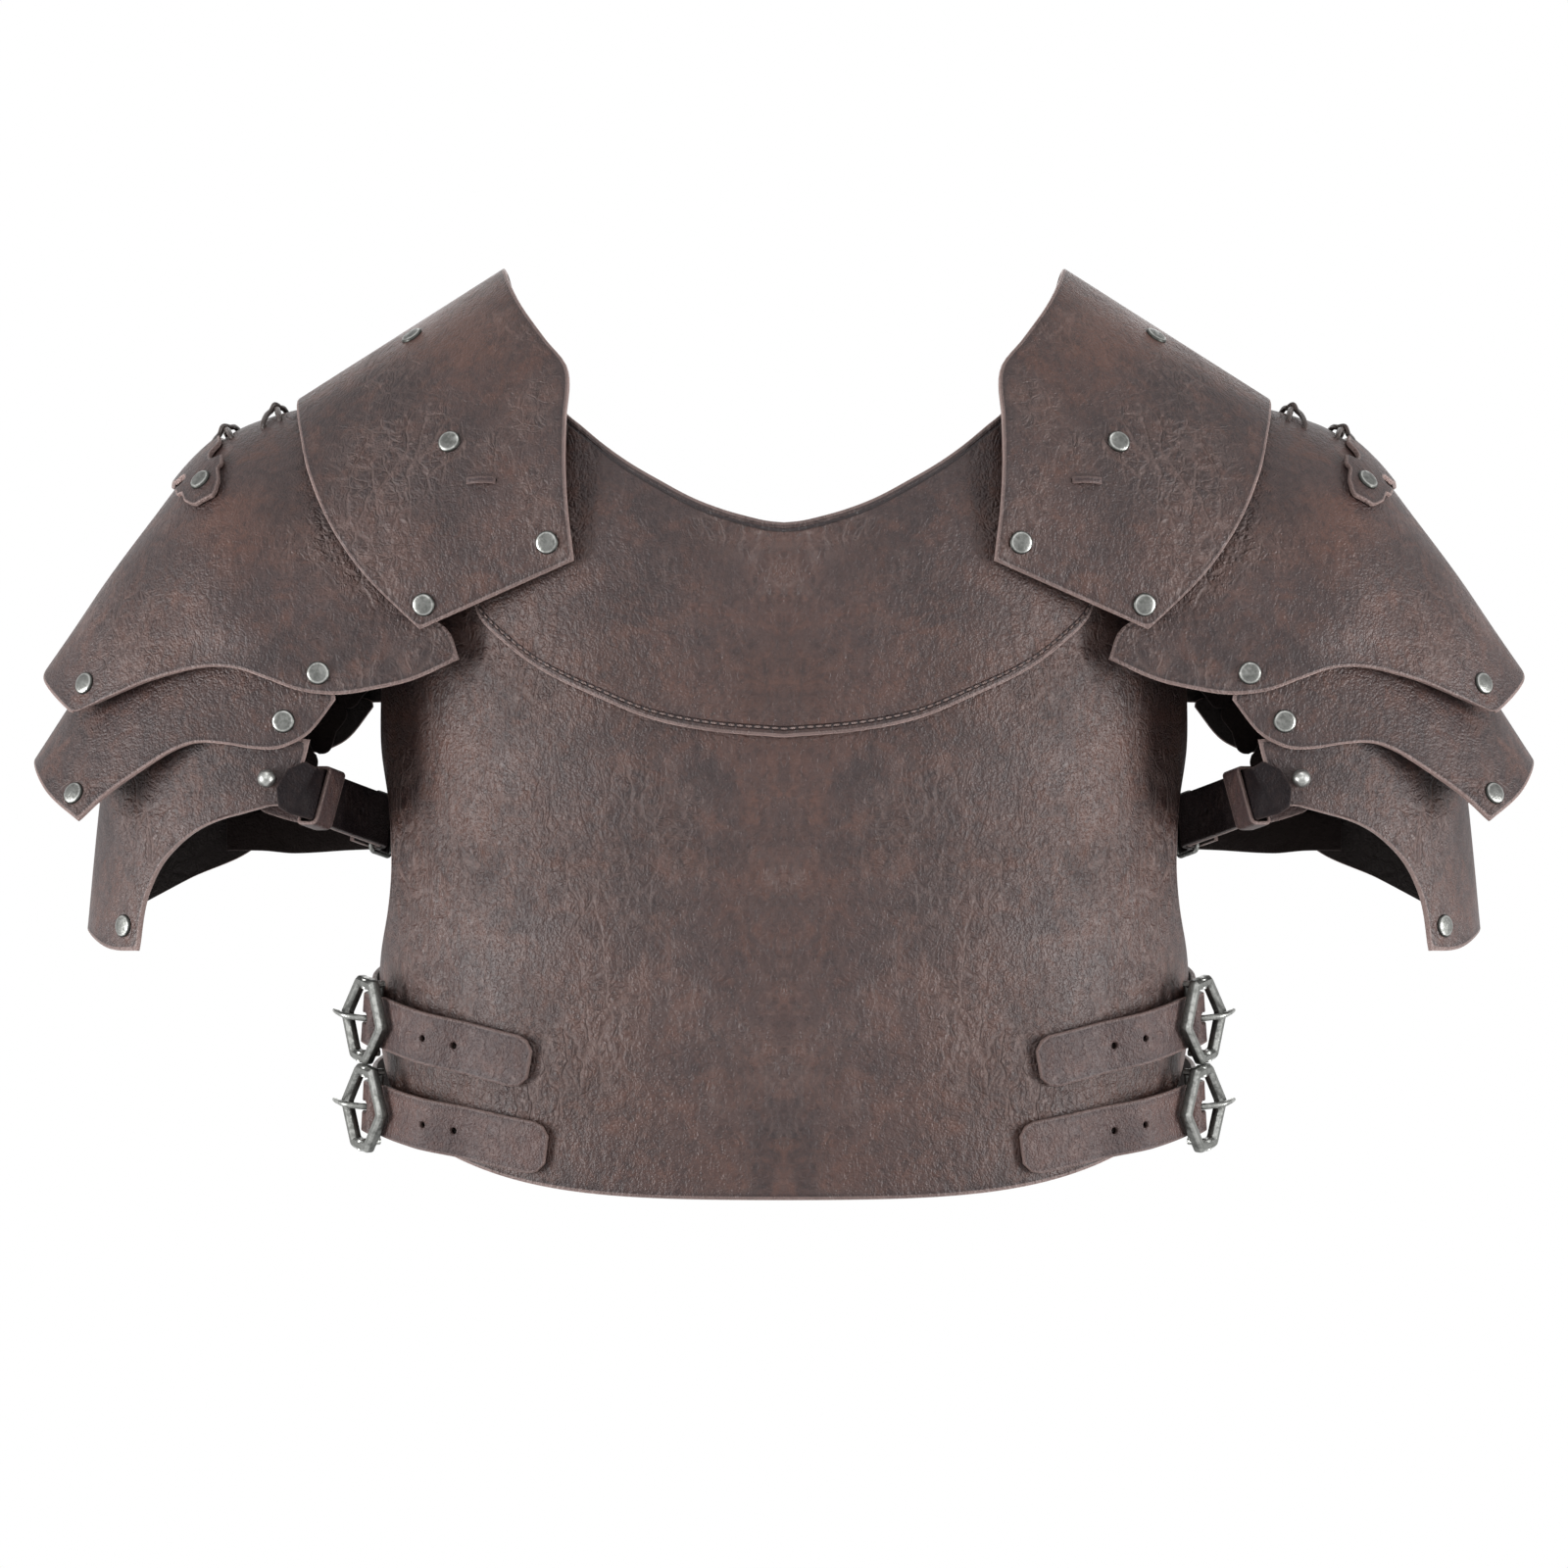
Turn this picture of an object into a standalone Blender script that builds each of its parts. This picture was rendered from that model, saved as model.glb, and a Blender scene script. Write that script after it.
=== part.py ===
"""Leather chest and shoulder armour, in metres, +Z up, with the wearer facing -Y.

The origin is the middle of the shoulder line, where the armour rests on its wearer. The wearer's left
side (+X) is built piece by piece, and each of its pieces is then mirrored for the right side.
"""

import math

import bmesh
import bpy
from mathutils import Matrix, Vector
from mathutils.bvhtree import BVHTree

# Leather thicknesses and running gaps
LEATHER = 0.0030
STRAP_LEATHER = 0.0026
HANGER_LEATHER = 0.0020
GAP = 0.0004
LAME_GAP = 0.0010
HANGER_GAP = 0.0009

# The wearer's chest, as an ellipse that closes over the shoulders
CHEST_HALF_WIDTH = 0.206
CHEST_HALF_DEPTH = 0.125
CROWN_HEIGHT = 0.0276
UPPER_CHEST_RISE = 0.190
NECK_HALF_WIDTH = 0.118
SHOULDER_SLOPE = 0.45

# Front and back plates
PLATE_TOP_DROP = 0.179
PLATE_HEM_DROP = 0.4216
HEM_CORNER_RISE = 0.0303
HEM_POWER = 4
PLATE_SIDE_SHARES = ((0.0, 0.99), (0.14, 0.99), (0.27, 0.965), (0.37, 0.957), (0.44, 0.957),
                     (0.52, 0.967), (0.62, 0.99), (0.70, 0.998), (0.85, 0.985), (1.0, 0.92))
PLATE_TOP_SHARES = ((0.0, 0.0), (0.25, 0.02), (0.45, 0.08), (0.56, 0.135), (0.70, 0.218), (0.77, 0.235),
                    (0.86, 0.185), (0.93, 0.115), (1.0, 0.03))
PLATE_STEPS = (16, 7)

# Yokes, from the middle of the neckline to the crown of the shoulder
NECK_DROP = 0.0978
YOKE_DROP = 0.2002
YOKE_GAP = 0.0014
YOKE_END_DROP = 0.010
YOKE_OUTER_HALF_WIDTH = 0.151
NECKLINE_SHARES = ((0.0, 0.0, 1.0), (0.03, 0.062, 0.994), (0.06, 0.118, 0.982), (0.12, 0.245, 0.945),
                   (0.18, 0.372, 0.893), (0.24, 0.500, 0.821), (0.305, 0.622, 0.746),
                   (0.365, 0.731, 0.665), (0.42, 0.828, 0.580), (0.46, 0.895, 0.520),
                   (0.55, 0.965, 0.40), (0.66, 1.01, 0.27), (0.82, 1.08, 0.11), (1.0, 1.16, 0.0))
YOKE_EDGE_SHARES = ((0.0, 0.0, 1.0), (0.13, 0.233, 0.986), (0.24, 0.42, 0.959), (0.33, 0.578, 0.914),
                    (0.43, 0.763, 0.852), (0.50, 0.895, 0.784), (0.56, 0.980, 0.717),
                    (0.64, 1.005, 0.59), (0.75, 1.02, 0.38), (0.88, 1.06, 0.16), (1.0, 1.10, 0.0))
YOKE_STEPS = (20, 4)

# Shoulder armour as seen from the front: where it starts, how far it reaches out, how far it hangs
PAULDRON_START_SHARE = 0.492
PAULDRON_TOP = 0.0401
PAULDRON_REACH = 0.280
PAULDRON_DROP = 0.3455
ARM_HALF_DEPTH = 0.094
CAP_CHEST_GAP = 0.0010
SWEEP_STEPS = 12

CAP_NECK_SHARES = ((0.0, 0.146, 0.0), (0.077, 0.128, 0.035), (0.17, 0.101, 0.076), (0.283, 0.057, 0.127),
                   (0.383, 0.016, 0.172), (0.547, 0.016, 0.246), (0.687, 0.016, 0.309),
                   (0.84, 0.011, 0.377), (1.0, 0.0, 0.449))
CAP_ARM_SHARES = ((0.0, 0.520, 0.193), (0.169, 0.498, 0.252), (0.367, 0.472, 0.321),
                  (0.587, 0.427, 0.398), (0.787, 0.365, 0.468), (1.0, 0.270, 0.543))
CAP_BACK_SET_SHARE = 0.042
CAP_BACK_END_SHARE = 0.88
CAP_STEPS = 5

LAME_1_RIDGE_SHARES = ((0.0, 0.442, 0.192), (0.13, 0.495, 0.203), (0.27, 0.559, 0.216),
                       (0.40, 0.634, 0.240), (0.52, 0.705, 0.288), (0.66, 0.780, 0.365),
                       (0.80, 0.860, 0.452), (0.92, 0.925, 0.530), (1.0, 0.973, 0.586))
LAME_1_HEM_SHARES = ((0.0, 0.202, 0.584), (0.115, 0.281, 0.613), (0.21, 0.346, 0.626),
                     (0.32, 0.415, 0.634), (0.40, 0.477, 0.629), (0.50, 0.540, 0.611),
                     (0.60, 0.597, 0.596), (0.70, 0.662, 0.595), (0.80, 0.748, 0.611),
                     (0.90, 0.818, 0.632), (1.0, 0.890, 0.656))
LAME_1_START_SHARES = ((0.0, 0.442, 0.192), (0.165, 0.431, 0.261), (0.40, 0.395, 0.362),
                       (0.62, 0.345, 0.449), (0.76, 0.308, 0.503), (0.90, 0.225, 0.540),
                       (1.0, 0.202, 0.584))
LAME_1_END_SHARES = ((0.0, 0.973, 0.586), (0.4, 0.965, 0.612), (0.85, 0.905, 0.655), (1.0, 0.890, 0.656))
LAME_1_ARCH = 0.150
LAME_1_STEPS = 11

LAME_2_RIDGE_SHARES = ((0.0, 0.788, 0.469), (0.25, 0.838, 0.523), (0.5, 0.885, 0.581),
                       (0.75, 0.941, 0.650), (1.0, 0.999, 0.723))
LAME_2_HEM_SHARES = ((0.0, 0.419, 0.641), (0.08, 0.462, 0.686), (0.16, 0.500, 0.705),
                     (0.24, 0.530, 0.711), (0.33, 0.570, 0.709), (0.43, 0.615, 0.703),
                     (0.54, 0.666, 0.701), (0.64, 0.709, 0.712), (0.75, 0.760, 0.736),
                     (0.88, 0.832, 0.775), (1.0, 0.882, 0.811))
LAME_2_START_SHARES = ((0.0, 0.788, 0.469), (0.2, 0.710, 0.492), (0.42, 0.622, 0.528),
                       (0.64, 0.540, 0.576), (0.82, 0.470, 0.619), (0.94, 0.424, 0.630),
                       (1.0, 0.419, 0.641))
LAME_2_END_SHARES = ((0.0, 0.999, 0.723), (0.5, 0.946, 0.773), (1.0, 0.882, 0.811))
LAME_2_ARCH = 0.119
LAME_2_STEPS = 9

LAME_3_RIDGE_SHARES = ((0.0, 0.856, 0.660), (0.2, 0.869, 0.718), (0.4, 0.880, 0.780), (0.7, 0.892, 0.875),
                       (1.0, 0.903, 0.972))
LAME_3_HEM_SHARES = ((0.0, 0.465, 0.697), (0.09, 0.478, 0.735), (0.18, 0.510, 0.786),
                     (0.25, 0.534, 0.791), (0.34, 0.576, 0.800), (0.45, 0.630, 0.812),
                     (0.55, 0.672, 0.828), (0.65, 0.710, 0.852), (0.75, 0.738, 0.878),
                     (0.85, 0.762, 0.916), (0.93, 0.773, 0.949), (1.0, 0.781, 0.998))
LAME_3_START_SHARES = ((0.0, 0.856, 0.660), (0.25, 0.764, 0.661), (0.5, 0.675, 0.667),
                       (0.72, 0.585, 0.677), (0.88, 0.525, 0.691), (1.0, 0.465, 0.697))
LAME_3_END_SHARES = ((0.0, 0.903, 0.972), (0.5, 0.842, 0.996), (1.0, 0.781, 0.998))
LAME_3_BACK_HEM_SHARES = ((0.0, 0.617, 0.695), (0.15, 0.629, 0.803), (0.27, 0.638, 0.854),
                          (0.6, 0.762, 0.904), (1.0, 0.886, 0.962))
LAME_3_BACK_START_SHARES = ((0.0, 0.856, 0.660), (0.5, 0.740, 0.668), (1.0, 0.617, 0.695))
LAME_3_BACK_END_SHARES = ((0.0, 0.903, 0.972), (1.0, 0.886, 0.962))
LAME_3_ARCH = 0.107
LAME_3_STEPS = 9

# Rivets: places are shares of each plate's length and of the way down from its ridge
RIVET_HEAD_RADIUS = 0.0047
RIVET_HEAD_HEIGHT = 0.0016
RIVET_SHANK_RADIUS = 0.0018
RIVET_TAIL_RADIUS = 0.0030
RIVET_TAIL_HEIGHT = 0.0008
RIVET_TAIL_GAP = 0.0012
RIVET_HOLE_RADIUS = 0.0022
RIVET_SIDES = 6
STUD_RADIUS = 0.0045
CAP_RIVET_SHARES = ((0.45, 0.215), (0.47, 0.64), (0.13, 0.945), (0.875, 0.96))
LAME_1_FRONT_RIVET_SHARES = (0.35, 0.955)
LAME_1_SIDE_RIVET_SHARES = (0.925, 0.815)
LAME_1_TAB_RIVET_SHARES = (0.465, 0.385)
LAME_2_FRONT_RIVET_SHARES = (0.105, 0.905)
LAME_2_SIDE_RIVET_SHARES = (0.935, 0.835)
LAME_3_STUD_SHARES = (0.13, 0.935)
LAME_3_SIDE_RIVET_SHARES = (0.945, 0.835)
LAME_3_BACK_RIVET_SHARES = (0.245, -0.925)

# Hanger straps inside the shoulder plates
HANGER_WIDTH = 0.014

# Lacing and tab on the ridge of the first lame, and the thong in the cap
LACE_RADIUS = 0.0014
LACE_HALF_SPAN = 0.0075
LACE_CROSS_LENGTH = 0.0070
LACE_PLACE_SHARES = (0.25, 0.405)
TAB_HALF_LENGTH = 0.0155
TAB_SWEEP_SHARE = 0.47
TAB_LIFT = 0.0012
TAB_PLACE_SHARE = 0.52
TAB_END_PLACE_SHARE = 0.457
TAB_OUTLINE_SHARES = ((0.0, 1.0), (0.42, 0.97), (0.55, 0.52), (0.64, 0.50), (0.74, 0.86), (0.88, 0.78),
                      (1.0, 0.45))
THONG_WIDTH = 0.0040
THONG_LENGTH = 0.0150
THONG_THICKNESS = 0.0012
THONG_SHARES = (0.365, 0.765)

# Side straps and their buckles
STRAP_WIDTH = 0.0255
STRAP_DROP = 0.3396
STRAP_SLOPE = 0.19
STRAP_SLOPE_FALL = 0.042
STRAP_LIFT = 0.0010
BUCKLE_TURN = math.radians(72)
BUCKLE_TILT = math.radians(8)
BUCKLE_RISE = 0.0026
BUCKLE_GAP = 0.0010
STRAP_TIP_ARC = 0.098
STRAP_TIP_STEP = 0.009
STRAP_BACK_ARC = 0.132
STRAP_TIP_LENGTH = 0.008
STRAP_TIP_WIDTH_SHARE = 0.52
STRAP_HOLE_RADIUS = 0.0018
STRAP_HOLE_ARCS = (0.040, 0.056)
TONGUE_HOLE_RADIUS = 0.0030
TONGUE_HOLE_SHARES = (0.035, 0.100, 0.165)
BUCKLE_LENGTH = 0.040
BUCKLE_HEIGHT = 0.043
STRAP_DROPS = (STRAP_DROP, STRAP_DROP + BUCKLE_HEIGHT + BUCKLE_GAP)
BUCKLE_RIM = 0.0046
BUCKLE_THICKNESS = 0.0040
BUCKLE_FLAT_SHARE = 0.36
BAR_RADIUS = 0.0017
CHAPE_WIDTH = 0.020
CHAPE_LENGTH = 0.034
CHAPE_LEATHER = 0.0022
CHAPE_RIVET_SHARE = 0.72
STRAP_END_RIVET_SHARES = (0.78, 0.93)
TONGUE_RADIUS = 0.0013
TONGUE_SLOT_WIDTH = 0.0044

# Arm strap: its tail is straight from the lame to the ring, then it goes round the inside of the arm
ARM_STRAP_WIDTH = 0.026
ARM_STRAP_LAYER_GAP = 0.0009
ARM_STRAP_BEND_SHARES = (0.475, 0.770)
ARM_STRAP_RING_SHARES = (0.362, 0.814)
ARM_STRAP_RING_DEPTH_SHARE = 0.17
ARM_STRAP_BACK_SHARES = ((0.358, 0.818, 0.24), (0.386, 0.820, 0.42), (0.455, 0.823, 0.64),
                         (0.560, 0.828, 0.775))
ARM_STRAP_WEAVE_SHARES = ((0.20, -0.12), (0.36, 0.28), (0.56, 0.78), (0.76, 0.98), (1.0, 1.0), (1.35, 1.0))
KEEPER_START = 0.018
KEEPER_WIDTH = 0.012
KEEPER_GAP = 0.0006
KEEPER_LEATHER = 0.0020
ARM_RING_WIRE = 0.0026
ARM_RING_LENGTH = 0.019

CUT_OVERRUN = 0.004
RAY_REACH = 0.030
HALF_TURN = math.pi


def clear_scene():
    """Remove every object, so that the file can be run again and again."""
    for obj in list(bpy.data.objects):
        bpy.data.objects.remove(obj, do_unlink=True)


def make_material(name, colour, roughness, metallic=0.0):
    """Return a plain Principled material."""
    material = bpy.data.materials.new(name)
    material.use_nodes = True
    shader = material.node_tree.nodes["Principled BSDF"]
    shader.inputs["Base Color"].default_value = (*colour, 1.0)
    shader.inputs["Roughness"].default_value = roughness
    shader.inputs["Metallic"].default_value = metallic
    material.diffuse_color = (*colour, 1.0)
    return material


def leather(name):
    """Return the dark brown leather of the plates."""
    return make_material(name + "_leather", (0.105, 0.070, 0.058), 0.5)


def dark_leather(name):
    """Return the near-black flesh side and lining leather."""
    return make_material(name + "_dark_leather", (0.030, 0.018, 0.014), 0.7)


def pewter(name):
    """Return the aged grey metal of the rivets and buckles."""
    return make_material(name + "_pewter", (0.42, 0.43, 0.41), 0.35, 1.0)


def along(table, share):
    """Read a smooth curve through the rows of a table, whose first column is the share along it."""
    rows = [(row[0], Vector(row[1:]) if len(row) > 2 else Vector((row[1], 0.0))) for row in table]
    share = min(max(share, rows[0][0]), rows[-1][0])
    spot = next(i for i in range(len(rows) - 1) if share <= rows[i + 1][0])

    def slope(i):
        low = max(i - 1, 0)
        high = min(i + 1, len(rows) - 1)
        return (rows[high][1] - rows[low][1]) / (rows[high][0] - rows[low][0])

    start, first = rows[spot]
    stop, second = rows[spot + 1]
    span = stop - start
    t = (share - start) / span
    return (first * (1 + 2 * t) * (1 - t) ** 2 + slope(spot) * span * t * (1 - t) ** 2
            + second * t * t * (3 - 2 * t) + slope(spot + 1) * span * t * t * (t - 1))


def crown_at(x):
    """Return the height of the shoulder's crown at a distance from the middle."""
    return CROWN_HEIGHT - SHOULDER_SLOPE * max(0.0, abs(x) - NECK_HALF_WIDTH)


def chest_depth(x, z):
    """Return how far the chest stands in front of the middle plane."""
    base = CROWN_HEIGHT - UPPER_CHEST_RISE
    rise = max(0.0, z - base) / (crown_at(x) - base)
    across = min(1.0, abs(x) / CHEST_HALF_WIDTH)
    return CHEST_HALF_DEPTH * math.sqrt(max(0.0, 1 - rise * rise)) * math.sqrt(max(0.0, 1 - across * across))


def chest_normal(x, depth, z):
    """Return the outward direction of the chest at a point of its front."""
    base = CROWN_HEIGHT - UPPER_CHEST_RISE
    height = crown_at(x) - base
    rise = max(0.0, z - base) / height
    swell = max(1 - rise * rise, 0.02)
    out = Vector((x / CHEST_HALF_WIDTH ** 2, -depth / (CHEST_HALF_DEPTH ** 2 * swell),
                  rise * (depth / CHEST_HALF_DEPTH) ** 2 / (height * swell ** 2)))
    return out.normalized()


def chest_point(x, z, lift, facing):
    """Return a point on the chest, lifted off it, on the front (facing 1) or the back (facing -1)."""
    depth = chest_depth(x, z)
    point = Vector((x, -depth, z)) + chest_normal(x, depth, z) * lift
    return Vector((point.x, point.y * facing, point.z))


def side_wrap(turn, lift):
    """Return the place and the outward direction on the lower chest's ellipse, turned from the front."""
    out = Vector((math.sin(turn) / CHEST_HALF_WIDTH, -math.cos(turn) / CHEST_HALF_DEPTH, 0.0)).normalized()
    place = Vector((CHEST_HALF_WIDTH * math.sin(turn), -CHEST_HALF_DEPTH * math.cos(turn), 0.0))
    return place + out * lift, out


def turn_after(start, arc):
    """Return the turn on the chest's ellipse reached after a length of arc towards the back."""
    steps = 200
    turn = start
    for _ in range(steps):
        speed = math.hypot(CHEST_HALF_WIDTH * math.cos(turn), CHEST_HALF_DEPTH * math.sin(turn))
        turn += arc / steps / speed
    return turn


def link(name, bm, material):
    """Make a named object from a bmesh, with flat faces and one material."""
    bmesh.ops.triangulate(bm, faces=[face for face in bm.faces if len(face.verts) > 3])
    mesh = bpy.data.meshes.new(name)
    bm.to_mesh(mesh)
    bm.free()
    mesh.materials.append(material)
    obj = bpy.data.objects.new(name, mesh)
    bpy.context.scene.collection.objects.link(obj)
    return obj


def skin_between(bm, outer, inner):
    """Close a grid of outer points and its grid of inner points into one body."""
    rows = len(outer)
    columns = len(outer[0])
    top = [[bm.verts.new(point) for point in row] for row in outer]
    under = [[bm.verts.new(point) for point in row] for row in inner]
    for i in range(rows - 1):
        for j in range(columns - 1):
            bm.faces.new((top[i][j], top[i + 1][j], top[i + 1][j + 1], top[i][j + 1]))
            bm.faces.new((under[i][j], under[i][j + 1], under[i + 1][j + 1], under[i + 1][j]))
    for i in range(rows - 1):
        bm.faces.new((top[i + 1][0], top[i][0], under[i][0], under[i + 1][0]))
        bm.faces.new((top[i][-1], top[i + 1][-1], under[i + 1][-1], under[i][-1]))
    for j in range(columns - 1):
        bm.faces.new((top[0][j], top[0][j + 1], under[0][j + 1], under[0][j]))
        bm.faces.new((top[-1][j + 1], top[-1][j], under[-1][j], under[-1][j + 1]))


def grid_normals(points, outward):
    """Return unit normals of a grid of points, all on the side that outward asks for."""
    rows = len(points)
    columns = len(points[0])
    normals = []
    for i in range(rows):
        line = []
        for j in range(columns):
            du = points[min(i + 1, rows - 1)][j] - points[max(i - 1, 0)][j]
            dv = points[i][min(j + 1, columns - 1)] - points[i][max(j - 1, 0)]
            normal = du.cross(dv).normalized()
            line.append(normal if normal.dot(outward(points[i][j])) > 0 else -normal)
        normals.append(line)
    return normals


def sheet(name, points, outward, material, thickness=LEATHER):
    """Make a sheet of leather whose outer face is the grid of points."""
    normals = grid_normals(points, outward)
    inner = [[p - n * thickness for p, n in zip(row, ns)] for row, ns in zip(points, normals)]
    bm = bmesh.new()
    skin_between(bm, points, inner)
    bmesh.ops.recalc_face_normals(bm, faces=bm.faces)
    return link(name, bm, material)


def ribbon(name, stations, thickness, material):
    """Make a strap from stations of middle point, half-width vector and outward direction."""
    bm = bmesh.new()
    add_ribbon(bm, stations, thickness)
    return link(name, bm, material)


def add_ribbon(bm, stations, thickness):
    """Add one closed strap to a bmesh; its stations give the outer face."""
    outer = [[middle - side, middle + side] for middle, side, _ in stations]
    inner = [[middle - side - out * thickness, middle + side - out * thickness]
             for middle, side, out in stations]
    own = bmesh.new()
    skin_between(own, outer, inner)
    bmesh.ops.recalc_face_normals(own, faces=own.faces)
    if own.calc_volume() < 0:
        bmesh.ops.reverse_faces(own, faces=own.faces)
    merge(bm, own)


def merge(bm, other):
    """Move all of another bmesh into this one, as separate bodies."""
    mesh = bpy.data.meshes.new("part")
    other.to_mesh(mesh)
    other.free()
    bm.from_mesh(mesh)
    bpy.data.meshes.remove(mesh)


def turned(bm, profile, sides, matrix):
    """Add a turned body: a profile of (radius, height) from its top pole to its bottom pole."""
    own = bmesh.new()
    top = own.verts.new((0.0, 0.0, profile[0][1]))
    bottom = own.verts.new((0.0, 0.0, profile[-1][1]))
    rings = []
    for radius, height in profile[1:-1]:
        ring = []
        for k in range(sides):
            angle = 2 * math.pi * k / sides
            ring.append(own.verts.new((radius * math.cos(angle), radius * math.sin(angle), height)))
        rings.append(ring)
    for k in range(sides):
        after = (k + 1) % sides
        own.faces.new((top, rings[0][k], rings[0][after]))
        own.faces.new((bottom, rings[-1][after], rings[-1][k]))
        for high, low in zip(rings, rings[1:]):
            own.faces.new((high[k], low[k], low[after], high[after]))
    own.transform(matrix)
    merge(bm, own)


def rod(bm, start, stop, radius, sides=6):
    """Add a closed round rod between two points."""
    run = stop - start
    matrix = Matrix.Translation(start) @ run.to_track_quat('Z', 'Y').to_matrix().to_4x4()
    turned(bm, ((0.0, run.length), (radius, run.length), (radius, 0.0), (0.0, 0.0)), sides, matrix)


def bent_rod(points, side, radius, sides=6):
    """Return a closed round rod through points that lie in a plane, whose normal is the side given."""
    bm = bmesh.new()
    rings = []
    for k, point in enumerate(points):
        heading = points[min(k + 1, len(points) - 1)] - points[max(k - 1, 0)]
        up = side.cross(heading).normalized()
        ring = []
        for n in range(sides):
            angle = 2 * math.pi * (n + 0.5) / sides
            ring.append(bm.verts.new(point + (up * math.sin(angle) + side * math.cos(angle)) * radius))
        rings.append(ring)
    for near, far in zip(rings, rings[1:]):
        for n in range(sides):
            after = (n + 1) % sides
            bm.faces.new((near[n], near[after], far[after], far[n]))
    bm.faces.new(rings[0][::-1])
    bm.faces.new(rings[-1])
    bmesh.ops.recalc_face_normals(bm, faces=bm.faces)
    return bm


def carve(obj, cutter_bm, operation='DIFFERENCE'):
    """Cut a bmesh out of an object, or join it on, and keep the result as the object's own mesh."""
    cutter = link(obj.name + "_cutter", cutter_bm, obj.data.materials[0])
    cutter.hide_render = True
    cutter.display_type = 'WIRE'
    modifier = obj.modifiers.new("cut", 'BOOLEAN')
    modifier.operation = operation
    modifier.solver = 'EXACT'
    modifier.object = cutter
    graph = bpy.context.evaluated_depsgraph_get()
    mesh = bpy.data.meshes.new_from_object(obj.evaluated_get(graph))
    obj.modifiers.clear()
    obj.data = mesh
    bpy.data.objects.remove(cutter, do_unlink=True)
    return obj


def tree_of(obj):
    """Return a search tree of an object's faces in world space."""
    bm = bmesh.new()
    bm.from_mesh(obj.data)
    bm.transform(obj.matrix_basis)
    tree = BVHTree.FromBMesh(bm)
    bm.free()
    return tree


def facing_matrix(point, out):
    """Return the matrix that stands a body at a point with its top outwards."""
    return Matrix.Translation(point) @ out.to_track_quat('Z', 'Y').to_matrix().to_4x4()


def rivet_body(grip, domed):
    """Return a rivet as a bmesh, whose head sits on the plane z = 0 and whose tail lies a grip under it."""
    tail = -grip - RIVET_TAIL_GAP
    if domed:
        head = [(0.0, GAP + STUD_RADIUS * 1.5), (STUD_RADIUS * 0.75, GAP + STUD_RADIUS * 1.2),
                (STUD_RADIUS, GAP + STUD_RADIUS * 0.6), (STUD_RADIUS * 0.8, GAP)]
    else:
        head = [(0.0, GAP + RIVET_HEAD_HEIGHT), (RIVET_HEAD_RADIUS * 0.7, GAP + RIVET_HEAD_HEIGHT * 0.8),
                (RIVET_HEAD_RADIUS, GAP)]
    bm = bmesh.new()
    turned(bm, head + [(RIVET_SHANK_RADIUS, GAP), (RIVET_SHANK_RADIUS, tail), (RIVET_TAIL_RADIUS, tail),
                       (0.0, tail - RIVET_TAIL_HEIGHT)], RIVET_SIDES, Matrix.Identity(4))
    return bm


def fasten(point, out, layers, owner, domed=False, twins=(), straight=False):
    """Rivet layers together, outermost first: the rivet becomes part of its owner, the rest get a hole.

    Layers that are also in twins get the hole of the other side's rivet too. A straight rivet keeps the
    direction asked for, where others stand square to the outer face.
    """
    trees = [tree_of(layer) for layer in layers]
    top, normal, _, _ = trees[0].ray_cast(point + out * RAY_REACH, -out)
    if straight:
        normal = out
    deepest = top
    for tree in trees:
        hit = tree.ray_cast(top - normal * RAY_REACH, normal)[0]
        if hit is not None and (top - hit).length > (top - deepest).length:
            deepest = hit
    body = rivet_body((top - deepest).length, domed)
    body.transform(facing_matrix(top, normal))
    start = top + normal * CUT_OVERRUN
    stop = deepest - normal * CUT_OVERRUN
    flip = Matrix.Diagonal((-1.0, 1.0, 1.0))
    for layer in layers:
        if layer is owner:
            continue
        hole = bmesh.new()
        rod(hole, start, stop, RIVET_HOLE_RADIUS, RIVET_SIDES)
        if layer in twins:
            rod(hole, flip @ start, flip @ stop, RIVET_HOLE_RADIUS, RIVET_SIDES)
        carve(layer, hole)
    carve(owner, body, 'UNION')


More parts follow.
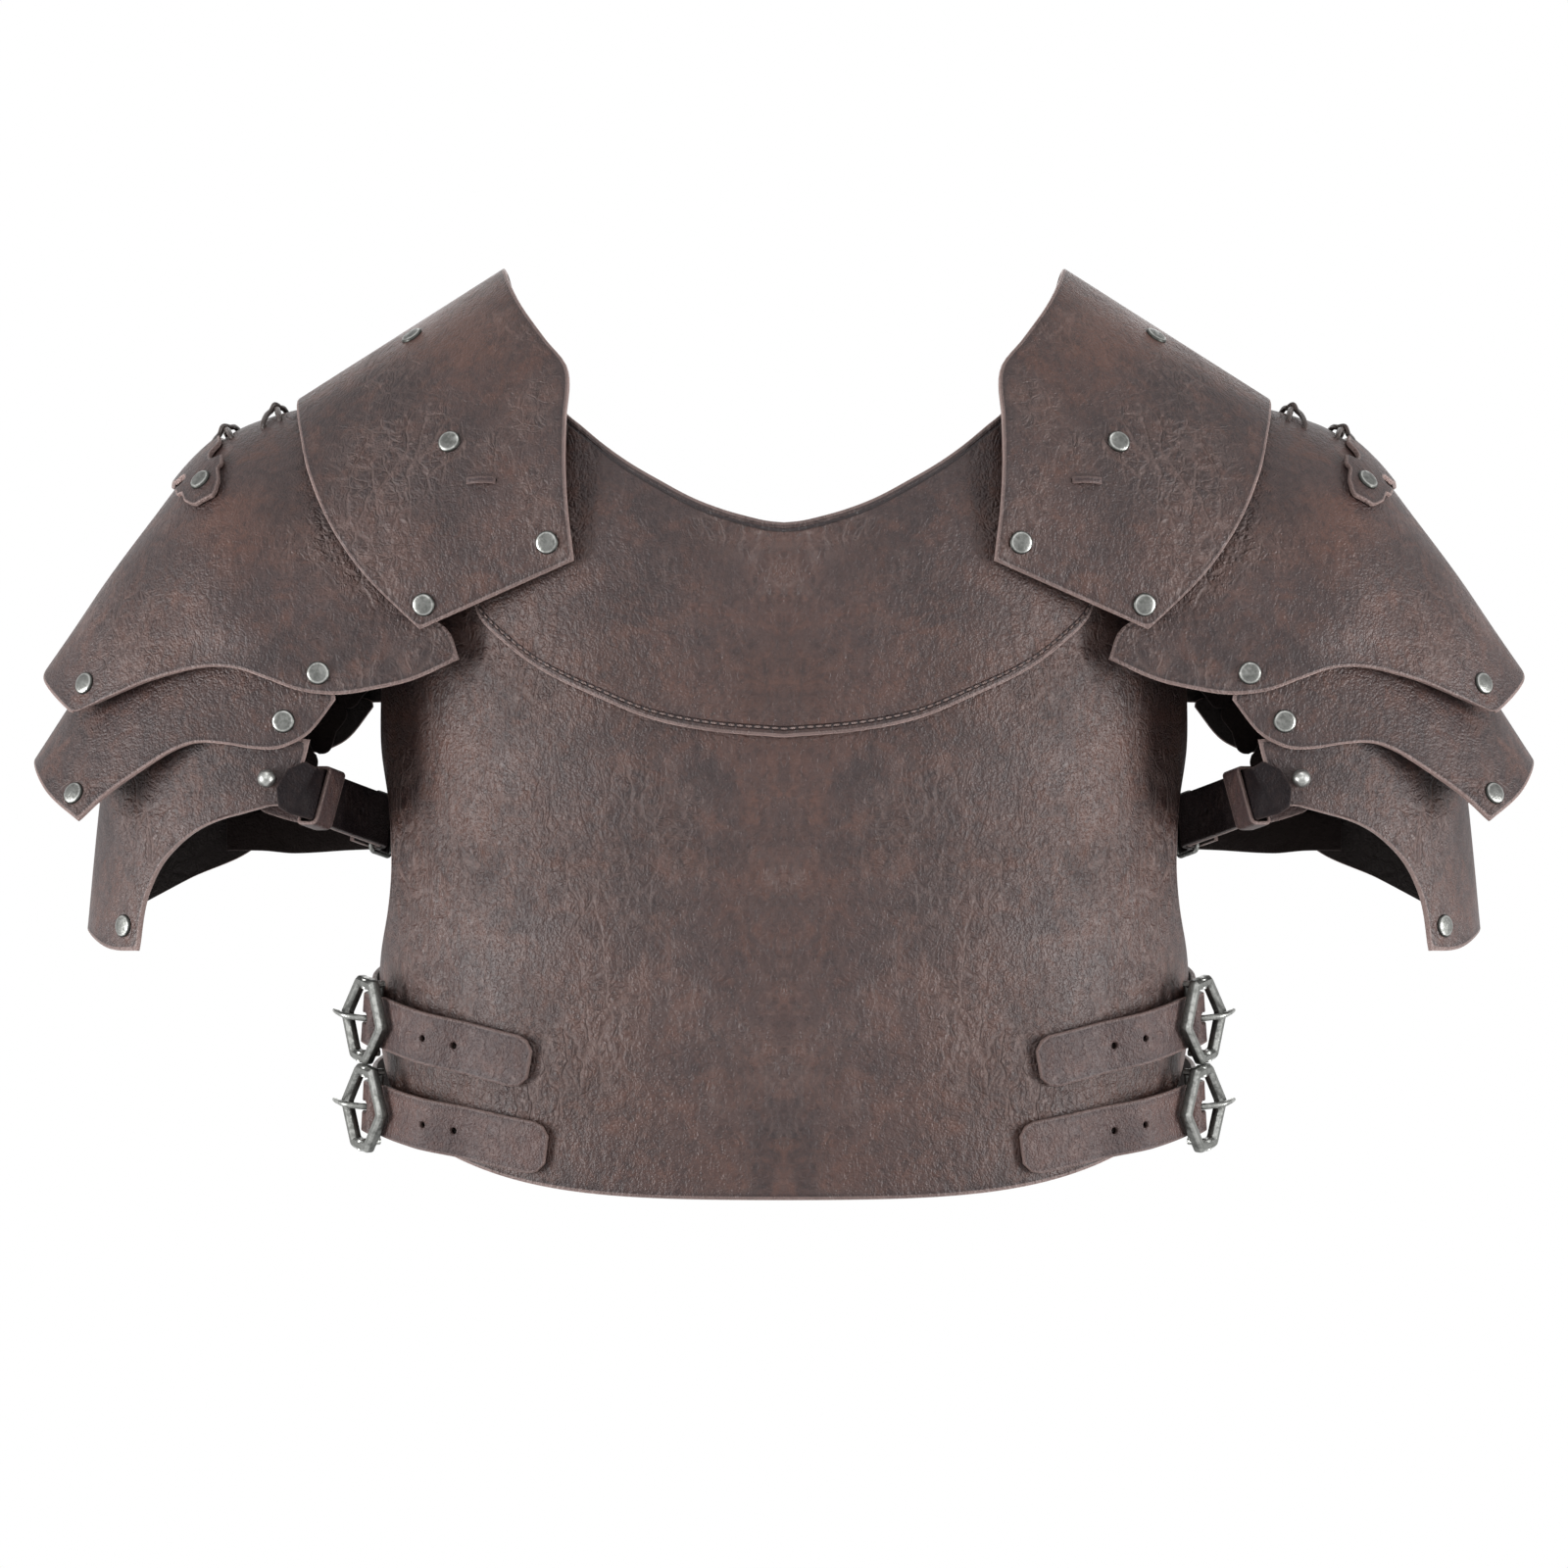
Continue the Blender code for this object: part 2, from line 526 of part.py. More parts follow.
class ArchedPlate:
    """A leather plate that arches over the arm, drawn in the front view between a ridge and a hem."""

    def __init__(self, name, outline, arch, half_depth, steps, back=None):
        self.name = name
        self.outline = outline
        self.back = back or outline
        self.arch = arch
        self.half_depth = half_depth
        self.steps = steps

    def front_view(self, s, q, outline):
        """Return (x, z) of the plate at a share s along it and q of the way down from its ridge."""
        ridge, hem, start, end = outline
        top = along(ridge, s)
        low = along(hem, s)
        blended = top * (1 - q) + low * q + along(start, q) * (1 - s) + along(end, q) * s
        corners = (along(ridge, 0) * (1 - q) + along(hem, 0) * q) * (1 - s)
        corners += (along(ridge, 1) * (1 - q) + along(hem, 1) * q) * s
        return view_place(blended - corners), view_place(top)

    def point(self, s, sweep):
        """Return a point of the outer face; sweep runs from -1 (back hem) over 0 (ridge) to 1 (front hem)."""
        outline = self.outline if sweep >= 0 else self.back
        q = 1 - math.cos(abs(sweep) * HALF_TURN / 2)
        place, top = self.front_view(s, q, outline)
        cosine = max(-0.2, 1 - (place - top).length / self.arch)
        depth = self.half_depth * math.sqrt(max(0.0, 1 - cosine * cosine))
        return Vector((place.x, -math.copysign(depth, sweep), place.y))

    def normal(self, s, sweep):
        """Return the outward normal at a share of the plate."""
        step = 0.01
        along_plate = self.point(min(s + step, 1), sweep) - self.point(max(s - step, 0), sweep)
        across = self.point(s, sweep + step) - self.point(s, sweep - step)
        normal = along_plate.cross(across).normalized()
        return normal if normal.dot(arm_outward(self.point(s, sweep))) > 0 else -normal

    def build(self):
        """Return the plate as a closed sheet."""
        points = []
        for i in range(self.steps):
            s = i / (self.steps - 1)
            points.append([self.point(s, -1 + 2 * j / SWEEP_STEPS) for j in range(SWEEP_STEPS + 1)])
        return sheet(self.name, points, arm_outward, leather(self.name))


def view_place(shares):
    """Turn shares of the shoulder armour's reach and drop into metres in the front view."""
    start = PAULDRON_START_SHARE * CHEST_HALF_WIDTH
    return Vector((start + shares.x * PAULDRON_REACH, PAULDRON_TOP - shares.y * PAULDRON_DROP))


def arm_outward(point):
    """Return the rough outward direction of the shoulder armour: away from a line along the arm."""
    middle = view_place(Vector((0.25, 0.85)))
    return Vector((point.x - middle.x, point.y * 2, point.z - middle.y))


class ShoulderCap(ArchedPlate):
    """The cap over the shoulder, a straight-ruled arch between its neck edge and its arm edge."""

    def __init__(self, name):
        corner = view_place(along(CAP_NECK_SHARES, 1.0))
        lapped = 2 * LEATHER + GAP + CAP_CHEST_GAP + LEATHER / 2 + YOKE_GAP
        self.neck_depth = chest_depth(corner.x, corner.y) + lapped
        self.arm_depth = ARM_HALF_DEPTH + LEATHER + LAME_GAP
        super().__init__(name, None, None, None, CAP_STEPS)

    def point(self, s, sweep):
        """Return a point of the outer face."""
        q = 1 - math.cos(abs(sweep) * HALF_TURN / 2)
        neck = along(CAP_NECK_SHARES, q)
        if sweep < 0:
            neck.x += CAP_BACK_SET_SHARE * math.sin(HALF_TURN * min(1.0, q / CAP_BACK_END_SHARE))
        place = view_place(neck * (1 - s) + along(CAP_ARM_SHARES, q) * s)
        depth = self.neck_depth * (1 - s) + self.arm_depth * s
        return Vector((place.x, -depth * math.sin(sweep * HALF_TURN / 2), place.y))


def make_plate(name, facing):
    """Make the front or the back plate: narrow under the arm, with a curved hem."""
    rows = []
    columns, lines = PLATE_STEPS
    hem = -PLATE_HEM_DROP
    for i in range(columns + 1):
        u = -1 + 2 * i / columns
        u = math.sin(u * HALF_TURN / 2 * 0.88) / math.sin(HALF_TURN / 2 * 0.88)
        top = -PLATE_TOP_DROP + along(PLATE_TOP_SHARES, abs(u)).x * (PLATE_HEM_DROP - PLATE_TOP_DROP)
        low = hem + HEM_CORNER_RISE * abs(u) ** HEM_POWER
        line = []
        for j in range(lines + 1):
            v = j / lines
            half = along(PLATE_SIDE_SHARES, v).x * CHEST_HALF_WIDTH
            line.append(chest_point(u * half, top + (low - top) * v, 0.0, facing))
        rows.append(line)
    return sheet(name, rows, lambda p: Vector((p.x, p.y * 2, 0.0)), leather(name))


def yoke_rows(table, width, drop):
    """Return front-view points along one edge of the yoke, for both sides of the middle."""
    columns = YOKE_STEPS[0]
    top = crown_at(NECK_HALF_WIDTH) - YOKE_END_DROP
    places = []
    for i in range(columns + 1):
        u = -1 + 2 * i / columns
        share = along(table, abs(u))
        places.append((math.copysign(share.x * width, u), top - (top + drop) * share.y))
    return places


def make_yoke(name, facing):
    """Make the front or the back yoke, lapped over its plate, with tabs up to the shoulders."""
    neckline = yoke_rows(NECKLINE_SHARES, NECK_HALF_WIDTH, NECK_DROP)
    edge = yoke_rows(YOKE_EDGE_SHARES, YOKE_OUTER_HALF_WIDTH, YOKE_DROP)
    fall = SHOULDER_SLOPE * (YOKE_OUTER_HALF_WIDTH - NECK_HALF_WIDTH)
    rows = []
    for (x0, z0), (x1, z1) in zip(neckline, edge):
        line = []
        for j in range(YOKE_STEPS[1]):
            v = j / (YOKE_STEPS[1] - 1)
            x = x0 + (x1 - x0) * v
            height = (z0 + (z1 - z0) * v + YOKE_DROP) / YOKE_DROP
            z = z0 + (z1 - z0) * v - fall * max(0.0, height - 0.5) * 2 * v
            line.append(chest_point(x, z, LEATHER + YOKE_GAP, facing))
        rows.append(line)
    return sheet(name, rows, lambda p: Vector((p.x, p.y * 2, 0.3 * abs(p.x))), leather(name))


def inner_face(place, trees, facing, spread):
    """Return the y of the innermost face near a place of the front view, seen from the arm."""
    deepest = None
    for dx in (-spread, 0.0, spread):
        for dz in (-spread, 0.0, spread):
            start = Vector((place.x + dx, 0.0, place.y + dz))
            for tree in trees:
                hit = tree.ray_cast(start, Vector((0.0, -facing, 0.0)))[0]
                if hit is not None and (deepest is None or abs(hit.y) < deepest):
                    deepest = abs(hit.y)
    return deepest


def hanger_stations(stops, trees, facing):
    """Return a hanger strap's stations along front-view stops, each stop with its rounded-end flag."""
    half = HANGER_WIDTH / 2
    stations = []
    run = (stops[-1] - stops[0]).normalized()
    depths = [inner_face(stop, trees, facing, half) - HANGER_GAP for stop in stops]
    depth = min(depths)
    spots = []
    rounding = [(1 - math.cos(math.radians(angle)), math.sin(math.radians(angle))) for angle in (15, 40, 65)]
    for reach, width in rounding:
        spots.append((stops[0] + run * half * reach, width))
    for stop in stops[1:-1]:
        spots.append((stop, 1.0))
    if len(stops) == 2:
        spots.append(((stops[0] + stops[1]) / 2, 1.0))
    for reach, width in reversed(rounding):
        spots.append((stops[-1] - run * half * reach, width))
    side = Vector((-run.y, 0.0, run.x)) * half
    out = Vector((0.0, -facing, 0.0))
    for place, width in spots:
        stations.append((Vector((place.x, -facing * depth, place.y)), side * width, out))
    return stations


def flat(point):
    """Return a point's place in the front view."""
    return Vector((point.x, point.z))


def beyond(place, towards, distance):
    """Return a place moved away from another by a distance."""
    return place + (place - towards).normalized() * distance


def down_the_side(drop):
    """Return how far a strap lies from the upper one, as a share of the step between the straps."""
    return (drop - STRAP_DROP) / (BUCKLE_HEIGHT + BUCKLE_GAP)


def strap_frame(drop, arc, lift):
    """Return the middle, outward and upward directions of a side strap at an arc from its buckle."""
    turn = turn_after(BUCKLE_TURN, arc)
    place, out = side_wrap(turn, lift)
    slope = STRAP_SLOPE - STRAP_SLOPE_FALL * down_the_side(drop)
    place.z = -drop + slope * arc
    level = Vector((math.cos(turn) * CHEST_HALF_WIDTH, math.sin(turn) * CHEST_HALF_DEPTH, 0.0)).normalized()
    run = (level + Vector((0.0, 0.0, slope))).normalized()
    return place, out, run.cross(out) * -1, run


def strap_lifts():
    """Return the lift of the strap's outer face at arcs from the buckle's bar, as it weaves through."""
    low = STRAP_LEATHER + STRAP_LIFT
    over_bar = bar_lift() + BAR_RADIUS + CHAPE_LEATHER + STRAP_LEATHER + 2 * GAP
    over_chape = rim_lift() - GAP
    half = BUCKLE_LENGTH / 2
    return ((-STRAP_TIP_ARC, low), (-CHAPE_LENGTH - half * 1.6, low), (-CHAPE_LENGTH * 1.05, over_chape),
            (-half * 1.1, over_chape), (-half * 0.40, over_chape), (-half * 0.16, over_bar),
            (half * 0.16, over_bar), (half * 0.62, low + CHAPE_LEATHER), (half * 1.1, low),
            (half * 1.8, low), (STRAP_BACK_ARC, low))


def bar_lift():
    """Return the lift of the buckle's bar over the plate."""
    return CHAPE_LEATHER + GAP * 2 + BAR_RADIUS + BUCKLE_RISE


def rim_lift():
    """Return the lift of the underside of the buckle's rim, clear of the strap that passes under it."""
    return 2 * CHAPE_LEATHER + RIVET_HEAD_HEIGHT + STRAP_LEATHER + 5 * GAP


def rim_height():
    """Return the height of the rim's underside over the bar's middle, in the buckle's own frame."""
    return rim_lift() - bar_lift() + math.sin(BUCKLE_TILT) * BUCKLE_LENGTH / 2


def lift_at(arc):
    """Return the strap's lift at any arc, between the named ones."""
    rows = strap_lifts()
    if arc <= rows[0][0]:
        return rows[0][1]
    for (a0, l0), (a1, l1) in zip(rows, rows[1:]):
        if arc <= a1:
            share = (arc - a0) / (a1 - a0)
            share = share * share * (3 - 2 * share)
            return l0 + (l1 - l0) * share
    return rows[-1][1]


def make_side_strap(name, drop):
    """Make a side strap: riveted to the back plate, woven through the buckle, with its tip in front."""
    stations = []
    tip = -STRAP_TIP_ARC - STRAP_TIP_STEP * down_the_side(drop)
    first = tip + STRAP_TIP_LENGTH
    arcs = [(tip, STRAP_TIP_WIDTH_SHARE), (tip + STRAP_TIP_LENGTH * 0.45, 0.88), (first, 1.0)]
    middle = [arc for arc, _ in strap_lifts()[1:-1]]
    arcs.append(((first + middle[0]) / 2, 1.0))
    arcs += [(arc, 1.0) for arc in middle]
    arcs += [(middle[-1] + (STRAP_BACK_ARC - middle[-1]) * k / 5, 1.0) for k in range(1, 6)]
    for arc, width in arcs:
        place, out, up, _ = strap_frame(drop, arc, lift_at(arc))
        stations.append((place, up * STRAP_WIDTH / 2 * width, out))
    strap = ribbon(name, stations, STRAP_LEATHER, leather(name))
    holes = [(-arc, STRAP_HOLE_RADIUS) for arc in STRAP_HOLE_ARCS]
    holes += [(BUCKLE_LENGTH * share, TONGUE_HOLE_RADIUS) for share in TONGUE_HOLE_SHARES]
    for arc, radius in holes:
        place, out, _, _ = strap_frame(drop, arc, lift_at(arc))
        hole = bmesh.new()
        rod(hole, place + out * CUT_OVERRUN, place - out * (STRAP_LEATHER + CUT_OVERRUN), radius)
        carve(strap, hole)
    return strap


def buckle_matrix(drop):
    """Return the buckle's own frame: X along the strap to the back, Y up its bar, Z outwards."""
    place, out, up, run = strap_frame(drop, 0.0, bar_lift())
    tilt = Matrix.Rotation(-BUCKLE_TILT, 3, 'Y')
    matrix = (Matrix((run, up, out)).transposed() @ tilt).to_4x4()
    matrix.translation = place
    return matrix


def make_buckle_frame(name, drop):
    """Make a six-sided buckle frame with a bar across its middle."""
    half_x = BUCKLE_LENGTH / 2
    half_y = BUCKLE_HEIGHT / 2
    flat_x = half_x * BUCKLE_FLAT_SHARE
    corners = ((half_x, 0.0), (flat_x, half_y), (-flat_x, half_y), (-half_x, 0.0), (-flat_x, -half_y),
               (flat_x, -half_y))
    low = rim_height()
    inner_x = 1 - BUCKLE_RIM / half_x
    inner_y = 1 - BUCKLE_RIM / half_y
    chamfer = BUCKLE_THICKNESS * 0.3
    bm = bmesh.new()
    loops = []
    for share, height in ((1.0, low), (1.0, low + BUCKLE_THICKNESS - chamfer),
                          (0.5, low + BUCKLE_THICKNESS), (0.0, low + BUCKLE_THICKNESS - chamfer), (0.0, low)):
        ring = []
        for x, y in corners:
            scale_x = inner_x + (1 - inner_x) * share
            scale_y = inner_y + (1 - inner_y) * share
            ring.append(bm.verts.new((x * scale_x, y * scale_y, height)))
        loops.append(ring)
    for first, second in zip(loops, loops[1:] + loops[:1]):
        for k in range(len(corners)):
            after = (k + 1) % len(corners)
            bm.faces.new((first[k], first[after], second[after], second[k]))
    bmesh.ops.recalc_face_normals(bm, faces=bm.faces)
    matrix = buckle_matrix(drop)
    bm.transform(matrix)
    frame = link(name, bm, pewter(name))
    posts = bmesh.new()
    end = half_y - BUCKLE_RIM / 2
    own = bmesh.new()
    rod(own, Vector((0.0, -end, 0.0)), Vector((0.0, end, 0.0)), BAR_RADIUS, 8)
    own.transform(matrix)
    merge(posts, own)
    carve(frame, posts, 'UNION')
    knees = bmesh.new()
    for sign in (-1, 1):
        own = bmesh.new()
        foot = Vector((0.0, sign * (end - BAR_RADIUS), -BAR_RADIUS * 0.6))
        rod(own, foot, foot + Vector((0.0, 0.0, low + BUCKLE_THICKNESS * 0.6)), BAR_RADIUS * 1.25, 8)
        own.transform(matrix)
        merge(knees, own)
    return carve(frame, knees, 'UNION')


def make_chape(name, drop):
    """Make the folded strap that holds the buckle's bar to the front plate."""
    low = CHAPE_LEATHER + GAP
    wrap = BAR_RADIUS + GAP + CHAPE_LEATHER
    centre = bar_lift()
    lower = []
    for k in range(4):
        arc = -CHAPE_LENGTH + (CHAPE_LENGTH - wrap * 0.2) * k / 3
        place, out, up, _ = strap_frame(drop, arc, low)
        lower.append((place, up * CHAPE_WIDTH / 2, out))
    middle, out0, up0, run0 = strap_frame(drop, 0.0, centre)
    fold = []
    for angle in (-60, -10, 40, 90, 130):
        turn = math.radians(angle)
        out = run0 * math.cos(turn) + out0 * math.sin(turn)
        fold.append((middle + out * (BAR_RADIUS + GAP), up0 * CHAPE_WIDTH / 2, -out))
    upper = []
    for k in range(4):
        arc = -(wrap * 1.15 + (CHAPE_LENGTH * 0.94 - wrap * 1.15) * k / 3)
        place, out, up, _ = strap_frame(drop, arc, low + GAP)
        upper.append((place, up * CHAPE_WIDTH / 2, -out))
    chape = ribbon(name, lower + fold + upper, CHAPE_LEATHER, leather(name))
    slot = bmesh.new()
    size = Vector((wrap * 3, TONGUE_SLOT_WIDTH, wrap * 4))
    bmesh.ops.create_cube(slot, size=1.0)
    shift = Vector((wrap * 0.5, 0.0, 0.0))
    slot.transform(buckle_matrix(drop) @ Matrix.Translation(shift) @ Matrix.Diagonal((*size, 1.0)))
    return carve(chape, slot)


def make_tongue(name, drop):
    """Make a buckle tongue: a loop round the bar and a pin that rests on the rim towards the back."""
    rest = rim_height() + BUCKLE_THICKNESS + GAP + TONGUE_RADIUS
    reach = BUCKLE_LENGTH / 2 + BUCKLE_RIM * 0.5
    bore = BAR_RADIUS + GAP
    width = TONGUE_SLOT_WIDTH / 2 - GAP
    bm = bmesh.new()
    loops = []
    sides = 8
    for radius, y in ((bore + TONGUE_RADIUS, -width), (bore + TONGUE_RADIUS, width), (bore, width),
                      (bore, -width)):
        ring = []
        for k in range(sides):
            angle = 2 * math.pi * k / sides
            ring.append(bm.verts.new((radius * math.cos(angle), y, radius * math.sin(angle))))
        loops.append(ring)
    for first, second in zip(loops, loops[1:] + loops[:1]):
        for k in range(sides):
            after = (k + 1) % sides
            bm.faces.new((first[k], first[after], second[after], second[k]))
    bmesh.ops.recalc_face_normals(bm, faces=bm.faces)
    tongue = link(name, bm, pewter(name))
    knee = Vector((BUCKLE_LENGTH / 2 - BUCKLE_RIM * 1.6, 0.0, rest + TONGUE_RADIUS * 0.4))
    foot = Vector((TONGUE_RADIUS, 0.0, bore + TONGUE_RADIUS))
    pin = bent_rod((foot, knee, Vector((reach, 0.0, rest))), Vector((0.0, 1.0, 0.0)), TONGUE_RADIUS)
    carve(tongue, pin, 'UNION')
    tongue.matrix_basis = buckle_matrix(drop)
    return tongue


def mirrored(obj, name):
    """Make the right-hand twin of a left-hand piece."""
    bm = bmesh.new()
    bm.from_mesh(obj.data)
    bm.transform(obj.matrix_basis)
    bm.transform(Matrix.Diagonal((-1.0, 1.0, 1.0, 1.0)))
    bmesh.ops.reverse_faces(bm, faces=bm.faces)
    twin = link(name, bm, obj.data.materials[0].copy())
    if obj.location.length > 0:
        set_origin(twin, Matrix.Diagonal((-1.0, 1.0, 1.0)) @ obj.location)


def strap_side(run, out, half):
    """Return the half-width vector of a strap: upright, and square to its run."""
    side = out.cross(run).normalized()
    if side.z < 0:
        side = -side
    return side * half


def arm_strap_line(lame):
    """Return the start, run, outward and length of the straight stretch of the tail's inner face."""
    bend = view_place(Vector(ARM_STRAP_BEND_SHARES))
    ring = view_place(Vector(ARM_STRAP_RING_SHARES))
    start = Vector((bend.x, -lame.half_depth - GAP, bend.y))
    stop = Vector((ring.x, -lame.half_depth * ARM_STRAP_RING_DEPTH_SHARE, ring.y))
    run = (stop - start).normalized()
    out = run.cross(Vector((0.0, 0.0, 1.0))).normalized()
    if out.x > 0:
        out = -out
    return start, run, out, (stop - start).length


def ring_plane():
    """Return how far the ring's middle plane lies under the inner face of the strap's tail."""
    return ARM_STRAP_LAYER_GAP + STRAP_LEATHER + GAP + ARM_RING_WIRE * 0.71


def make_arm_strap(name, lame, trees):
    """Make the arm strap: tip outside the lame, through the ring, round the arm, riveted at the back."""
    start, run, out, length = arm_strap_line(lame)
    half = ARM_STRAP_WIDTH / 2
    side = strap_side(run, out, half)
    front = Vector((0.0, -1.0, 0.0))
    stud = lame.point(*LAME_3_STUD_SHARES)
    thickness = STRAP_LEATHER
    slope = Vector((start.x - stud.x, 0.0, start.z - stud.z - STUD_RADIUS)).normalized()
    face = start + front * thickness
    stations = []
    tip_length = start.x - stud.x + STUD_RADIUS * 1.25
    for share, width in ((1.0, 0.34), (0.86, 0.60), (0.55, 1.0), (0.0, 1.0)):
        along_tip = face + slope * (tip_length * share)
        stations.append((along_tip, strap_side(slope, front, half) * width, front))
    for distance in (BUCKLE_RIM, length * 0.5, length):
        stations.append((start + run * distance + out * thickness, side, out))
    plane = ring_plane()
    drop = plane + ARM_RING_WIRE * 0.71 + GAP
    for share, depth in ARM_STRAP_WEAVE_SHARES:
        place = start + run * (length + ARM_RING_LENGTH * share) - out * drop * depth
        stations.append((place, side, out))
    rivet = lame.point(*LAME_3_BACK_RIVET_SHARES)
    depth = inner_face(flat(rivet), trees, -1, half * 0.8) - GAP
    stops = [Vector((*view_place(Vector(row[:2])), 0.0)).xzy for row in ARM_STRAP_BACK_SHARES]
    for stop, row in zip(stops, ARM_STRAP_BACK_SHARES):
        stop.y = lame.half_depth * row[2]
    seat = Vector((rivet.x, depth, rivet.z))
    before = stations[-1][0]
    for k, stop in enumerate(stops):
        after = stops[k + 1] if k + 1 < len(stops) else seat
        heading = (after - before).normalized()
        outward = heading.cross(Vector((0.0, 0.0, 1.0))).normalized()
        stations.append((stop, strap_side(heading, outward, half), outward))
        before = stop
    for reach in (-0.9, 0.55):
        place = seat + Vector((half * reach, 0.0, 0.0))
        stations.append((place, Vector((0.0, 0.0, half * 0.8)), Vector((0.0, 1.0, 0.0))))
    strap = ribbon(name, stations, thickness, dark_leather(name))
    hole = bmesh.new()
    spot = start + run * length * 0.66
    rod(hole, spot + out * (thickness + CUT_OVERRUN), spot - out * CUT_OVERRUN / 8, STRAP_HOLE_RADIUS)
    return carve(strap, hole)


def make_arm_strap_front(name, lame, trees):
    """Make the short strap from the stud to the ring, folded round the ring's front bar."""
    start, run, out, length = arm_strap_line(lame)
    half = ARM_STRAP_WIDTH / 2 * 0.98
    side = strap_side(run, out, half)
    front = Vector((0.0, -1.0, 0.0))
    stud = lame.point(*LAME_3_STUD_SHARES)
    depth = inner_face(flat(stud), trees, 1, half) - GAP
    lift = -ARM_STRAP_LAYER_GAP
    join = start + run * ((-depth - start.y - lift * out.y) / run.y) + out * lift
    stations = []
    for share, width in ((1.0, 0.45), (0.9, 0.6), (0.35, 0.98)):
        place = Vector((join.x + (stud.x + half * 0.45 - join.x) * share, -depth, join.z))
        stations.append((place, Vector((0.0, 0.0, half * width)), front))
    bent = (front + out).normalized()
    stations.append((join, side, bent))
    stations.append((start + run * length * 0.5 + out * lift, side, out))
    centre = start + run * length - out * ring_plane()
    radius = ring_plane() + lift
    for angle in (90, 45, 0, -45, -90):
        turn = math.radians(angle)
        direction = run * math.cos(turn) + out * math.sin(turn)
        stations.append((centre + direction * radius, side, direction))
    back = centre - out * radius
    stations.append((back - run * half * 1.1, side, -out))
    return ribbon(name, stations, STRAP_LEATHER, leather(name))


def make_arm_ring(name, lame):
    """Make the rectangular ring of square wire that joins the two arm straps."""
    start, run, out, length = arm_strap_line(lame)
    side = strap_side(run, out, 1.0)
    centre = start + run * (length + ARM_RING_LENGTH / 2) - out * ring_plane()
    inner = (ARM_RING_LENGTH / 2 - ARM_RING_WIRE / 2, ARM_STRAP_WIDTH / 2 + GAP * 2)
    return rectangular_loop(name, centre, (run, side, out), inner, ARM_RING_WIRE, ARM_RING_WIRE, pewter(name))


def rectangular_loop(name, centre, axes, inner, wall, depth, material):
    """Make a rectangular loop in the plane of the first two axes, as deep as asked along the third."""
    first, second, third = axes
    bm = bmesh.new()
    loops = []
    for grow, height in ((wall, -0.5), (wall, 0.5), (0.0, 0.5), (0.0, -0.5)):
        ring = []
        for sx, sy in ((1, 1), (-1, 1), (-1, -1), (1, -1)):
            place = centre + first * sx * (inner[0] + grow) + second * sy * (inner[1] + grow)
            ring.append(bm.verts.new(place + third * depth * height))
        loops.append(ring)
    for ring, after in zip(loops, loops[1:] + loops[:1]):
        for k in range(4):
            bm.faces.new((ring[k], ring[(k + 1) % 4], after[(k + 1) % 4], after[k]))
    bmesh.ops.recalc_face_normals(bm, faces=bm.faces)
    return link(name, bm, material)


def make_keeper(name, lame):
    """Make the leather keeper round the arm strap's tail and the front strap, on their straight run."""
    start, run, out, length = arm_strap_line(lame)
    side = strap_side(run, out, 1.0)
    stack = 2 * STRAP_LEATHER + ARM_STRAP_LAYER_GAP
    middle = start + out * (STRAP_LEATHER - stack / 2) + run * KEEPER_START
    inner = (stack / 2 + KEEPER_GAP, ARM_STRAP_WIDTH / 2 + KEEPER_GAP)
    axes = (out, side, run)
    return rectangular_loop(name, middle, axes, inner, KEEPER_LEATHER, KEEPER_WIDTH, leather(name))


def make_ridge_lace(name, lame, share, tree):
    """Make one cord lacing over the ridge: a crossed pair of strands and a bar across their ends."""
    middle = lame.point(share, 0.0)
    out = lame.normal(share, 0.0)
    middle = tree.ray_cast(middle + out * RAY_REACH, -out)[0]
    run = (lame.point(share + 0.02, 0.0) - middle).normalized()
    across = Vector((0.0, LACE_HALF_SPAN, 0.0))
    low = middle + out * (LACE_RADIUS + GAP)
    bm = bmesh.new()
    rod(bm, low - across, low + across, LACE_RADIUS)
    lace = link(name, bm, dark_leather(name))
    for sign, rise in ((-1, 0.0), (1, 0.6)):
        lift = out * LACE_RADIUS * rise
        near = low - across * sign * 0.86 + lift
        far = low + across * sign * 0.92 + run * LACE_CROSS_LENGTH + lift
        strand = bmesh.new()
        rod(strand, near, far, LACE_RADIUS * 0.9)
        carve(lace, strand, 'UNION')
    return lace


def make_ridge_tab(name, lame):
    """Make the leather tab that straddles the ridge, narrow at its waists, lobed at its ends."""
    stations = []
    length = (lame.point(1.0, 0.0) - lame.point(0.0, 0.0)).length
    outline = [(-share, width) for share, width in TAB_OUTLINE_SHARES[:0:-1]] + list(TAB_OUTLINE_SHARES)
    for share, width in outline:
        sweep = share * TAB_SWEEP_SHARE
        place = TAB_PLACE_SHARE + (TAB_END_PLACE_SHARE - TAB_PLACE_SHARE) * abs(share)
        out = lame.normal(place, sweep)
        middle = lame.point(place, sweep)
        ahead = lame.point(place + TAB_HALF_LENGTH / length, sweep)
        behind = lame.point(place - TAB_HALF_LENGTH / length, sweep)
        side = (ahead - behind).normalized() * TAB_HALF_LENGTH * width
        stations.append((middle + out * (STRAP_LEATHER + TAB_LIFT), side, out))
    return ribbon(name, stations, STRAP_LEATHER, leather(name))


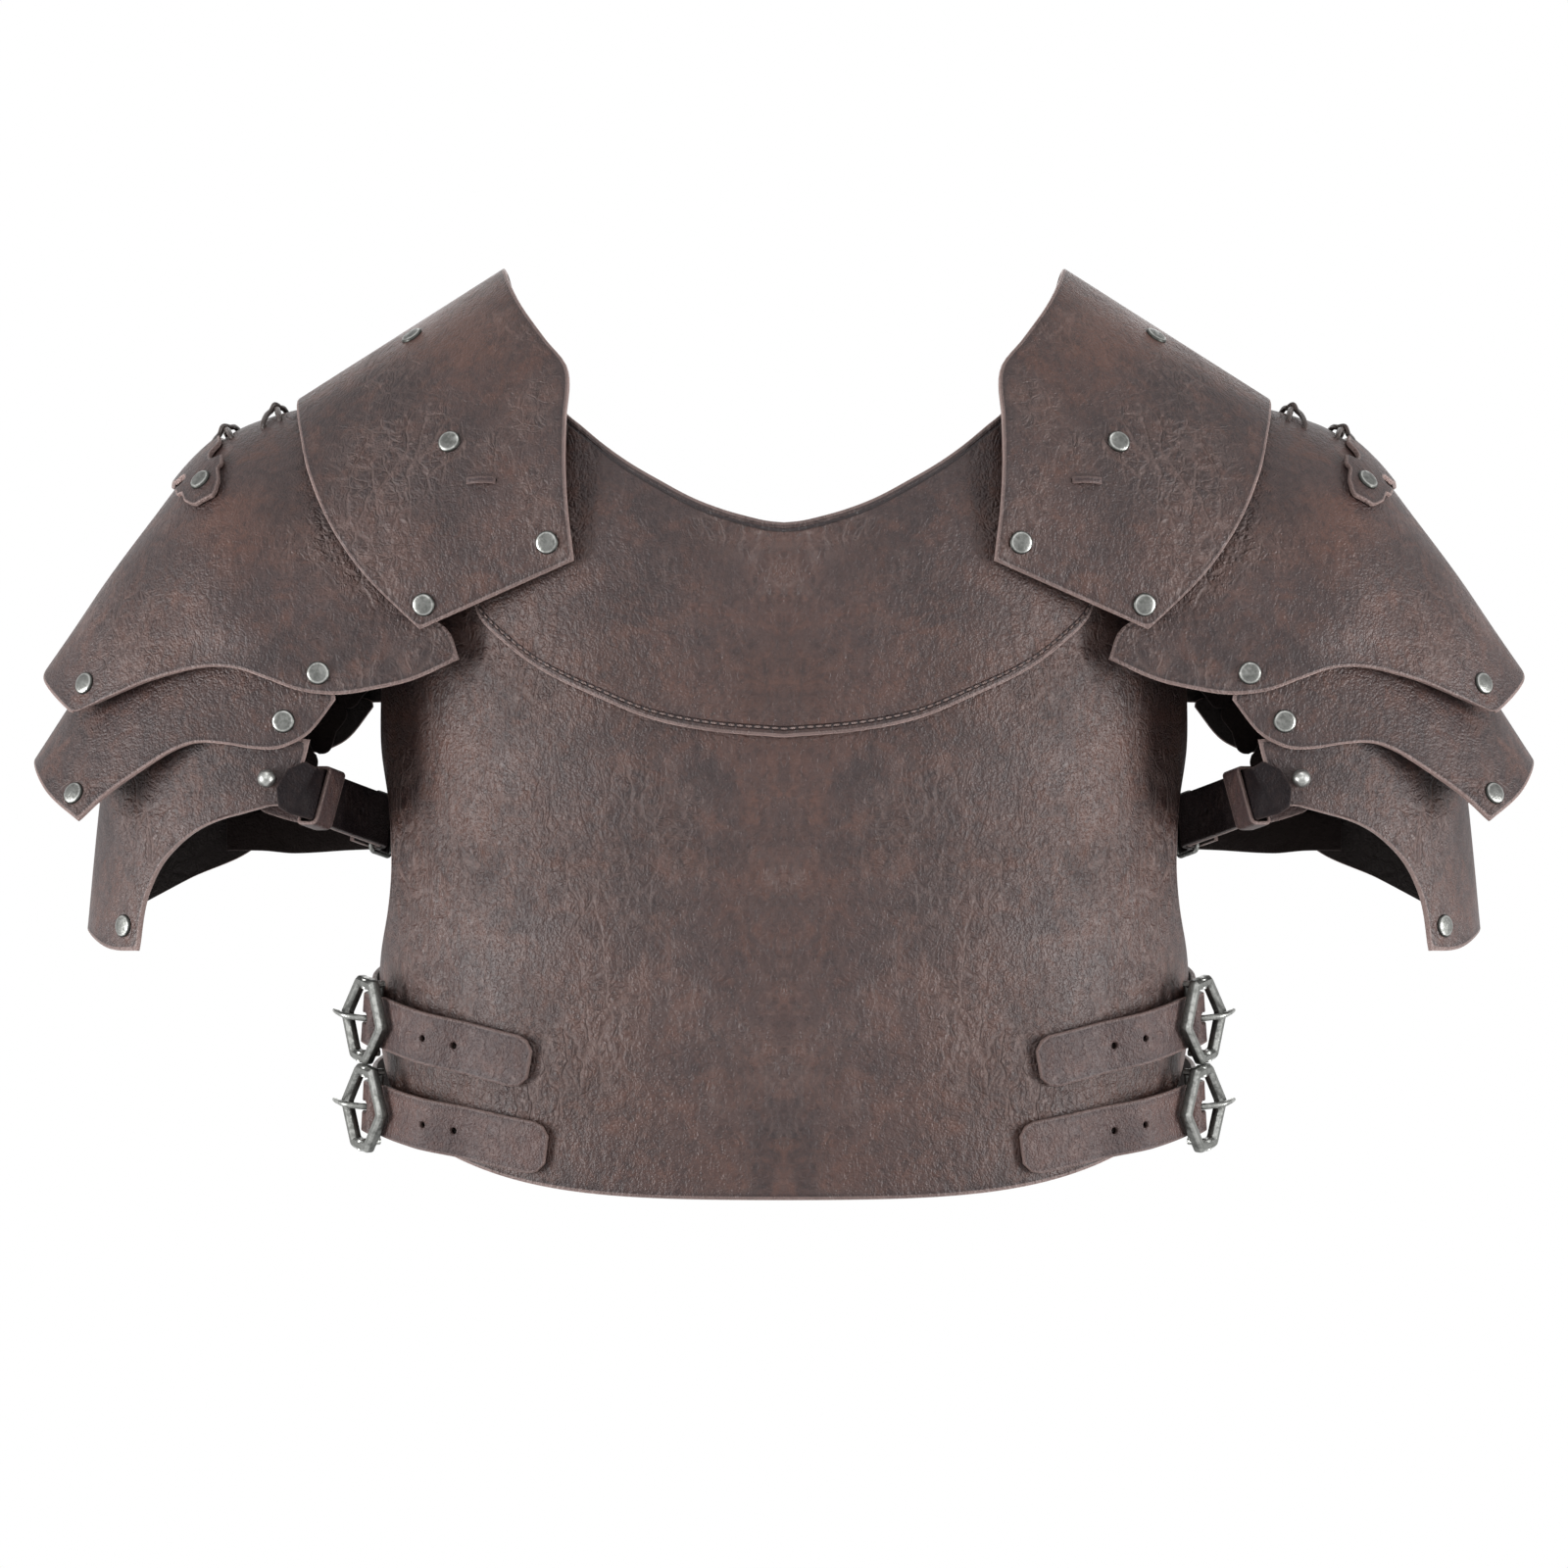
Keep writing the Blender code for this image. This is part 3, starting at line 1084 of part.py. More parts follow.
def make_thong(name, cap, tree):
    """Make the short leather thong that lies on the cap."""
    s, sweep = THONG_SHARES
    middle = cap.point(s, sweep)
    out = cap.normal(s, sweep)
    level = Vector((1.0, 0.0, 0.0))
    run = (level - out * level.dot(out)).normalized()
    side = out.cross(run) * THONG_WIDTH / 2
    stations = []
    for k in (-0.5, 0.0, 0.5):
        place = middle + run * THONG_LENGTH * k
        seats = [tree.ray_cast(place + side * end + out * RAY_REACH, -out)[3] for end in (-1, 0, 1)]
        lift = RAY_REACH - min(seats) + GAP + THONG_THICKNESS
        stations.append((place + out * lift, side, out))
    return ribbon(name, stations, THONG_THICKNESS, leather(name))


def lame_plates():
    """Return the three lames of the left arm, each a leather's thickness and a gap inside the last."""
    step = LEATHER + LAME_GAP
    first = ArchedPlate("lame_1_left", (LAME_1_RIDGE_SHARES, LAME_1_HEM_SHARES, LAME_1_START_SHARES,
                                        LAME_1_END_SHARES), LAME_1_ARCH, ARM_HALF_DEPTH, LAME_1_STEPS)
    second = ArchedPlate("lame_2_left", (LAME_2_RIDGE_SHARES, LAME_2_HEM_SHARES, LAME_2_START_SHARES,
                                         LAME_2_END_SHARES), LAME_2_ARCH, ARM_HALF_DEPTH - step, LAME_2_STEPS)
    third = ArchedPlate("lame_3_left", (LAME_3_RIDGE_SHARES, LAME_3_HEM_SHARES, LAME_3_START_SHARES,
                                        LAME_3_END_SHARES), LAME_3_ARCH, ARM_HALF_DEPTH - 2 * step,
                        LAME_3_STEPS, (LAME_3_RIDGE_SHARES, LAME_3_BACK_HEM_SHARES,
                                       LAME_3_BACK_START_SHARES, LAME_3_BACK_END_SHARES))
    return first, second, third


def hinge_places(cap, lames):
    """Return the front-view places of the hanging rivets and of the hinges midway between them."""
    shares = (LAME_1_FRONT_RIVET_SHARES, LAME_2_FRONT_RIVET_SHARES, LAME_3_STUD_SHARES)
    rivets = [flat(cap.point(*CAP_RIVET_SHARES[3]))]
    rivets += [flat(lame.point(*share)) for lame, share in zip(lames, shares)]
    hinges = [(a + b) / 2 for a, b in zip(rivets, rivets[1:])]
    return rivets, hinges


def set_origin(obj, place):
    """Move an object's origin to a place without moving its shape."""
    obj.data.transform(Matrix.Translation(-place))
    obj.location = place


def build_chest():
    """Make the plates and yokes that both sides share."""
    return {"front_plate": make_plate("front_plate", 1), "front_yoke": make_yoke("front_yoke", 1),
            "back_plate": make_plate("back_plate", -1), "back_yoke": make_yoke("back_yoke", -1)}


def end_stop(hinge, towards):
    """Return where a hanger's rounded end stops, half a gap short of its hinge."""
    return hinge + (towards - hinge).normalized() * GAP * 0.6


def build_hangers(left, cap, lames):
    """Make the hanger straps that carry the lames, front and back: each runs from hinge to hinge."""
    rivets, hinges = hinge_places(cap, lames)
    trees = [tree_of(left[plate.name]) for plate in (cap, *lames)]
    back_rivet = flat(lames[2].point(*LAME_3_BACK_RIVET_SHARES))
    for facing, way in ((1, "front"), (-1, "back")):
        last = rivets[3] if facing > 0 else back_rivet
        stops = ([beyond(rivets[0], hinges[0], HANGER_WIDTH / 2), rivets[0], end_stop(hinges[0], rivets[0])],
                 [end_stop(hinges[0], rivets[1]), rivets[1], end_stop(hinges[1], rivets[1])],
                 [end_stop(hinges[1], rivets[2]), rivets[2], end_stop(hinges[2], rivets[2])],
                 [end_stop(hinges[2], last), last, beyond(last, hinges[2], HANGER_WIDTH / 2)])
        for plate, places, low in zip(("cap", "lame_1", "lame_2", "lame_3"), stops, (0, 1, 2, 3)):
            name = "%s_hanger_%s_left" % (plate, way)
            stations = hanger_stations(places, trees[max(low - 1, 0):low + 2], facing)
            left[name] = ribbon(name, stations, HANGER_LEATHER, dark_leather(name))


def both_ways(shares):
    """Return a rivet's shares on the front half and on the back half of its plate."""
    return shares, (shares[0], -shares[1])


def fasten_plate(plate, shares, layers, owner, domed=False, twins=()):
    """Put a rivet through a plate, at shares of it, and through what lies behind it."""
    fasten(plate.point(*shares), plate.normal(*shares), layers, owner, domed, twins)


def rivet_cap(chest, left, cap):
    """Rivet the cap to both yokes and to its hangers, and set its own three rivets."""
    piece = left[cap.name]
    ridge, middle, neck, arm = CAP_RIVET_SHARES
    for shares, way in zip(both_ways(arm), ("front", "back")):
        hanger = left["cap_hanger_%s_left" % way]
        fasten_plate(cap, shares, [piece, hanger], hanger)
    for shares, yoke in zip(both_ways(neck), (chest["front_yoke"], chest["back_yoke"])):
        way = Vector((0.0, -math.copysign(1.0, shares[1]), 0.0))
        fasten(cap.point(*shares), way, [piece, yoke], piece, twins=[yoke], straight=True)
    for shares in (ridge, *both_ways(middle)):
        fasten_plate(cap, shares, [piece], piece)


def rivet_lames(left, lames):
    """Rivet each lame to its hangers and straps, and the ridge tab to the first lame."""
    fronts = (LAME_1_FRONT_RIVET_SHARES, LAME_2_FRONT_RIVET_SHARES)
    sides = (LAME_1_SIDE_RIVET_SHARES, LAME_2_SIDE_RIVET_SHARES, LAME_3_SIDE_RIVET_SHARES)
    for lame, front in zip(lames, fronts):
        for shares, way in zip(both_ways(front), ("front", "back")):
            hanger = left["%s_hanger_%s_left" % (lame.name.replace("_left", ""), way)]
            fasten_plate(lame, shares, [left[lame.name], hanger], hanger)
    last = lames[2]
    piece = left[last.name]
    hanger = left["lame_3_hanger_front_left"]
    fasten_plate(last, LAME_3_STUD_SHARES, [piece, hanger, left["arm_strap_front_left"]], hanger, True)
    hanger = left["lame_3_hanger_back_left"]
    fasten_plate(last, LAME_3_BACK_RIVET_SHARES, [piece, hanger, left["arm_strap_left"]], hanger)
    tab = left["ridge_tab_left"]
    for shares in both_ways(LAME_1_TAB_RIVET_SHARES):
        fasten_plate(lames[0], shares, [tab, left[lames[0].name]], tab)
    for lame, side in zip(lames, sides):
        for shares in both_ways(side):
            fasten_plate(lame, shares, [left[lame.name]], left[lame.name])


def rivet_side_straps(chest, left):
    """Rivet the side straps to the back plate and the buckles' chapes to the front plate."""
    front = chest["front_plate"]
    back = chest["back_plate"]
    for label, drop in zip(("upper", "lower"), STRAP_DROPS):
        strap = left["side_strap_%s_left" % label]
        chape = left["buckle_chape_%s_left" % label]
        place, out, _, _ = strap_frame(drop, -CHAPE_LENGTH * CHAPE_RIVET_SHARE, 0.0)
        fasten(place, out, [chape, front], chape, twins=[front])
        for share in STRAP_END_RIVET_SHARES:
            place, out, _, _ = strap_frame(drop, STRAP_BACK_ARC * share, 0.0)
            fasten(place, out, [strap, back], strap, twins=[back])


def build_side_straps(left):
    """Make the side straps and their buckles."""
    for label, drop in zip(("upper", "lower"), STRAP_DROPS):
        for kind, make in (("side_strap", make_side_strap), ("buckle_chape", make_chape),
                           ("buckle_frame", make_buckle_frame), ("buckle_tongue", make_tongue)):
            name = "%s_%s_left" % (kind, label)
            left[name] = make(name, drop)


def build_left():
    """Make the left side's own pieces, before riveting."""
    cap = ShoulderCap("shoulder_cap_left")
    lames = lame_plates()
    left = {plate.name: plate.build() for plate in (cap, *lames)}
    left["cap_thong_left"] = make_thong("cap_thong_left", cap, tree_of(left[cap.name]))
    ridge = tree_of(left[lames[0].name])
    for label, share in zip(("upper", "lower"), LACE_PLACE_SHARES):
        name = "ridge_lace_%s_left" % label
        left[name] = make_ridge_lace(name, lames[0], share, ridge)
    left["ridge_tab_left"] = make_ridge_tab("ridge_tab_left", lames[0])
    build_hangers(left, cap, lames)
    behind = ("lame_3_left", "lame_3_hanger_front_left", "lame_3_hanger_back_left")
    trees = [tree_of(left[name]) for name in behind]
    left["arm_strap_left"] = make_arm_strap("arm_strap_left", lames[2], trees)
    left["arm_strap_front_left"] = make_arm_strap_front("arm_strap_front_left", lames[2], trees)
    left["arm_ring_left"] = make_arm_ring("arm_ring_left", lames[2])
    left["arm_keeper_left"] = make_keeper("arm_keeper_left", lames[2])
    build_side_straps(left)
    return left, cap, lames


def place_origins(left, cap, lames):
    """Put each moving piece's origin on its hinge."""
    _, hinges = hinge_places(cap, lames)
    hinges.insert(0, flat(cap.point(*CAP_RIVET_SHARES[2])))
    riders = (("shoulder_cap", "cap_"), ("lame_1", "ridge_lace", "ridge_tab"), ("lame_2",),
              ("lame_3", "arm_"))
    for hinge, starts in zip(hinges, riders):
        for name, piece in left.items():
            if name.startswith(starts):
                set_origin(piece, Vector((hinge.x, 0.0, hinge.y)))


def build_armour():
    """Make the whole armour: the chest, the left side and its mirrored twin."""
    clear_scene()
    left, cap, lames = build_left()
    chest = build_chest()
    rivet_side_straps(chest, left)
    rivet_cap(chest, left, cap)
    rivet_lames(left, lames)
    place_origins(left, cap, lames)
    for name, piece in list(left.items()):
        mirrored(piece, name.replace("_left", "_right"))


build_armour()
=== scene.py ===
"""Leather chest and shoulder armour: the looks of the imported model, in metres, +Z up, wearer facing -Y.

The left side (+X) is laid out from the same outlines as the solids. Each of its pieces is then made again,
mirrored, for the right side.
"""

from __future__ import annotations

import logging
import math
from dataclasses import dataclass, field
from enum import Enum
from typing import Callable, Iterable, Sequence

import bmesh
import bpy
import numpy as np
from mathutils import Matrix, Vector
from mathutils.bvhtree import BVHTree


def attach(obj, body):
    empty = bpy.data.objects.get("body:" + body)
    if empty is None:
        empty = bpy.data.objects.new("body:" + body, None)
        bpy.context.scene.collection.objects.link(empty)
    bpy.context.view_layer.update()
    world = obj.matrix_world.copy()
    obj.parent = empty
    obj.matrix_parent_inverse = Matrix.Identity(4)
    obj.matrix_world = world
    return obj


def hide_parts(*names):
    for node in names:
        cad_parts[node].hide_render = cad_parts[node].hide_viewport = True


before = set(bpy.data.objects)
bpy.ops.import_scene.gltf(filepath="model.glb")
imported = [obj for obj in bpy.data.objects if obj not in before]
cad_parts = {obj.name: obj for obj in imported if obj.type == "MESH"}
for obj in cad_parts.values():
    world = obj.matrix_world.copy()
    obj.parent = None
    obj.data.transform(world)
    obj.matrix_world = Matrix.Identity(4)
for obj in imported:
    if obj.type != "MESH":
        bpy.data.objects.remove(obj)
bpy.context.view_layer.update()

log = logging.getLogger("armour")
Array = np.ndarray
Pair = tuple[float, float]
Triple = tuple[float, float, float]
Colour = Triple
Rows = tuple[tuple[float, ...], ...]
Spot = tuple[Array, Array]
Faces = list[list[int]]
Mesh = tuple[Array, Faces]
Piece = bpy.types.Object
Material = bpy.types.Material

LEATHER = 0.003
STRAP_LEATHER = 0.0026
GAP = 0.0004
YOKE_GAP = 0.0014
LAME_GAP = 0.001
ARM_DEPTH = 0.094
EDGE_ROUND = 0.0009
HOLE_REACH = 0.0045
QUARTER = math.pi / 2
UP = np.array([0.0, 0.0, 1.0])
FORWARD = np.array([0.0, -1.0, 0.0])
WHITE = (1.0, 1.0, 1.0, 1.0)


class Side(Enum):
    """The wearer's left and right."""

    LEFT = 1.0
    RIGHT = -1.0

    @property
    def tag(self) -> str:
        """Return the ending of this side's names."""
        return "_left" if self is Side.LEFT else "_right"

    def turn(self, points: Array) -> Array:
        """Return points of the left side as they lie on this side."""
        return points * np.array([self.value, 1.0, 1.0])


@dataclass(frozen=True)
class Curve:
    """A smooth curve through given rows; the first number of each row is the share along it."""

    rows: Rows

    def at(self, share: Array) -> Array:
        """Read the curve.

        Args:
            share: shares along the curve, of any shape.

        Returns:
            The values there, with one more axis than share.
        """
        table = np.array(self.rows, float)
        keys, values = table[:, 0], table[:, 1:]
        t = np.clip(np.asarray(share, float), keys[0], keys[-1])
        spot = np.clip(np.searchsorted(keys, t, side="left") - 1, 0, len(keys) - 2)
        low = np.maximum(np.arange(len(keys)) - 1, 0)
        high = np.minimum(np.arange(len(keys)) + 1, len(keys) - 1)
        slopes = (values[high] - values[low]) / (keys[high] - keys[low])[:, None]
        span = (keys[spot + 1] - keys[spot])[..., None]
        f = (t - keys[spot])[..., None] / span
        return (values[spot] * (1 + 2 * f) * (1 - f) ** 2 + slopes[spot] * span * f * (1 - f) ** 2
                + values[spot + 1] * f * f * (3 - 2 * f) + slopes[spot + 1] * span * f * f * (f - 1))


Outline = tuple[Curve, Curve, Curve, Curve]

# ---- shader maths


def operator(operation: str, flip: bool = False) -> Callable[["Sock", "Sock | float"], "Sock"]:
    """Return a method that adds a Math node; flip puts the other operand first."""

    def method(own: "Sock", other: "Sock | float") -> "Sock":
        """Return the node's value."""
        return own.graph.math(operation, *((other, own) if flip else (own, other)))

    return method


class Sock:
    """A socket that takes part in sums: each operator adds the Math node for it."""

    def __init__(self, graph: "Tree", socket: bpy.types.NodeSocket) -> None:
        """Keep the socket and the tree it belongs to."""
        self.graph = graph
        self.socket = socket

    __add__ = __radd__ = operator("ADD")
    __sub__ = operator("SUBTRACT")
    __rsub__ = operator("SUBTRACT", flip=True)
    __mul__ = __rmul__ = operator("MULTIPLY")
    __pow__ = operator("POWER")

    def math(self, operation: str, *others: "Sock | float") -> "Sock":
        """Return the value of a Math node whose first operand is this socket."""
        return self.graph.math(operation, self, *others)

    def ramp(self, low: float, high: float) -> "Sock":
        """Return 0 below low, 1 above high and a smooth rise between; low may be the larger."""
        return self.graph.node("ShaderNodeMapRange", {"interpolation_type": "SMOOTHSTEP"},
                               {0: self, 1: low, 2: high, 3: 0.0, 4: 1.0})


class Tree:
    """A node tree and the way its nodes are made."""

    def __init__(self, tree: bpy.types.NodeTree) -> None:
        """Keep the tree."""
        self.tree = tree

    def node(self, kind: str, settings: dict | None = None, inputs: dict | None = None,
             output: int | str = 0) -> Sock:
        """Add a node.

        Args:
            kind: the node's type.
            settings: its settings, set before its inputs.
            inputs: values or links for its sockets, by index or name.
            output: which of its outputs to return.

        Returns:
            The asked-for output.
        """
        made = self.tree.nodes.new(kind)
        for name, value in (settings or {}).items():
            setattr(made, name, value)
        for key, value in (inputs or {}).items():
            if isinstance(value, Sock):
                self.tree.links.new(value.socket, made.inputs[key])
            else:
                made.inputs[key].default_value = value
        return Sock(self, made.outputs[output])

    def math(self, operation: str, *values: Sock | float) -> Sock:
        """Return a Math node's value."""
        return self.node("ShaderNodeMath", {"operation": operation}, dict(enumerate(values)))

    def vector(self, operation: str, inputs: dict, output: int | str = 0) -> Sock:
        """Return a Vector Math node's value."""
        return self.node("ShaderNodeVectorMath", {"operation": operation}, inputs, output)

    def apart(self, place: Sock) -> list[Sock]:
        """Return a vector's three numbers."""
        return [self.node("ShaderNodeSeparateXYZ", None, {0: place}, k) for k in range(3)]

    def vector_of(self, *parts: Sock) -> Sock:
        """Return the vector of three numbers."""
        return self.node("ShaderNodeCombineXYZ", None, dict(enumerate(parts)))

    def end_on_mix(self, output: str, share: Sock, first: Sock, second: Sock) -> None:
        """End the tree on a mix of two shaders."""
        mixed = self.node("ShaderNodeMixShader", None, {0: share, 1: first, 2: second})
        self.tree.links.new(mixed.socket, self.tree.nodes[output].inputs[0])


class Graph(Tree):
    """The nodes of one material."""

    def __init__(self, name: str) -> None:
        """Start a material that holds only a Principled shader and its output."""
        self.material = bpy.data.materials.new(name)
        self.material.use_nodes = True
        super().__init__(self.material.node_tree)
        self.shader = self.tree.nodes["Principled BSDF"]

    def mix(self, share: Sock | float, first: Sock | Colour, second: Sock | Colour) -> Sock:
        """Return a colour between two others."""
        pair = [value if isinstance(value, Sock) else (*value, 1.0) for value in (first, second)]
        return self.node("ShaderNodeMix", {"data_type": "RGBA"}, {0: share, 6: pair[0], 7: pair[1]}, 2)

    def noise(self, place: Sock, scale: float, detail: float = 2.0, rough: float = 0.5,
              distortion: float = 0.0) -> Sock:
        """Return a noise's value at a place."""
        return self.node("ShaderNodeTexNoise", None, {
            "Vector": place, "Scale": scale, "Detail": detail, "Roughness": rough,
            "Distortion": distortion})

    def cells(self, place: Sock, scale: float, feature: str = "F1") -> Sock:
        """Return a Voronoi pattern's distance at a place."""
        return self.node("ShaderNodeTexVoronoi", {"feature": feature}, {"Vector": place, "Scale": scale},
                         "Distance")

    def attribute(self, name: str) -> Sock:
        """Return a number kept on the mesh."""
        return self.node("ShaderNodeAttribute", {"attribute_name": name}, None, "Fac")

    def object_place(self) -> Sock:
        """Return the object's own place."""
        return self.node("ShaderNodeTexCoord", None, None, "Object")

    def mirrored_place(self) -> Sock:
        """Return the object's own place with x the same on both sides, so both sides share one pattern."""
        x, y, z = self.apart(self.object_place())
        return self.vector_of(x.math("ABSOLUTE"), y, z)

    def moved(self, place: Sock, amount: float, scale: float, detail: float) -> Sock:
        """Return a place pushed about by a colour noise of some scale and detail."""
        swirl = self.node("ShaderNodeTexNoise", None, {"Vector": place, "Scale": scale, "Detail": detail}, 1)
        push = self.vector("SUBTRACT", {0: swirl, 1: (0.5, 0.5, 0.5)})
        return self.vector("ADD", {0: place, 1: self.vector("SCALE", {0: push, "Scale": amount})})

    def turned(self, place: Sock, angles: Triple, scale: Triple) -> Sock:
        """Return a place turned and stretched."""
        return self.node("ShaderNodeMapping", None, {"Vector": place, "Rotation": angles, "Scale": scale})

    def bumped(self, height: Sock) -> Sock:
        """Return a normal raised by a height in metres."""
        return self.node("ShaderNodeBump", None, {"Strength": 1.0, "Distance": 1.0, "Height": height})

    def finish(self, **inputs: Sock | float | Colour) -> Material:
        """Feed the shader and return the material; an underscore stands for a space."""
        for name, value in inputs.items():
            socket = self.shader.inputs[name.replace("_", " ")]
            if isinstance(value, Sock):
                self.tree.links.new(value.socket, socket)
            else:
                socket.default_value = (*value, 1.0) if isinstance(value, tuple) else value
        return self.material


@dataclass(frozen=True)
class Band:
    """A noise, and the two of its values between which a pattern fades in."""

    scale: float
    detail: float
    rough: float
    low: float
    high: float
    distortion: float = 0.0

    def at(self, g: Graph, place: Sock) -> Sock:
        """Return the pattern at a place, from 0 to 1."""
        return g.noise(place, self.scale, self.detail, self.rough, self.distortion).ramp(self.low, self.high)


@dataclass(frozen=True)
class LeatherFinish:
    """Burnished, waxed leather with reddish patches, creases, pale cut edges and a dark flesh side, with
    painted shade at its edges and in its wrinkles' hollows, and a paler colour that is partly wear, partly
    painted highlight.
    """

    name: str
    base: Colour = (0.043, 0.0255, 0.0245)
    deep: Colour = (0.014, 0.008, 0.009)
    red: Colour = (0.105, 0.046, 0.032)
    # paler colour: partly wear, partly painted highlight on the wrinkles' crests and along the creases
    worn: Colour = (0.15, 0.105, 0.095)
    cut_edge: Colour = (0.33, 0.235, 0.215)
    flesh: Colour = (0.018, 0.013, 0.012)
    roughness: float = 0.43
    gloss: float = 0.4
    creases: float = 1.15
    piping: float = 0.55
    groove: float = 0.0
    groove_depth: float = 0.0006
    grain_size: float = 0.0013
    crease_size: float = 0.0105
    grain_height: float = 0.0002
    crease_height: float = 0.00075
    wave_height: float = 0.0016
    fold_height: float = 0.00036
    patches: Band = Band(8.5, 4.0, 0.55, 0.42, 0.66)
    clouds: Band = Band(21.0, 5.0, 0.6, 0.38, 0.7)
    specks: Band = Band(240.0, 3.0, 0.7, 0.45, 0.75)
    mottle: Band = Band(62.0, 6.0, 0.7, 0.46, 0.68, 0.6)
    creased: Band = Band(13.0, 3.0, 0.5, 0.44, 0.64)
    sparse: Band = Band(29.0, 2.0, 0.5, 0.4, 0.66)
    crosswise: Band = Band(17.0, 2.0, 0.5, 0.44, 0.58)
    soft: Band = Band(420.0, 3.0, 0.6, 0.35, 0.65)

    def folds(self, g: Graph, place: Sock) -> Sock:
        """Draw the soft wrinkles that run one way here and another way there.

        Args:
            g: the material's graph.
            place: where the pattern is read.

        Returns:
            The wrinkles, from 0 in their hollows to 1 on their crests.
        """
        bent = g.moved(place, 0.02, 34.0, 3.0)
        down, across = (
            g.cells(g.turned(bent, angles, (1.0, 1.0, stretch)), scale, "SMOOTH_F1")
            for angles, stretch, scale in (((0.0, math.radians(48), 0.0), 0.42, 260.0),
                                           ((0.2, math.radians(-40), 0.0), 0.38, 230.0)))
        choice = self.crosswise.at(g, place)
        wrinkles = (down * (1.0 - choice) + across * choice).ramp(0.7, 0.1)
        return wrinkles * 0.6 + self.soft.at(g, bent) * 0.4

    def crease_lines(self, g: Graph, place: Sock) -> tuple[Sock, Sock]:
        """Draw the network of fine creases.

        Args:
            g: the material's graph.
            place: where the pattern is read.

        Returns:
            How deep the creases are, and how creased the leather is round about.
        """
        bent = g.moved(place, 0.014, 60.0, 5.0)
        long = g.turned(bent, (0.0, math.radians(52), 0.0), (1.0, 1.0, 0.36))
        cross = g.turned(bent, (0.3, math.radians(-28), 0.0), (0.48, 1.0, 1.0))
        wide, fine, hair = (
            g.cells(way, count / self.crease_size, "DISTANCE_TO_EDGE").ramp(width, 0.0)
            for way, count, width in ((long, 1.0, 0.12), (cross, 1.9, 0.17), (long, 3.6, 0.24)))
        where, sparse = self.creased.at(g, place), self.sparse.at(g, place)
        lines = (wide * where * 0.9).math("MAXIMUM", fine * sparse * (where * 0.6 + 0.25))
        return lines.math("MAXIMUM", hair * 0.4 * (where * 0.6 + 0.4)) * self.creases, where

    def build(self) -> Material:
        """Make the material."""
        g = Graph(self.name)
        place = g.mirrored_place()
        lines, where = self.crease_lines(g, place)
        folds = self.folds(g, place)
        patches, clouds, specks, mottle = (
            band.at(g, place) for band in (self.patches, self.clouds, self.specks, self.mottle))
        grain = g.cells(g.moved(place, 0.002, 300.0, 2.0), 1 / self.grain_size)
        pores = g.noise(place, 1500.0)
        waves = (g.noise(place, 16.0) + g.noise(place, 55.0, 3.0, 0.6) * 0.45) * where.math("MAXIMUM", 0.5)
        edge, rim, flesh = (g.attribute(name) for name in ("edge", "rim", "flesh"))
        inside = flesh.ramp(0.3, 0.7)
        bare = (edge.ramp(0.0015, 0.0006) * self.piping).math("MAXIMUM", rim.ramp(0.25, 0.75))
        coats = [(patches * 0.55, self.red), (clouds * 0.7, self.deep), (mottle * 0.5, self.red),
                 # painted shade: the hollows of the soft wrinkles darken towards the deep colour
                 (specks * (0.2 + 0.35 * patches), self.red), (folds.ramp(0.45, 0.12) * 0.42, self.deep),
                 # the paler colour on the wrinkles' crests and along the creases is partly wear, partly
                 # painted highlight
                 (folds.ramp(0.6, 0.92) * (0.1 + 0.34 * where), self.worn), (lines * 0.4, self.worn),
                 # painted shadow: the leather darkens towards the deep colour within 5 mm of each sheet's
                 # edge
                 (edge.ramp(0.005, 0.0005) * 0.55, self.deep),
                 (bare * (0.6 + 0.4 * clouds), self.cut_edge)]
        height = (grain.ramp(0.0, 0.75) * self.grain_height + pores * self.grain_height * 0.5
                  - lines * self.crease_height + folds * self.fold_height + waves * self.wave_height)
        if self.groove:
            above, below = (edge.ramp(self.groove + way * 0.0013, self.groove + way * 0.0005)
                            for way in (-1, 1))
            pressed = above * below * (1.0 - rim)
            coats.append((pressed * 0.95, self.deep))
            height = height - pressed * self.groove_depth
        colour: Sock | Colour = self.base
        for share, coat in (*coats, (inside, self.flesh)):
            colour = g.mix(share, colour, coat)
        rough = self.roughness + clouds * 0.1 + lines * 0.12 - patches * 0.04 + inside * 0.35
        return g.finish(Base_Color=colour, Roughness=rough, Normal=g.bumped(height),
                        Specular_IOR_Level=self.gloss)


@dataclass(frozen=True)
class PewterFinish:
    """Aged grey metal, bright where it is worn and dark in its hollows; on rivet heads the brightness is a
    painted highlight ring and painted shadow at the edge.
    """

    name: str = "pewter"
    bright: Colour = (0.46, 0.465, 0.445)
    dull: Colour = (0.045, 0.046, 0.042)
    roughness: float = 0.33
    pit_height: float = 0.00012
    tarnish: Band = Band(330.0, 4.0, 0.65, 0.36, 0.66)

    def build(self) -> Material:
        """Make the material."""
        g = Graph(self.name)
        place = g.object_place()
        tarnish = self.tarnish.at(g, place)
        # brightness kept on the vertices: wear, and on rivet heads painted highlight and painted shadow
        shine = (g.attribute("wear") * 0.95 + 0.05) * (1.0 - tarnish * 0.55)
        height = g.noise(place, 420.0, 3.0) + g.cells(place, 900.0).ramp(0.05, 0.5) * 0.4
        return g.finish(Base_Color=g.mix(shine.math("MINIMUM", 1.0), self.dull, self.bright), Metallic=1.0,
                        Roughness=self.roughness + tarnish * 0.22, Normal=g.bumped(height * self.pit_height))


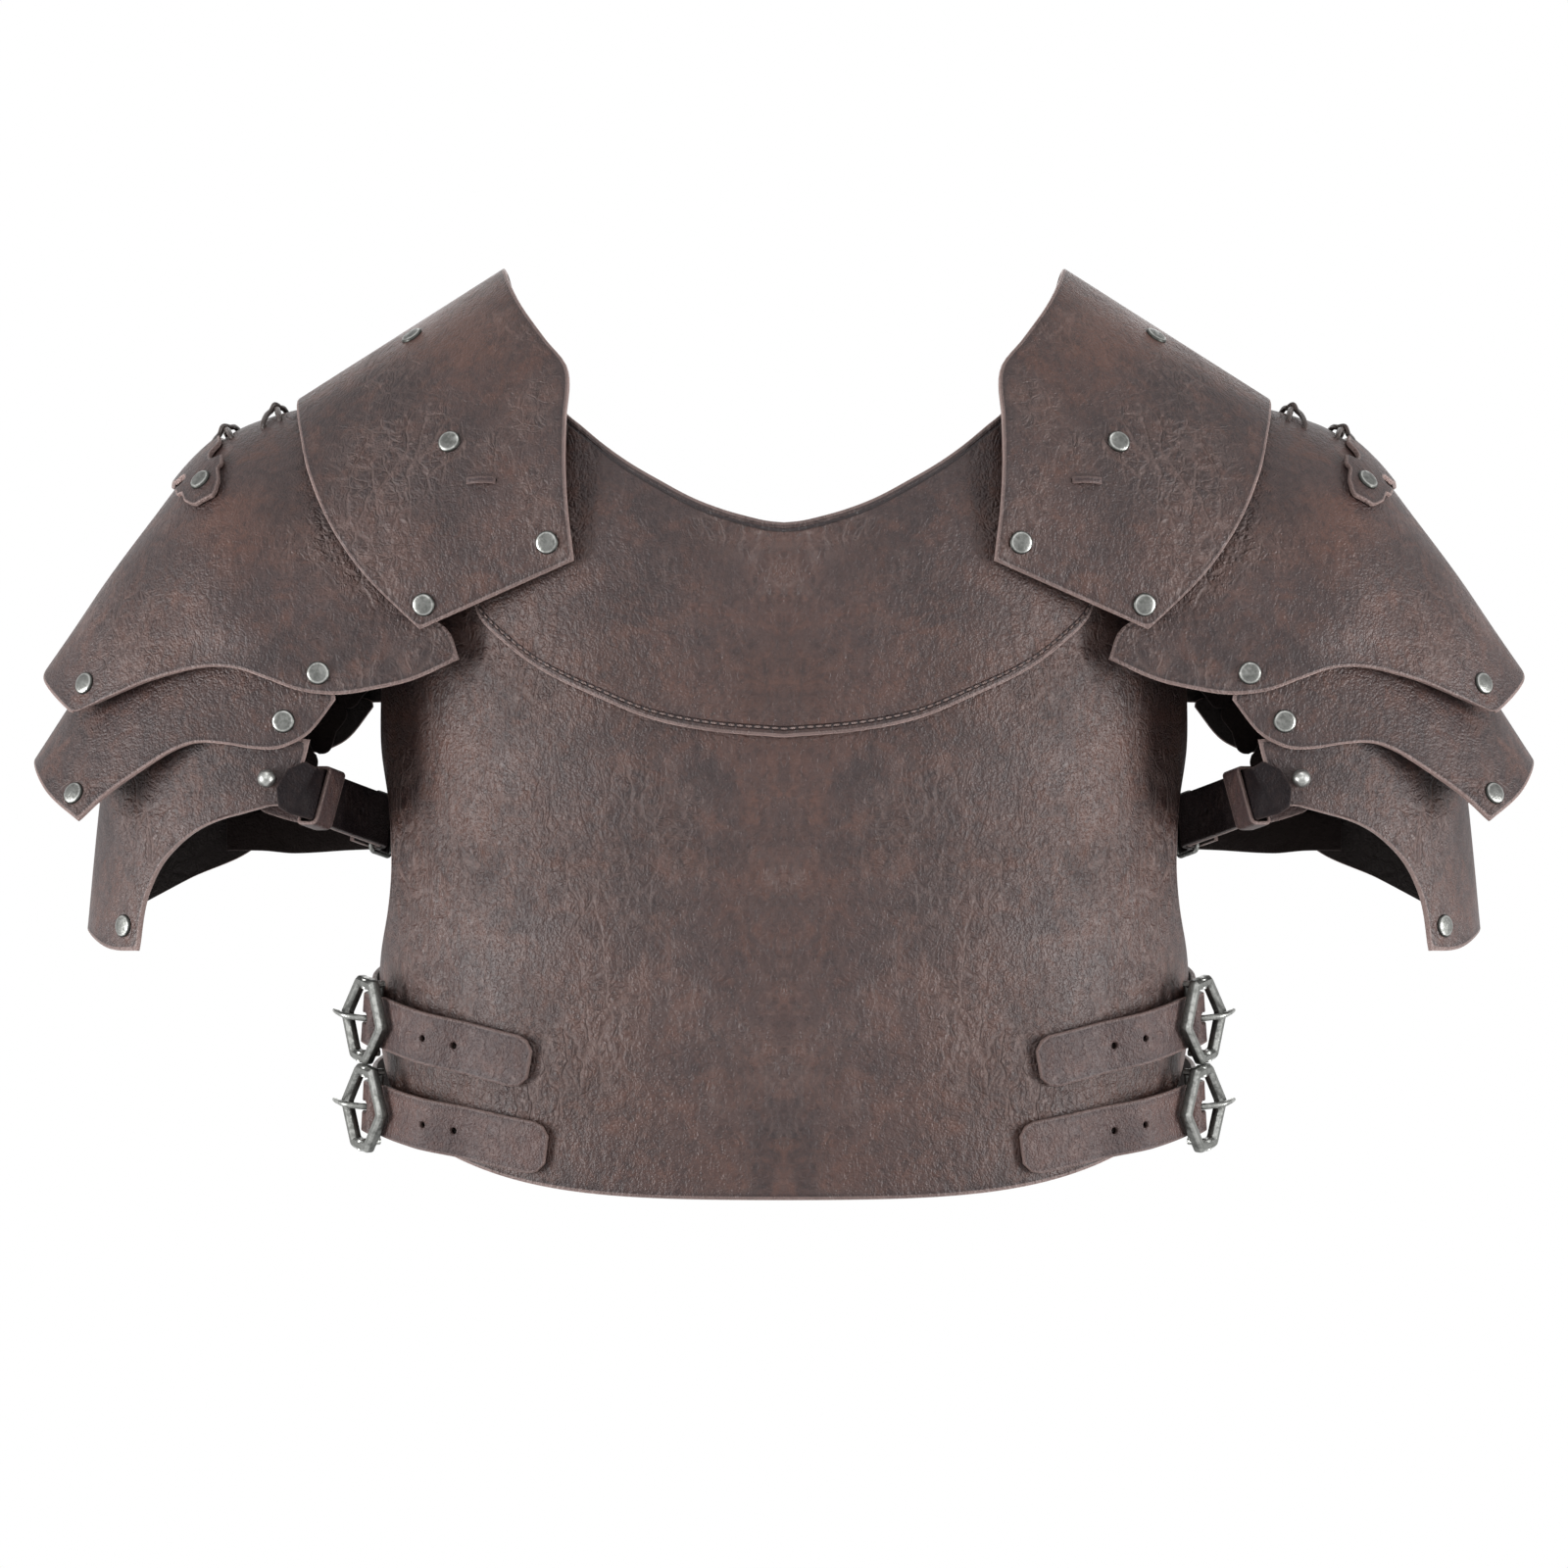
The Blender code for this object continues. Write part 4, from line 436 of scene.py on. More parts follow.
@dataclass(frozen=True)
class CordFinish:
    """Waxed, twisted cord or thread."""

    name: str
    light: Colour = (0.1, 0.07, 0.06)
    dark: Colour = (0.018, 0.012, 0.011)
    roughness: float = 0.34
    strand: float = 0.0008
    strand_height: float = 0.0003
    fuzz_height: float = 0.00005

    def build(self) -> Material:
        """Make the material."""
        g = Graph(self.name)
        place = g.object_place()
        tilted = g.turned(place, (0.6, 0.5, 0.0), (1.0, 1.0, 1.0))
        twist = g.node("ShaderNodeTexWave", {"wave_type": "BANDS"},
                       {"Vector": tilted, "Scale": 0.3 / self.strand, "Distortion": 1.5}, 1)
        fuzz = g.noise(place, 2200.0)
        return g.finish(Base_Color=g.mix(twist * 0.6 + fuzz * 0.3, self.dark, self.light),
                        Roughness=self.roughness + fuzz * 0.2,
                        Normal=g.bumped(twist * self.strand_height + fuzz * self.fuzz_height))


# ---- meshes


def make_object(name: str, points: Array, faces: Sequence[Sequence[int]],
                numbers: dict[str, Array] | None = None, sharp: float | None = None,
                edges: Sequence[tuple[int, int]] = ()) -> Piece:
    """Make a smooth mesh object.

    Args:
        name: the piece's name.
        points: its vertices, in the row frame.
        faces: vertex numbers, facing outwards.
        numbers: named numbers or vectors to keep on the vertices.
        sharp: angle in degrees past which an edge stays sharp.
        edges: vertex numbers of its edges, where it has no faces.

    Returns:
        The object, in the scene.
    """
    mesh = bpy.data.meshes.new(name)
    mesh.from_pydata(points.tolist(), list(edges), faces)
    for key, values in (numbers or {}).items():
        values = np.asarray(values, np.float32)
        kind, part = ("FLOAT_VECTOR", "vector") if values.ndim > 1 else ("FLOAT", "value")
        mesh.attributes.new(key, kind, "POINT").data.foreach_set(part, values.ravel())
    mesh.shade_smooth()
    if sharp is not None:
        mesh.set_sharp_from_angle(angle=math.radians(sharp))
    return placed_in_scene(name, mesh)


def placed_in_scene(name: str, data: bpy.types.ID) -> Piece:
    """Make an object of a mesh, a light or a camera and put it in the scene."""
    obj = bpy.data.objects.new(name, data)
    bpy.context.scene.collection.objects.link(obj)
    return obj


def settled(obj: Piece) -> Piece:
    """Turn what a piece's modifiers make into its plain mesh."""
    mesh = bpy.data.meshes.new_from_object(obj.evaluated_get(bpy.context.evaluated_depsgraph_get()))
    obj.modifiers.clear()
    obj.data = mesh
    return obj


def unit(vectors: Array) -> Array:
    """Return vectors scaled to length 1."""
    return vectors / np.maximum(np.linalg.norm(vectors, axis=-1, keepdims=True), 1e-12)


def grid_normals(points: Array, outward: Array) -> tuple[Array, bool]:
    """Return a grid's unit normals on its outward side, and whether they had to be turned for it."""
    normals = unit(np.cross(np.gradient(points, axis=0), np.gradient(points, axis=1)))
    turned = bool((normals * outward).sum() < 0)
    return (-normals if turned else normals), turned


def border_of(rows: int, columns: int) -> Array:
    """Return the grid places round the edge of a grid, in order."""
    top = [(0, j) for j in range(columns)]
    right = [(i, columns - 1) for i in range(1, rows)]
    low = [(rows - 1, j) for j in range(columns - 2, -1, -1)]
    left = [(i, 0) for i in range(rows - 2, 0, -1)]
    return np.array(top + right + low + left)


def edge_distance(points: Array) -> Array:
    """Return how far each place of a grid lies from the grid's edge, along its lines."""
    best = np.full(points.shape[:2], np.inf)
    for axis in (0, 1):
        run = np.cumsum(np.linalg.norm(np.diff(points, axis=axis), axis=-1), axis=axis)
        start = np.concatenate([np.zeros_like(run.take([0], axis)), run], axis=axis)
        best = np.minimum(best, np.minimum(start, start.take([-1], axis) - start))
    return best


def leather_sheet(name: str, points: Array, outward: Array, thickness: float = LEATHER,
                  rounding: float = EDGE_ROUND) -> Piece:
    """Make a sheet of leather with rounded edges, from the grid of its outer face.

    Args:
        name: the piece's name.
        points: the grid, rows by columns by 3.
        outward: a rough outward vector for each place.
        thickness: of the leather.
        rounding: radius of its rounded edges.

    Returns:
        The piece, whose vertices know their distance from the edge, the rim and the flesh side.
    """
    rows, columns = points.shape[:2]
    normals, turned = grid_normals(points, outward)
    i, j = border_of(rows, columns).T
    rim, out = points[i, j], normals[i, j]
    inner = points[np.clip(i, 1, rows - 2), np.clip(j, 1, columns - 2)]
    along = unit(np.roll(rim, -1, axis=0) - np.roll(rim, 1, axis=0))
    away = rim - inner
    for square_to in (along, out):
        away = away - square_to * (away * square_to).sum(-1, keepdims=True)
    away = unit(away)
    radius = np.minimum(rounding, np.linalg.norm(rim - inner, axis=-1, keepdims=True) * 0.45)
    top, under = points.copy(), points - normals * thickness
    top[i, j] = rim - away * radius
    under[i, j] = top[i, j] - out * thickness
    rings = []
    for low in (False, True):
        for turn in np.radians((90, 60, 30) if low else (30, 60, 90)):
            fall = (1 - np.cos(turn)) * radius
            rings.append(rim + away * (np.sin(turn) - 1) * radius - out * (thickness - fall if low else fall))
    count, size = rows * columns, len(i)
    index = np.arange(count).reshape(rows, columns)
    quads = np.stack([index[:-1, :-1], index[1:, :-1], index[1:, 1:], index[:-1, 1:]], -1).reshape(-1, 4)
    order = slice(None, None, -1 if turned else 1)
    faces = [*quads[:, order].tolist(), *(quads[:, ::-1][:, order] + count).tolist()]
    edge_rings = [index[i, j], *(2 * count + k * size + np.arange(size) for k in range(len(rings))),
                  index[i, j] + count]
    for above, below in zip(edge_rings, edge_rings[1:]):
        strip = np.stack([above, np.roll(above, -1), np.roll(below, -1), below], -1)
        faces += strip[:, order].tolist()
    far = edge_distance(points).reshape(-1)
    numbers = {
        "edge": np.concatenate([far, far, np.zeros(len(rings) * size)]),
        "rim": np.concatenate([np.zeros(2 * count), np.repeat([0.6, 1.0, 1.0, 1.0, 1.0, 0.7], size)]),
        "flesh": np.concatenate([np.zeros(count), np.ones(count), np.repeat([0, 0, 0, 0, 0.1, 0.4], size)])}
    every = np.concatenate([top.reshape(-1, 3), under.reshape(-1, 3), *rings])
    return make_object(name, every, faces, numbers)


@dataclass
class Path:
    """A strap's run: the middle of its outer face, its half-width vectors and its outward directions."""

    middle: Array
    side: Array
    out: Array

    def finer(self, step: float) -> "Path":
        """Return the run with stations every step, on a smooth curve through the old ones."""
        gaps = np.linalg.norm(np.diff(self.middle, axis=0), axis=1)
        keys = np.concatenate([[0.0], np.cumsum(np.maximum(gaps, 1e-6))])
        at = np.linspace(0.0, keys[-1], max(int(keys[-1] / step), 4) + 1)
        middle, side, out = (Curve(tuple(map(tuple, np.column_stack([keys, rows])))).at(at)
                             for rows in (self.middle, self.side, self.out))
        return Path(middle, side, unit(out))


def strap(name: str, path: Path, thickness: float, columns: int) -> Piece:
    """Make a flat strap with rounded edges along a run."""
    points = path.middle[:, None] + path.side[:, None] * np.linspace(-1, 1, columns)[None, :, None]
    outward = np.repeat(path.out[:, None], columns, axis=1)
    return leather_sheet(name, points, outward, thickness, EDGE_ROUND * 0.8)


def ring_faces(rings: int, size: int, closed: bool = False) -> Faces:
    """Return the faces between rings of points, with flat ends unless the last ring joins the first."""
    faces = []
    for a in range(rings if closed else rings - 1):
        b = (a + 1) % rings
        for k in range(size):
            n = (k + 1) % size
            faces.append([a * size + k, a * size + n, b * size + n, b * size + k])
    if not closed:
        faces += [list(range(size))[::-1], [(rings - 1) * size + k for k in range(size)]]
    return faces


def tube(points: Array, radius: float | Array, sides: int = 10, closed: bool = False) -> Mesh:
    """Make a round tube through points.

    Args:
        points: its middle line.
        radius: of the tube, or one for each point.
        sides: of its section.
        closed: True joins its end to its start.

    Returns:
        Its vertices and its faces.
    """
    count = len(points)
    ahead = np.roll(points, -1, axis=0) - np.roll(points, 1, axis=0)
    if not closed:
        ahead[0], ahead[-1] = points[1] - points[0], points[-1] - points[-2]
    ahead = unit(ahead)
    side = np.cross(ahead[0], [0.31, 0.77, 0.55])
    sideways = []
    for heading in ahead:
        side = unit(side - heading * np.dot(side, heading))
        sideways.append(side)
    across = np.array(sideways)
    angles = np.linspace(0, 2 * math.pi, sides, endpoint=False)[None, :, None]
    radii = np.broadcast_to(np.asarray(radius, float), (count,))[:, None, None]
    ringed = points[:, None] + radii * (
        across[:, None] * np.cos(angles) + np.cross(ahead, across)[:, None] * np.sin(angles))
    return ringed.reshape(-1, 3), ring_faces(count, sides, closed)


def joined(parts: Iterable[Mesh]) -> Mesh:
    """Return several meshes as one."""
    points, faces, start = [], [], 0
    for own_points, own_faces in parts:
        points.append(own_points)
        faces += [[n + start for n in face] for face in own_faces]
        start += len(own_points)
    return np.concatenate(points), faces


def closed_object(name: str, points: Array, faces: Faces, key: str, marks: Array,
                  sharp: float | None = None) -> Piece:
    """Make a closed mesh object whose faces are turned outwards.

    Args:
        name: the piece's name.
        points: its vertices.
        faces: vertex numbers.
        key: the name of a number kept on the vertices.
        marks: that number.
        sharp: angle in degrees past which an edge stays sharp.

    Returns:
        The object, in the scene.
    """
    obj = make_object(name, points, faces, {key: marks}, sharp)
    bm = bmesh.new()
    bm.from_mesh(obj.data)
    bmesh.ops.recalc_face_normals(bm, faces=bm.faces)
    bm.to_mesh(obj.data)
    bm.free()
    return obj


def carved(obj: Piece, points: Array, faces: Faces) -> None:
    """Cut a closed mesh out of a piece; the cut faces take the flesh side's finish."""
    cutter = closed_object(obj.name + "_cutter", points, faces, "flesh", np.ones(len(points)))
    cut = obj.modifiers.new("cut", "BOOLEAN")
    cut.operation, cut.solver, cut.object = "DIFFERENCE", "EXACT", cutter
    settled(obj)
    bpy.data.objects.remove(cutter, do_unlink=True)


def dress(obj: Piece, material: Material, slot: str, body: str, *nodes: str) -> None:
    """Give a piece its finish and its place in the frame.

    Args:
        obj: the piece.
        material: its finish.
        slot: the record's material slot it belongs to; not used.
        body: the body it rides on.
        nodes: the solids it stands for.
    """
    obj.data.materials.clear()
    obj.data.materials.append(material)
    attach(obj, body)
    if nodes:
        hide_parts(*nodes)
    log.info("%s rides on %s", obj.name, body)


# ---- repeated and path-following pieces


class Recipe(Tree):
    """A Geometry Nodes tree with named sizes, made once and run on a mesh of points or of a path."""

    def __init__(self, name: str, sizes: dict[str, float]) -> None:
        """Start the tree with its mesh input and its named sizes."""
        super().__init__(bpy.data.node_groups.new(name, "GeometryNodeTree"))
        face = self.tree.interface
        for way in ("OUTPUT", "INPUT"):
            face.new_socket("Mesh", in_out=way, socket_type="NodeSocketGeometry")
        self.keys: dict[str, str] = {}
        for key, value in sizes.items():
            made = face.new_socket(key, in_out="INPUT", socket_type="NodeSocketFloat")
            made.default_value = value
            self.keys[key] = made.identifier
        made = face.new_socket("Material", in_out="INPUT", socket_type="NodeSocketMaterial")
        self.keys["Material"] = made.identifier
        self.start = self.tree.nodes.new("NodeGroupInput")
        self.stop = self.tree.nodes.new("NodeGroupOutput")

    def given(self, key: str) -> Sock:
        """Return one of the tree's inputs."""
        return Sock(self, self.start.outputs[key])

    def named(self, key: str) -> Sock:
        """Return a vector kept on the mesh."""
        return self.node("GeometryNodeInputNamedAttribute", {"data_type": "FLOAT_VECTOR"}, {"Name": key})

    def line(self) -> Sock:
        """Return the given mesh as curves."""
        return self.node("GeometryNodeMeshToCurve", None, {0: self.given("Mesh")})

    def end(self, geometry: Sock) -> "Recipe":
        """Finish the tree: make instances real, smooth them and give them the material."""
        real = self.node("GeometryNodeRealizeInstances", None, {0: geometry})
        smooth = self.node("GeometryNodeSetShadeSmooth", None, {0: real, "Shade Smooth": True})
        done = self.node("GeometryNodeSetMaterial", None, {0: smooth, "Material": self.given("Material")})
        self.tree.links.new(done.socket, self.stop.inputs[0])
        return self

    def run(self, obj: Piece, material: Material, **sizes: float) -> Piece:
        """Run the tree on an object and keep the result as its plain mesh.

        Args:
            obj: the points or the path.
            material: the finish of the result.
            sizes: named sizes that differ from the tree's own.

        Returns:
            The object.
        """
        modifier = obj.modifiers.new("made", "NODES")
        modifier.node_group = self.tree
        for key, value in {"Material": material, **sizes}.items():
            modifier[self.keys[key]] = value
        return settled(obj)


def rivet_recipe() -> Recipe:
    """Make the tree that sets a low, round-edged rivet head on each point, with a painted highlight ring and
    painted shadow at its edge.
    """
    r = Recipe("rivet_heads", {"Radius": 0.0057, "Height": 0.0019, "Flatness": 0.62})
    ball = r.node("GeometryNodeMeshUVSphere", None, {"Segments": 28, "Rings": 16, "Radius": 1.0})
    x, y, z = r.apart(r.node("GeometryNodeInputPosition"))
    rise = z.math("ABSOLUTE") ** r.given("Flatness") * z.math("SIGN") * r.given("Height")
    shaped = r.vector_of(x * r.given("Radius"), y * r.given("Radius"), rise)
    spread = x * x + y * y
    # painted light: a dull middle, a painted highlight ring, and painted shadow darkening the head's outer
    # edge
    bright = spread.ramp(0.8, 0.72) * (0.28 + 0.72 * spread.ramp(0.48, 0.6))
    ball = r.node("GeometryNodeStoreNamedAttribute", {"data_type": "FLOAT", "domain": "POINT"},
                  {0: ball, "Name": "wear", "Value": bright})
    head = r.node("GeometryNodeSetPosition", None, {0: ball, "Position": shaped})
    turn = r.node("FunctionNodeAlignRotationToVector", {"axis": "Z"}, {"Vector": r.named("out")})
    spots = r.node("GeometryNodeMeshToPoints", None, {0: r.given("Mesh")})
    return r.end(r.node("GeometryNodeInstanceOnPoints", None, {0: spots, "Instance": head, "Rotation": turn}))


def stitch_recipe() -> Recipe:
    """Make the tree that lays stitches end to end along a path."""
    r = Recipe("stitches", {"Pitch": 0.0042, "Length": 0.0034, "Width": 0.0012})
    bead = r.node("GeometryNodeMeshUVSphere", None, {"Segments": 8, "Rings": 6, "Radius": 0.5})
    size = r.vector_of(*(r.given(key) for key in ("Length", "Width", "Width")))
    line = r.node("GeometryNodeResampleCurve", {"mode": "LENGTH"}, {0: r.line(), "Length": r.given("Pitch")})
    turn = r.node("FunctionNodeAxesToRotation", {"primary_axis": "Z", "secondary_axis": "X"},
                  {0: r.named("out"), 1: r.node("GeometryNodeInputTangent")})
    return r.end(r.node("GeometryNodeInstanceOnPoints", None, {
        0: line, "Instance": bead, "Rotation": turn, "Scale": size}))


def cord_recipe() -> Recipe:
    """Make the tree that turns a path into a round cord."""
    r = Recipe("cords", {"Radius": 0.001})
    ring = r.node("GeometryNodeCurvePrimitiveCircle", None, {"Resolution": 10, "Radius": r.given("Radius")})
    return r.end(r.node("GeometryNodeCurveToMesh", None, {
        0: r.line(), "Profile Curve": ring, "Fill Caps": True}))


@dataclass
class Shop:
    """The finishes and the trees that every piece is made with."""

    plate: Material
    yoke: Material
    strap: Material
    dark: Material
    cord: Material
    thread: Material
    pewter: Material
    rivet_heads: Recipe = field(default_factory=rivet_recipe)
    stitches: Recipe = field(default_factory=stitch_recipe)
    cords: Recipe = field(default_factory=cord_recipe)

    def rivets(self, name: str, body: str, spots: Sequence[Spot]) -> None:
        """Set rivet heads.

        Args:
            name: the piece's name.
            body: the body that carries them.
            spots: the place and the outward direction of each.
        """
        places, outs = (np.array(column) for column in zip(*spots))
        obj = make_object(name, places, [], {"out": outs})
        dress(self.rivet_heads.run(obj, self.pewter), self.pewter, "pewter", body)

    def laid(self, recipe: Recipe, finish: Material, name: str, body: str,
             lines: Sequence[tuple[Array, Array]], *nodes: str, **sizes: float) -> None:
        """Run stitches or cords along lines.

        Args:
            recipe: the tree that makes them.
            finish: of the cord.
            name: the piece's name.
            body: the body that carries it.
            lines: the points of each line and their outward directions.
            nodes: the solids it stands for.
            sizes: named sizes that differ from the tree's own.
        """
        places, outs = (np.concatenate(part) for part in zip(*lines))
        starts = np.cumsum([0, *(len(line) for line, _ in lines)])
        edges = [(k, k + 1) for start, stop in zip(starts, starts[1:]) for k in range(start, stop - 1)]
        obj = make_object(name, places, [], {"out": outs}, edges=edges)
        dress(recipe.run(obj, finish, **sizes), finish, "cord", body, *nodes)

    def metal(self, name: str, body: str, points: Array, faces: Faces, wear: Array, *nodes: str,
              sharp: float | None = None) -> None:
        """Make a closed metal piece.

        Args:
            name: the piece's name, without its ending.
            body: the body that carries it.
            points: its vertices.
            faces: vertex numbers.
            wear: how bright it is at each vertex.
            nodes: the solids it stands for.
            sharp: angle in degrees past which an edge stays sharp.
        """
        piece = closed_object(name + "_metal", points, faces, "wear", wear, sharp)
        dress(piece, self.pewter, "pewter", body, *nodes)


# ---- the chest


def fronted(points: Array, facing: float) -> Array:
    """Return points of the front as they lie on the front (facing 1) or on the back (facing -1)."""
    return points * np.array([1.0, facing, 1.0])


@dataclass(frozen=True)
class Chest:
    """The wearer's chest: an ellipse that closes over the shoulders."""

    half_width: float = 0.206
    half_depth: float = 0.125
    crown: float = 0.0276
    upper_rise: float = 0.19
    neck_half_width: float = 0.118
    slope: float = 0.45
    least_swell: float = 0.02
    arc_reach: float = 1.5
    arc_steps: int = 3001

    def crown_at(self, x: Array) -> Array:
        """Return the height of the shoulder's crown at a distance from the middle."""
        return self.crown - self.slope * np.maximum(0.0, np.abs(x) - self.neck_half_width)

    def rise(self, x: Array, z: Array) -> tuple[Array, Array]:
        """Return how far up the upper chest a point lies, from 0 to 1, and the upper chest's height."""
        base = self.crown - self.upper_rise
        height = self.crown_at(x) - base
        return np.maximum(0.0, z - base) / height, height

    def depth(self, x: Array, z: Array) -> Array:
        """Return how far the chest stands in front of the middle plane."""
        rise, _ = self.rise(x, z)
        across = np.minimum(1.0, np.abs(x) / self.half_width)
        return self.half_depth * np.sqrt(np.maximum(0.0, 1 - rise ** 2)) * np.sqrt(1 - across ** 2)

    def normal(self, x: Array, z: Array) -> Array:
        """Return the outward direction of the chest's front."""
        rise, height = self.rise(x, z)
        depth = self.depth(x, z)
        swell = np.maximum(1 - rise ** 2, self.least_swell)
        return unit(np.stack([x / self.half_width ** 2, -depth / (self.half_depth ** 2 * swell),
                              rise * (depth / self.half_depth) ** 2 / (height * swell ** 2)], -1))

    def points(self, x: Array, z: Array, lift: float, facing: float) -> Array:
        """Return points on the chest, lifted off it, on its front or its back."""
        return fronted(np.stack([x, -self.depth(x, z), z], -1) + self.normal(x, z) * lift, facing)

    def turn_after(self, start: float, arc: Array) -> Array:
        """Return the turn on the chest's ellipse reached after a length of arc towards the back."""
        turns = np.linspace(start - self.arc_reach, start + self.arc_reach, self.arc_steps)
        speed = np.hypot(self.half_width * np.cos(turns), self.half_depth * np.sin(turns))
        run = np.concatenate([[0.0], np.cumsum((speed[1:] + speed[:-1]) / 2 * np.diff(turns))])
        return np.interp(arc, run - np.interp(start, turns, run), turns)


@dataclass
class ChestArmour:
    """Front and back plates with the yokes lapped over them."""

    shop: Shop
    chest: Chest
    plate_reach: float = QUARTER * 0.88
    plate_grid: tuple[int, int] = (141, 61)
    yoke_grid: tuple[int, int] = (161, 33)
    top_drop: float = 0.179
    hem_drop: float = 0.4216
    corner_rise: float = 0.0303
    neck_drop: float = 0.0978
    yoke_drop: float = 0.2002
    yoke_end_drop: float = 0.01
    yoke_half_width: float = 0.151
    yoke_lift: float = LEATHER + YOKE_GAP
    stitch_inset: float = 0.0042
    stitch_lift: float = 0.0001
    stitch_reach: float = 0.585
    stitch_count: int = 240
    side_shares: Curve = Curve((
        (0.0, 0.99), (0.14, 0.99), (0.27, 0.965), (0.37, 0.957), (0.44, 0.957), (0.52, 0.967), (0.62, 0.99),
        (0.7, 0.998), (0.85, 0.985), (1.0, 0.92)))
    top_shares: Curve = Curve((
        (0.0, 0.0), (0.25, 0.02), (0.45, 0.08), (0.56, 0.135), (0.7, 0.218), (0.77, 0.235), (0.86, 0.185),
        (0.93, 0.115), (1.0, 0.03)))
    neckline_shares: Curve = Curve((
        (0.0, 0.0, 1.0), (0.03, 0.062, 0.994), (0.06, 0.118, 0.982), (0.12, 0.245, 0.945),
        (0.18, 0.372, 0.893), (0.24, 0.5, 0.821), (0.305, 0.622, 0.746), (0.365, 0.731, 0.665),
        (0.42, 0.828, 0.58), (0.46, 0.895, 0.52), (0.55, 0.965, 0.4), (0.66, 1.01, 0.27),
        (0.82, 1.08, 0.11), (1.0, 1.16, 0.0)))
    edge_shares: Curve = Curve((
        (0.0, 0.0, 1.0), (0.13, 0.233, 0.986), (0.24, 0.42, 0.959), (0.33, 0.578, 0.914),
        (0.43, 0.763, 0.852), (0.5, 0.895, 0.784), (0.56, 0.98, 0.717), (0.64, 1.005, 0.59),
        (0.75, 1.02, 0.38), (0.88, 1.06, 0.16), (1.0, 1.1, 0.0)))

    def plate_points(self, facing: float) -> Array:
        """Return the grid of a plate's outer face."""
        rows, columns = self.plate_grid
        u = (np.sin(np.linspace(-1, 1, rows) * self.plate_reach) / math.sin(self.plate_reach))[:, None]
        v = np.linspace(0, 1, columns)[None, :]
        top = -self.top_drop + self.top_shares.at(np.abs(u))[..., 0] * (self.hem_drop - self.top_drop)
        low = -self.hem_drop + self.corner_rise * np.abs(u) ** 4
        half = self.side_shares.at(v)[..., 0] * self.chest.half_width
        return self.chest.points(u * half, top + (low - top) * v, 0.0, facing)

    def yoke_line(self, table: Curve, width: float, drop: float, u: Array) -> tuple[Array, Array]:
        """Return the front-view places along one edge of the yoke."""
        top = self.chest.crown_at(self.chest.neck_half_width) - self.yoke_end_drop
        share = table.at(np.abs(u))
        return np.sign(u) * share[..., 0] * width, top - (top + drop) * share[..., 1]

    def yoke_points(self, facing: float, u: Array, v: Array, more_lift: float = 0.0) -> Array:
        """Return points of a yoke's outer face, at shares along it and down from its neckline."""
        x0, z0 = self.yoke_line(self.neckline_shares, self.chest.neck_half_width, self.neck_drop, u)
        x1, z1 = self.yoke_line(self.edge_shares, self.yoke_half_width, self.yoke_drop, u)
        fall = self.chest.slope * (self.yoke_half_width - self.chest.neck_half_width)
        x, z = x0 + (x1 - x0) * v, z0 + (z1 - z0) * v
        height = (z + self.yoke_drop) / self.yoke_drop
        z = z - fall * np.maximum(0.0, height - 0.5) * 2 * v
        return self.chest.points(x, z, self.yoke_lift + more_lift, facing)

    def build(self) -> None:
        """Make both plates, both yokes and the yokes' stitching."""
        rows, columns = self.yoke_grid
        u, v = np.linspace(-1, 1, rows)[:, None], np.linspace(0, 1, columns)[None, :]
        for name, facing in (("front", 1.0), ("back", -1.0)):
            plate, yoke = self.plate_points(facing), self.yoke_points(facing, u, v)
            plate_out = plate * np.array([1.0, 2.0, 0.0])
            yoke_out = np.stack([yoke[..., 0], yoke[..., 1] * 2, 0.3 * np.abs(yoke[..., 0])], -1)
            for kind, grid, out, finish in (("plate", plate, plate_out, self.shop.plate),
                                            ("yoke", yoke, yoke_out, self.shop.yoke)):
                piece = leather_sheet(f"{name}_{kind}_leather", grid, out)
                dress(piece, finish, "plate_leather", "chest", f"{name}_{kind}")
            self.stitch(name, facing)

    def stitch(self, name: str, facing: float) -> None:
        """Lay the row of stitches above a yoke's lower edge."""
        u = np.linspace(-self.stitch_reach, self.stitch_reach, self.stitch_count)
        near = 0.1
        edge = self.yoke_points(facing, u, np.ones_like(u))
        inner = self.yoke_points(facing, u, np.full_like(u, 1 - near))
        width = np.linalg.norm(edge - inner, axis=-1) / near
        line = self.yoke_points(facing, u, 1 - self.stitch_inset / width, self.stitch_lift)
        out = fronted(self.chest.normal(line[:, 0], line[:, 2]), facing)
        self.shop.laid(self.shop.stitches, self.shop.thread, f"{name}_yoke_stitches", "chest", [(line, out)])


# ---- what one side's pieces share


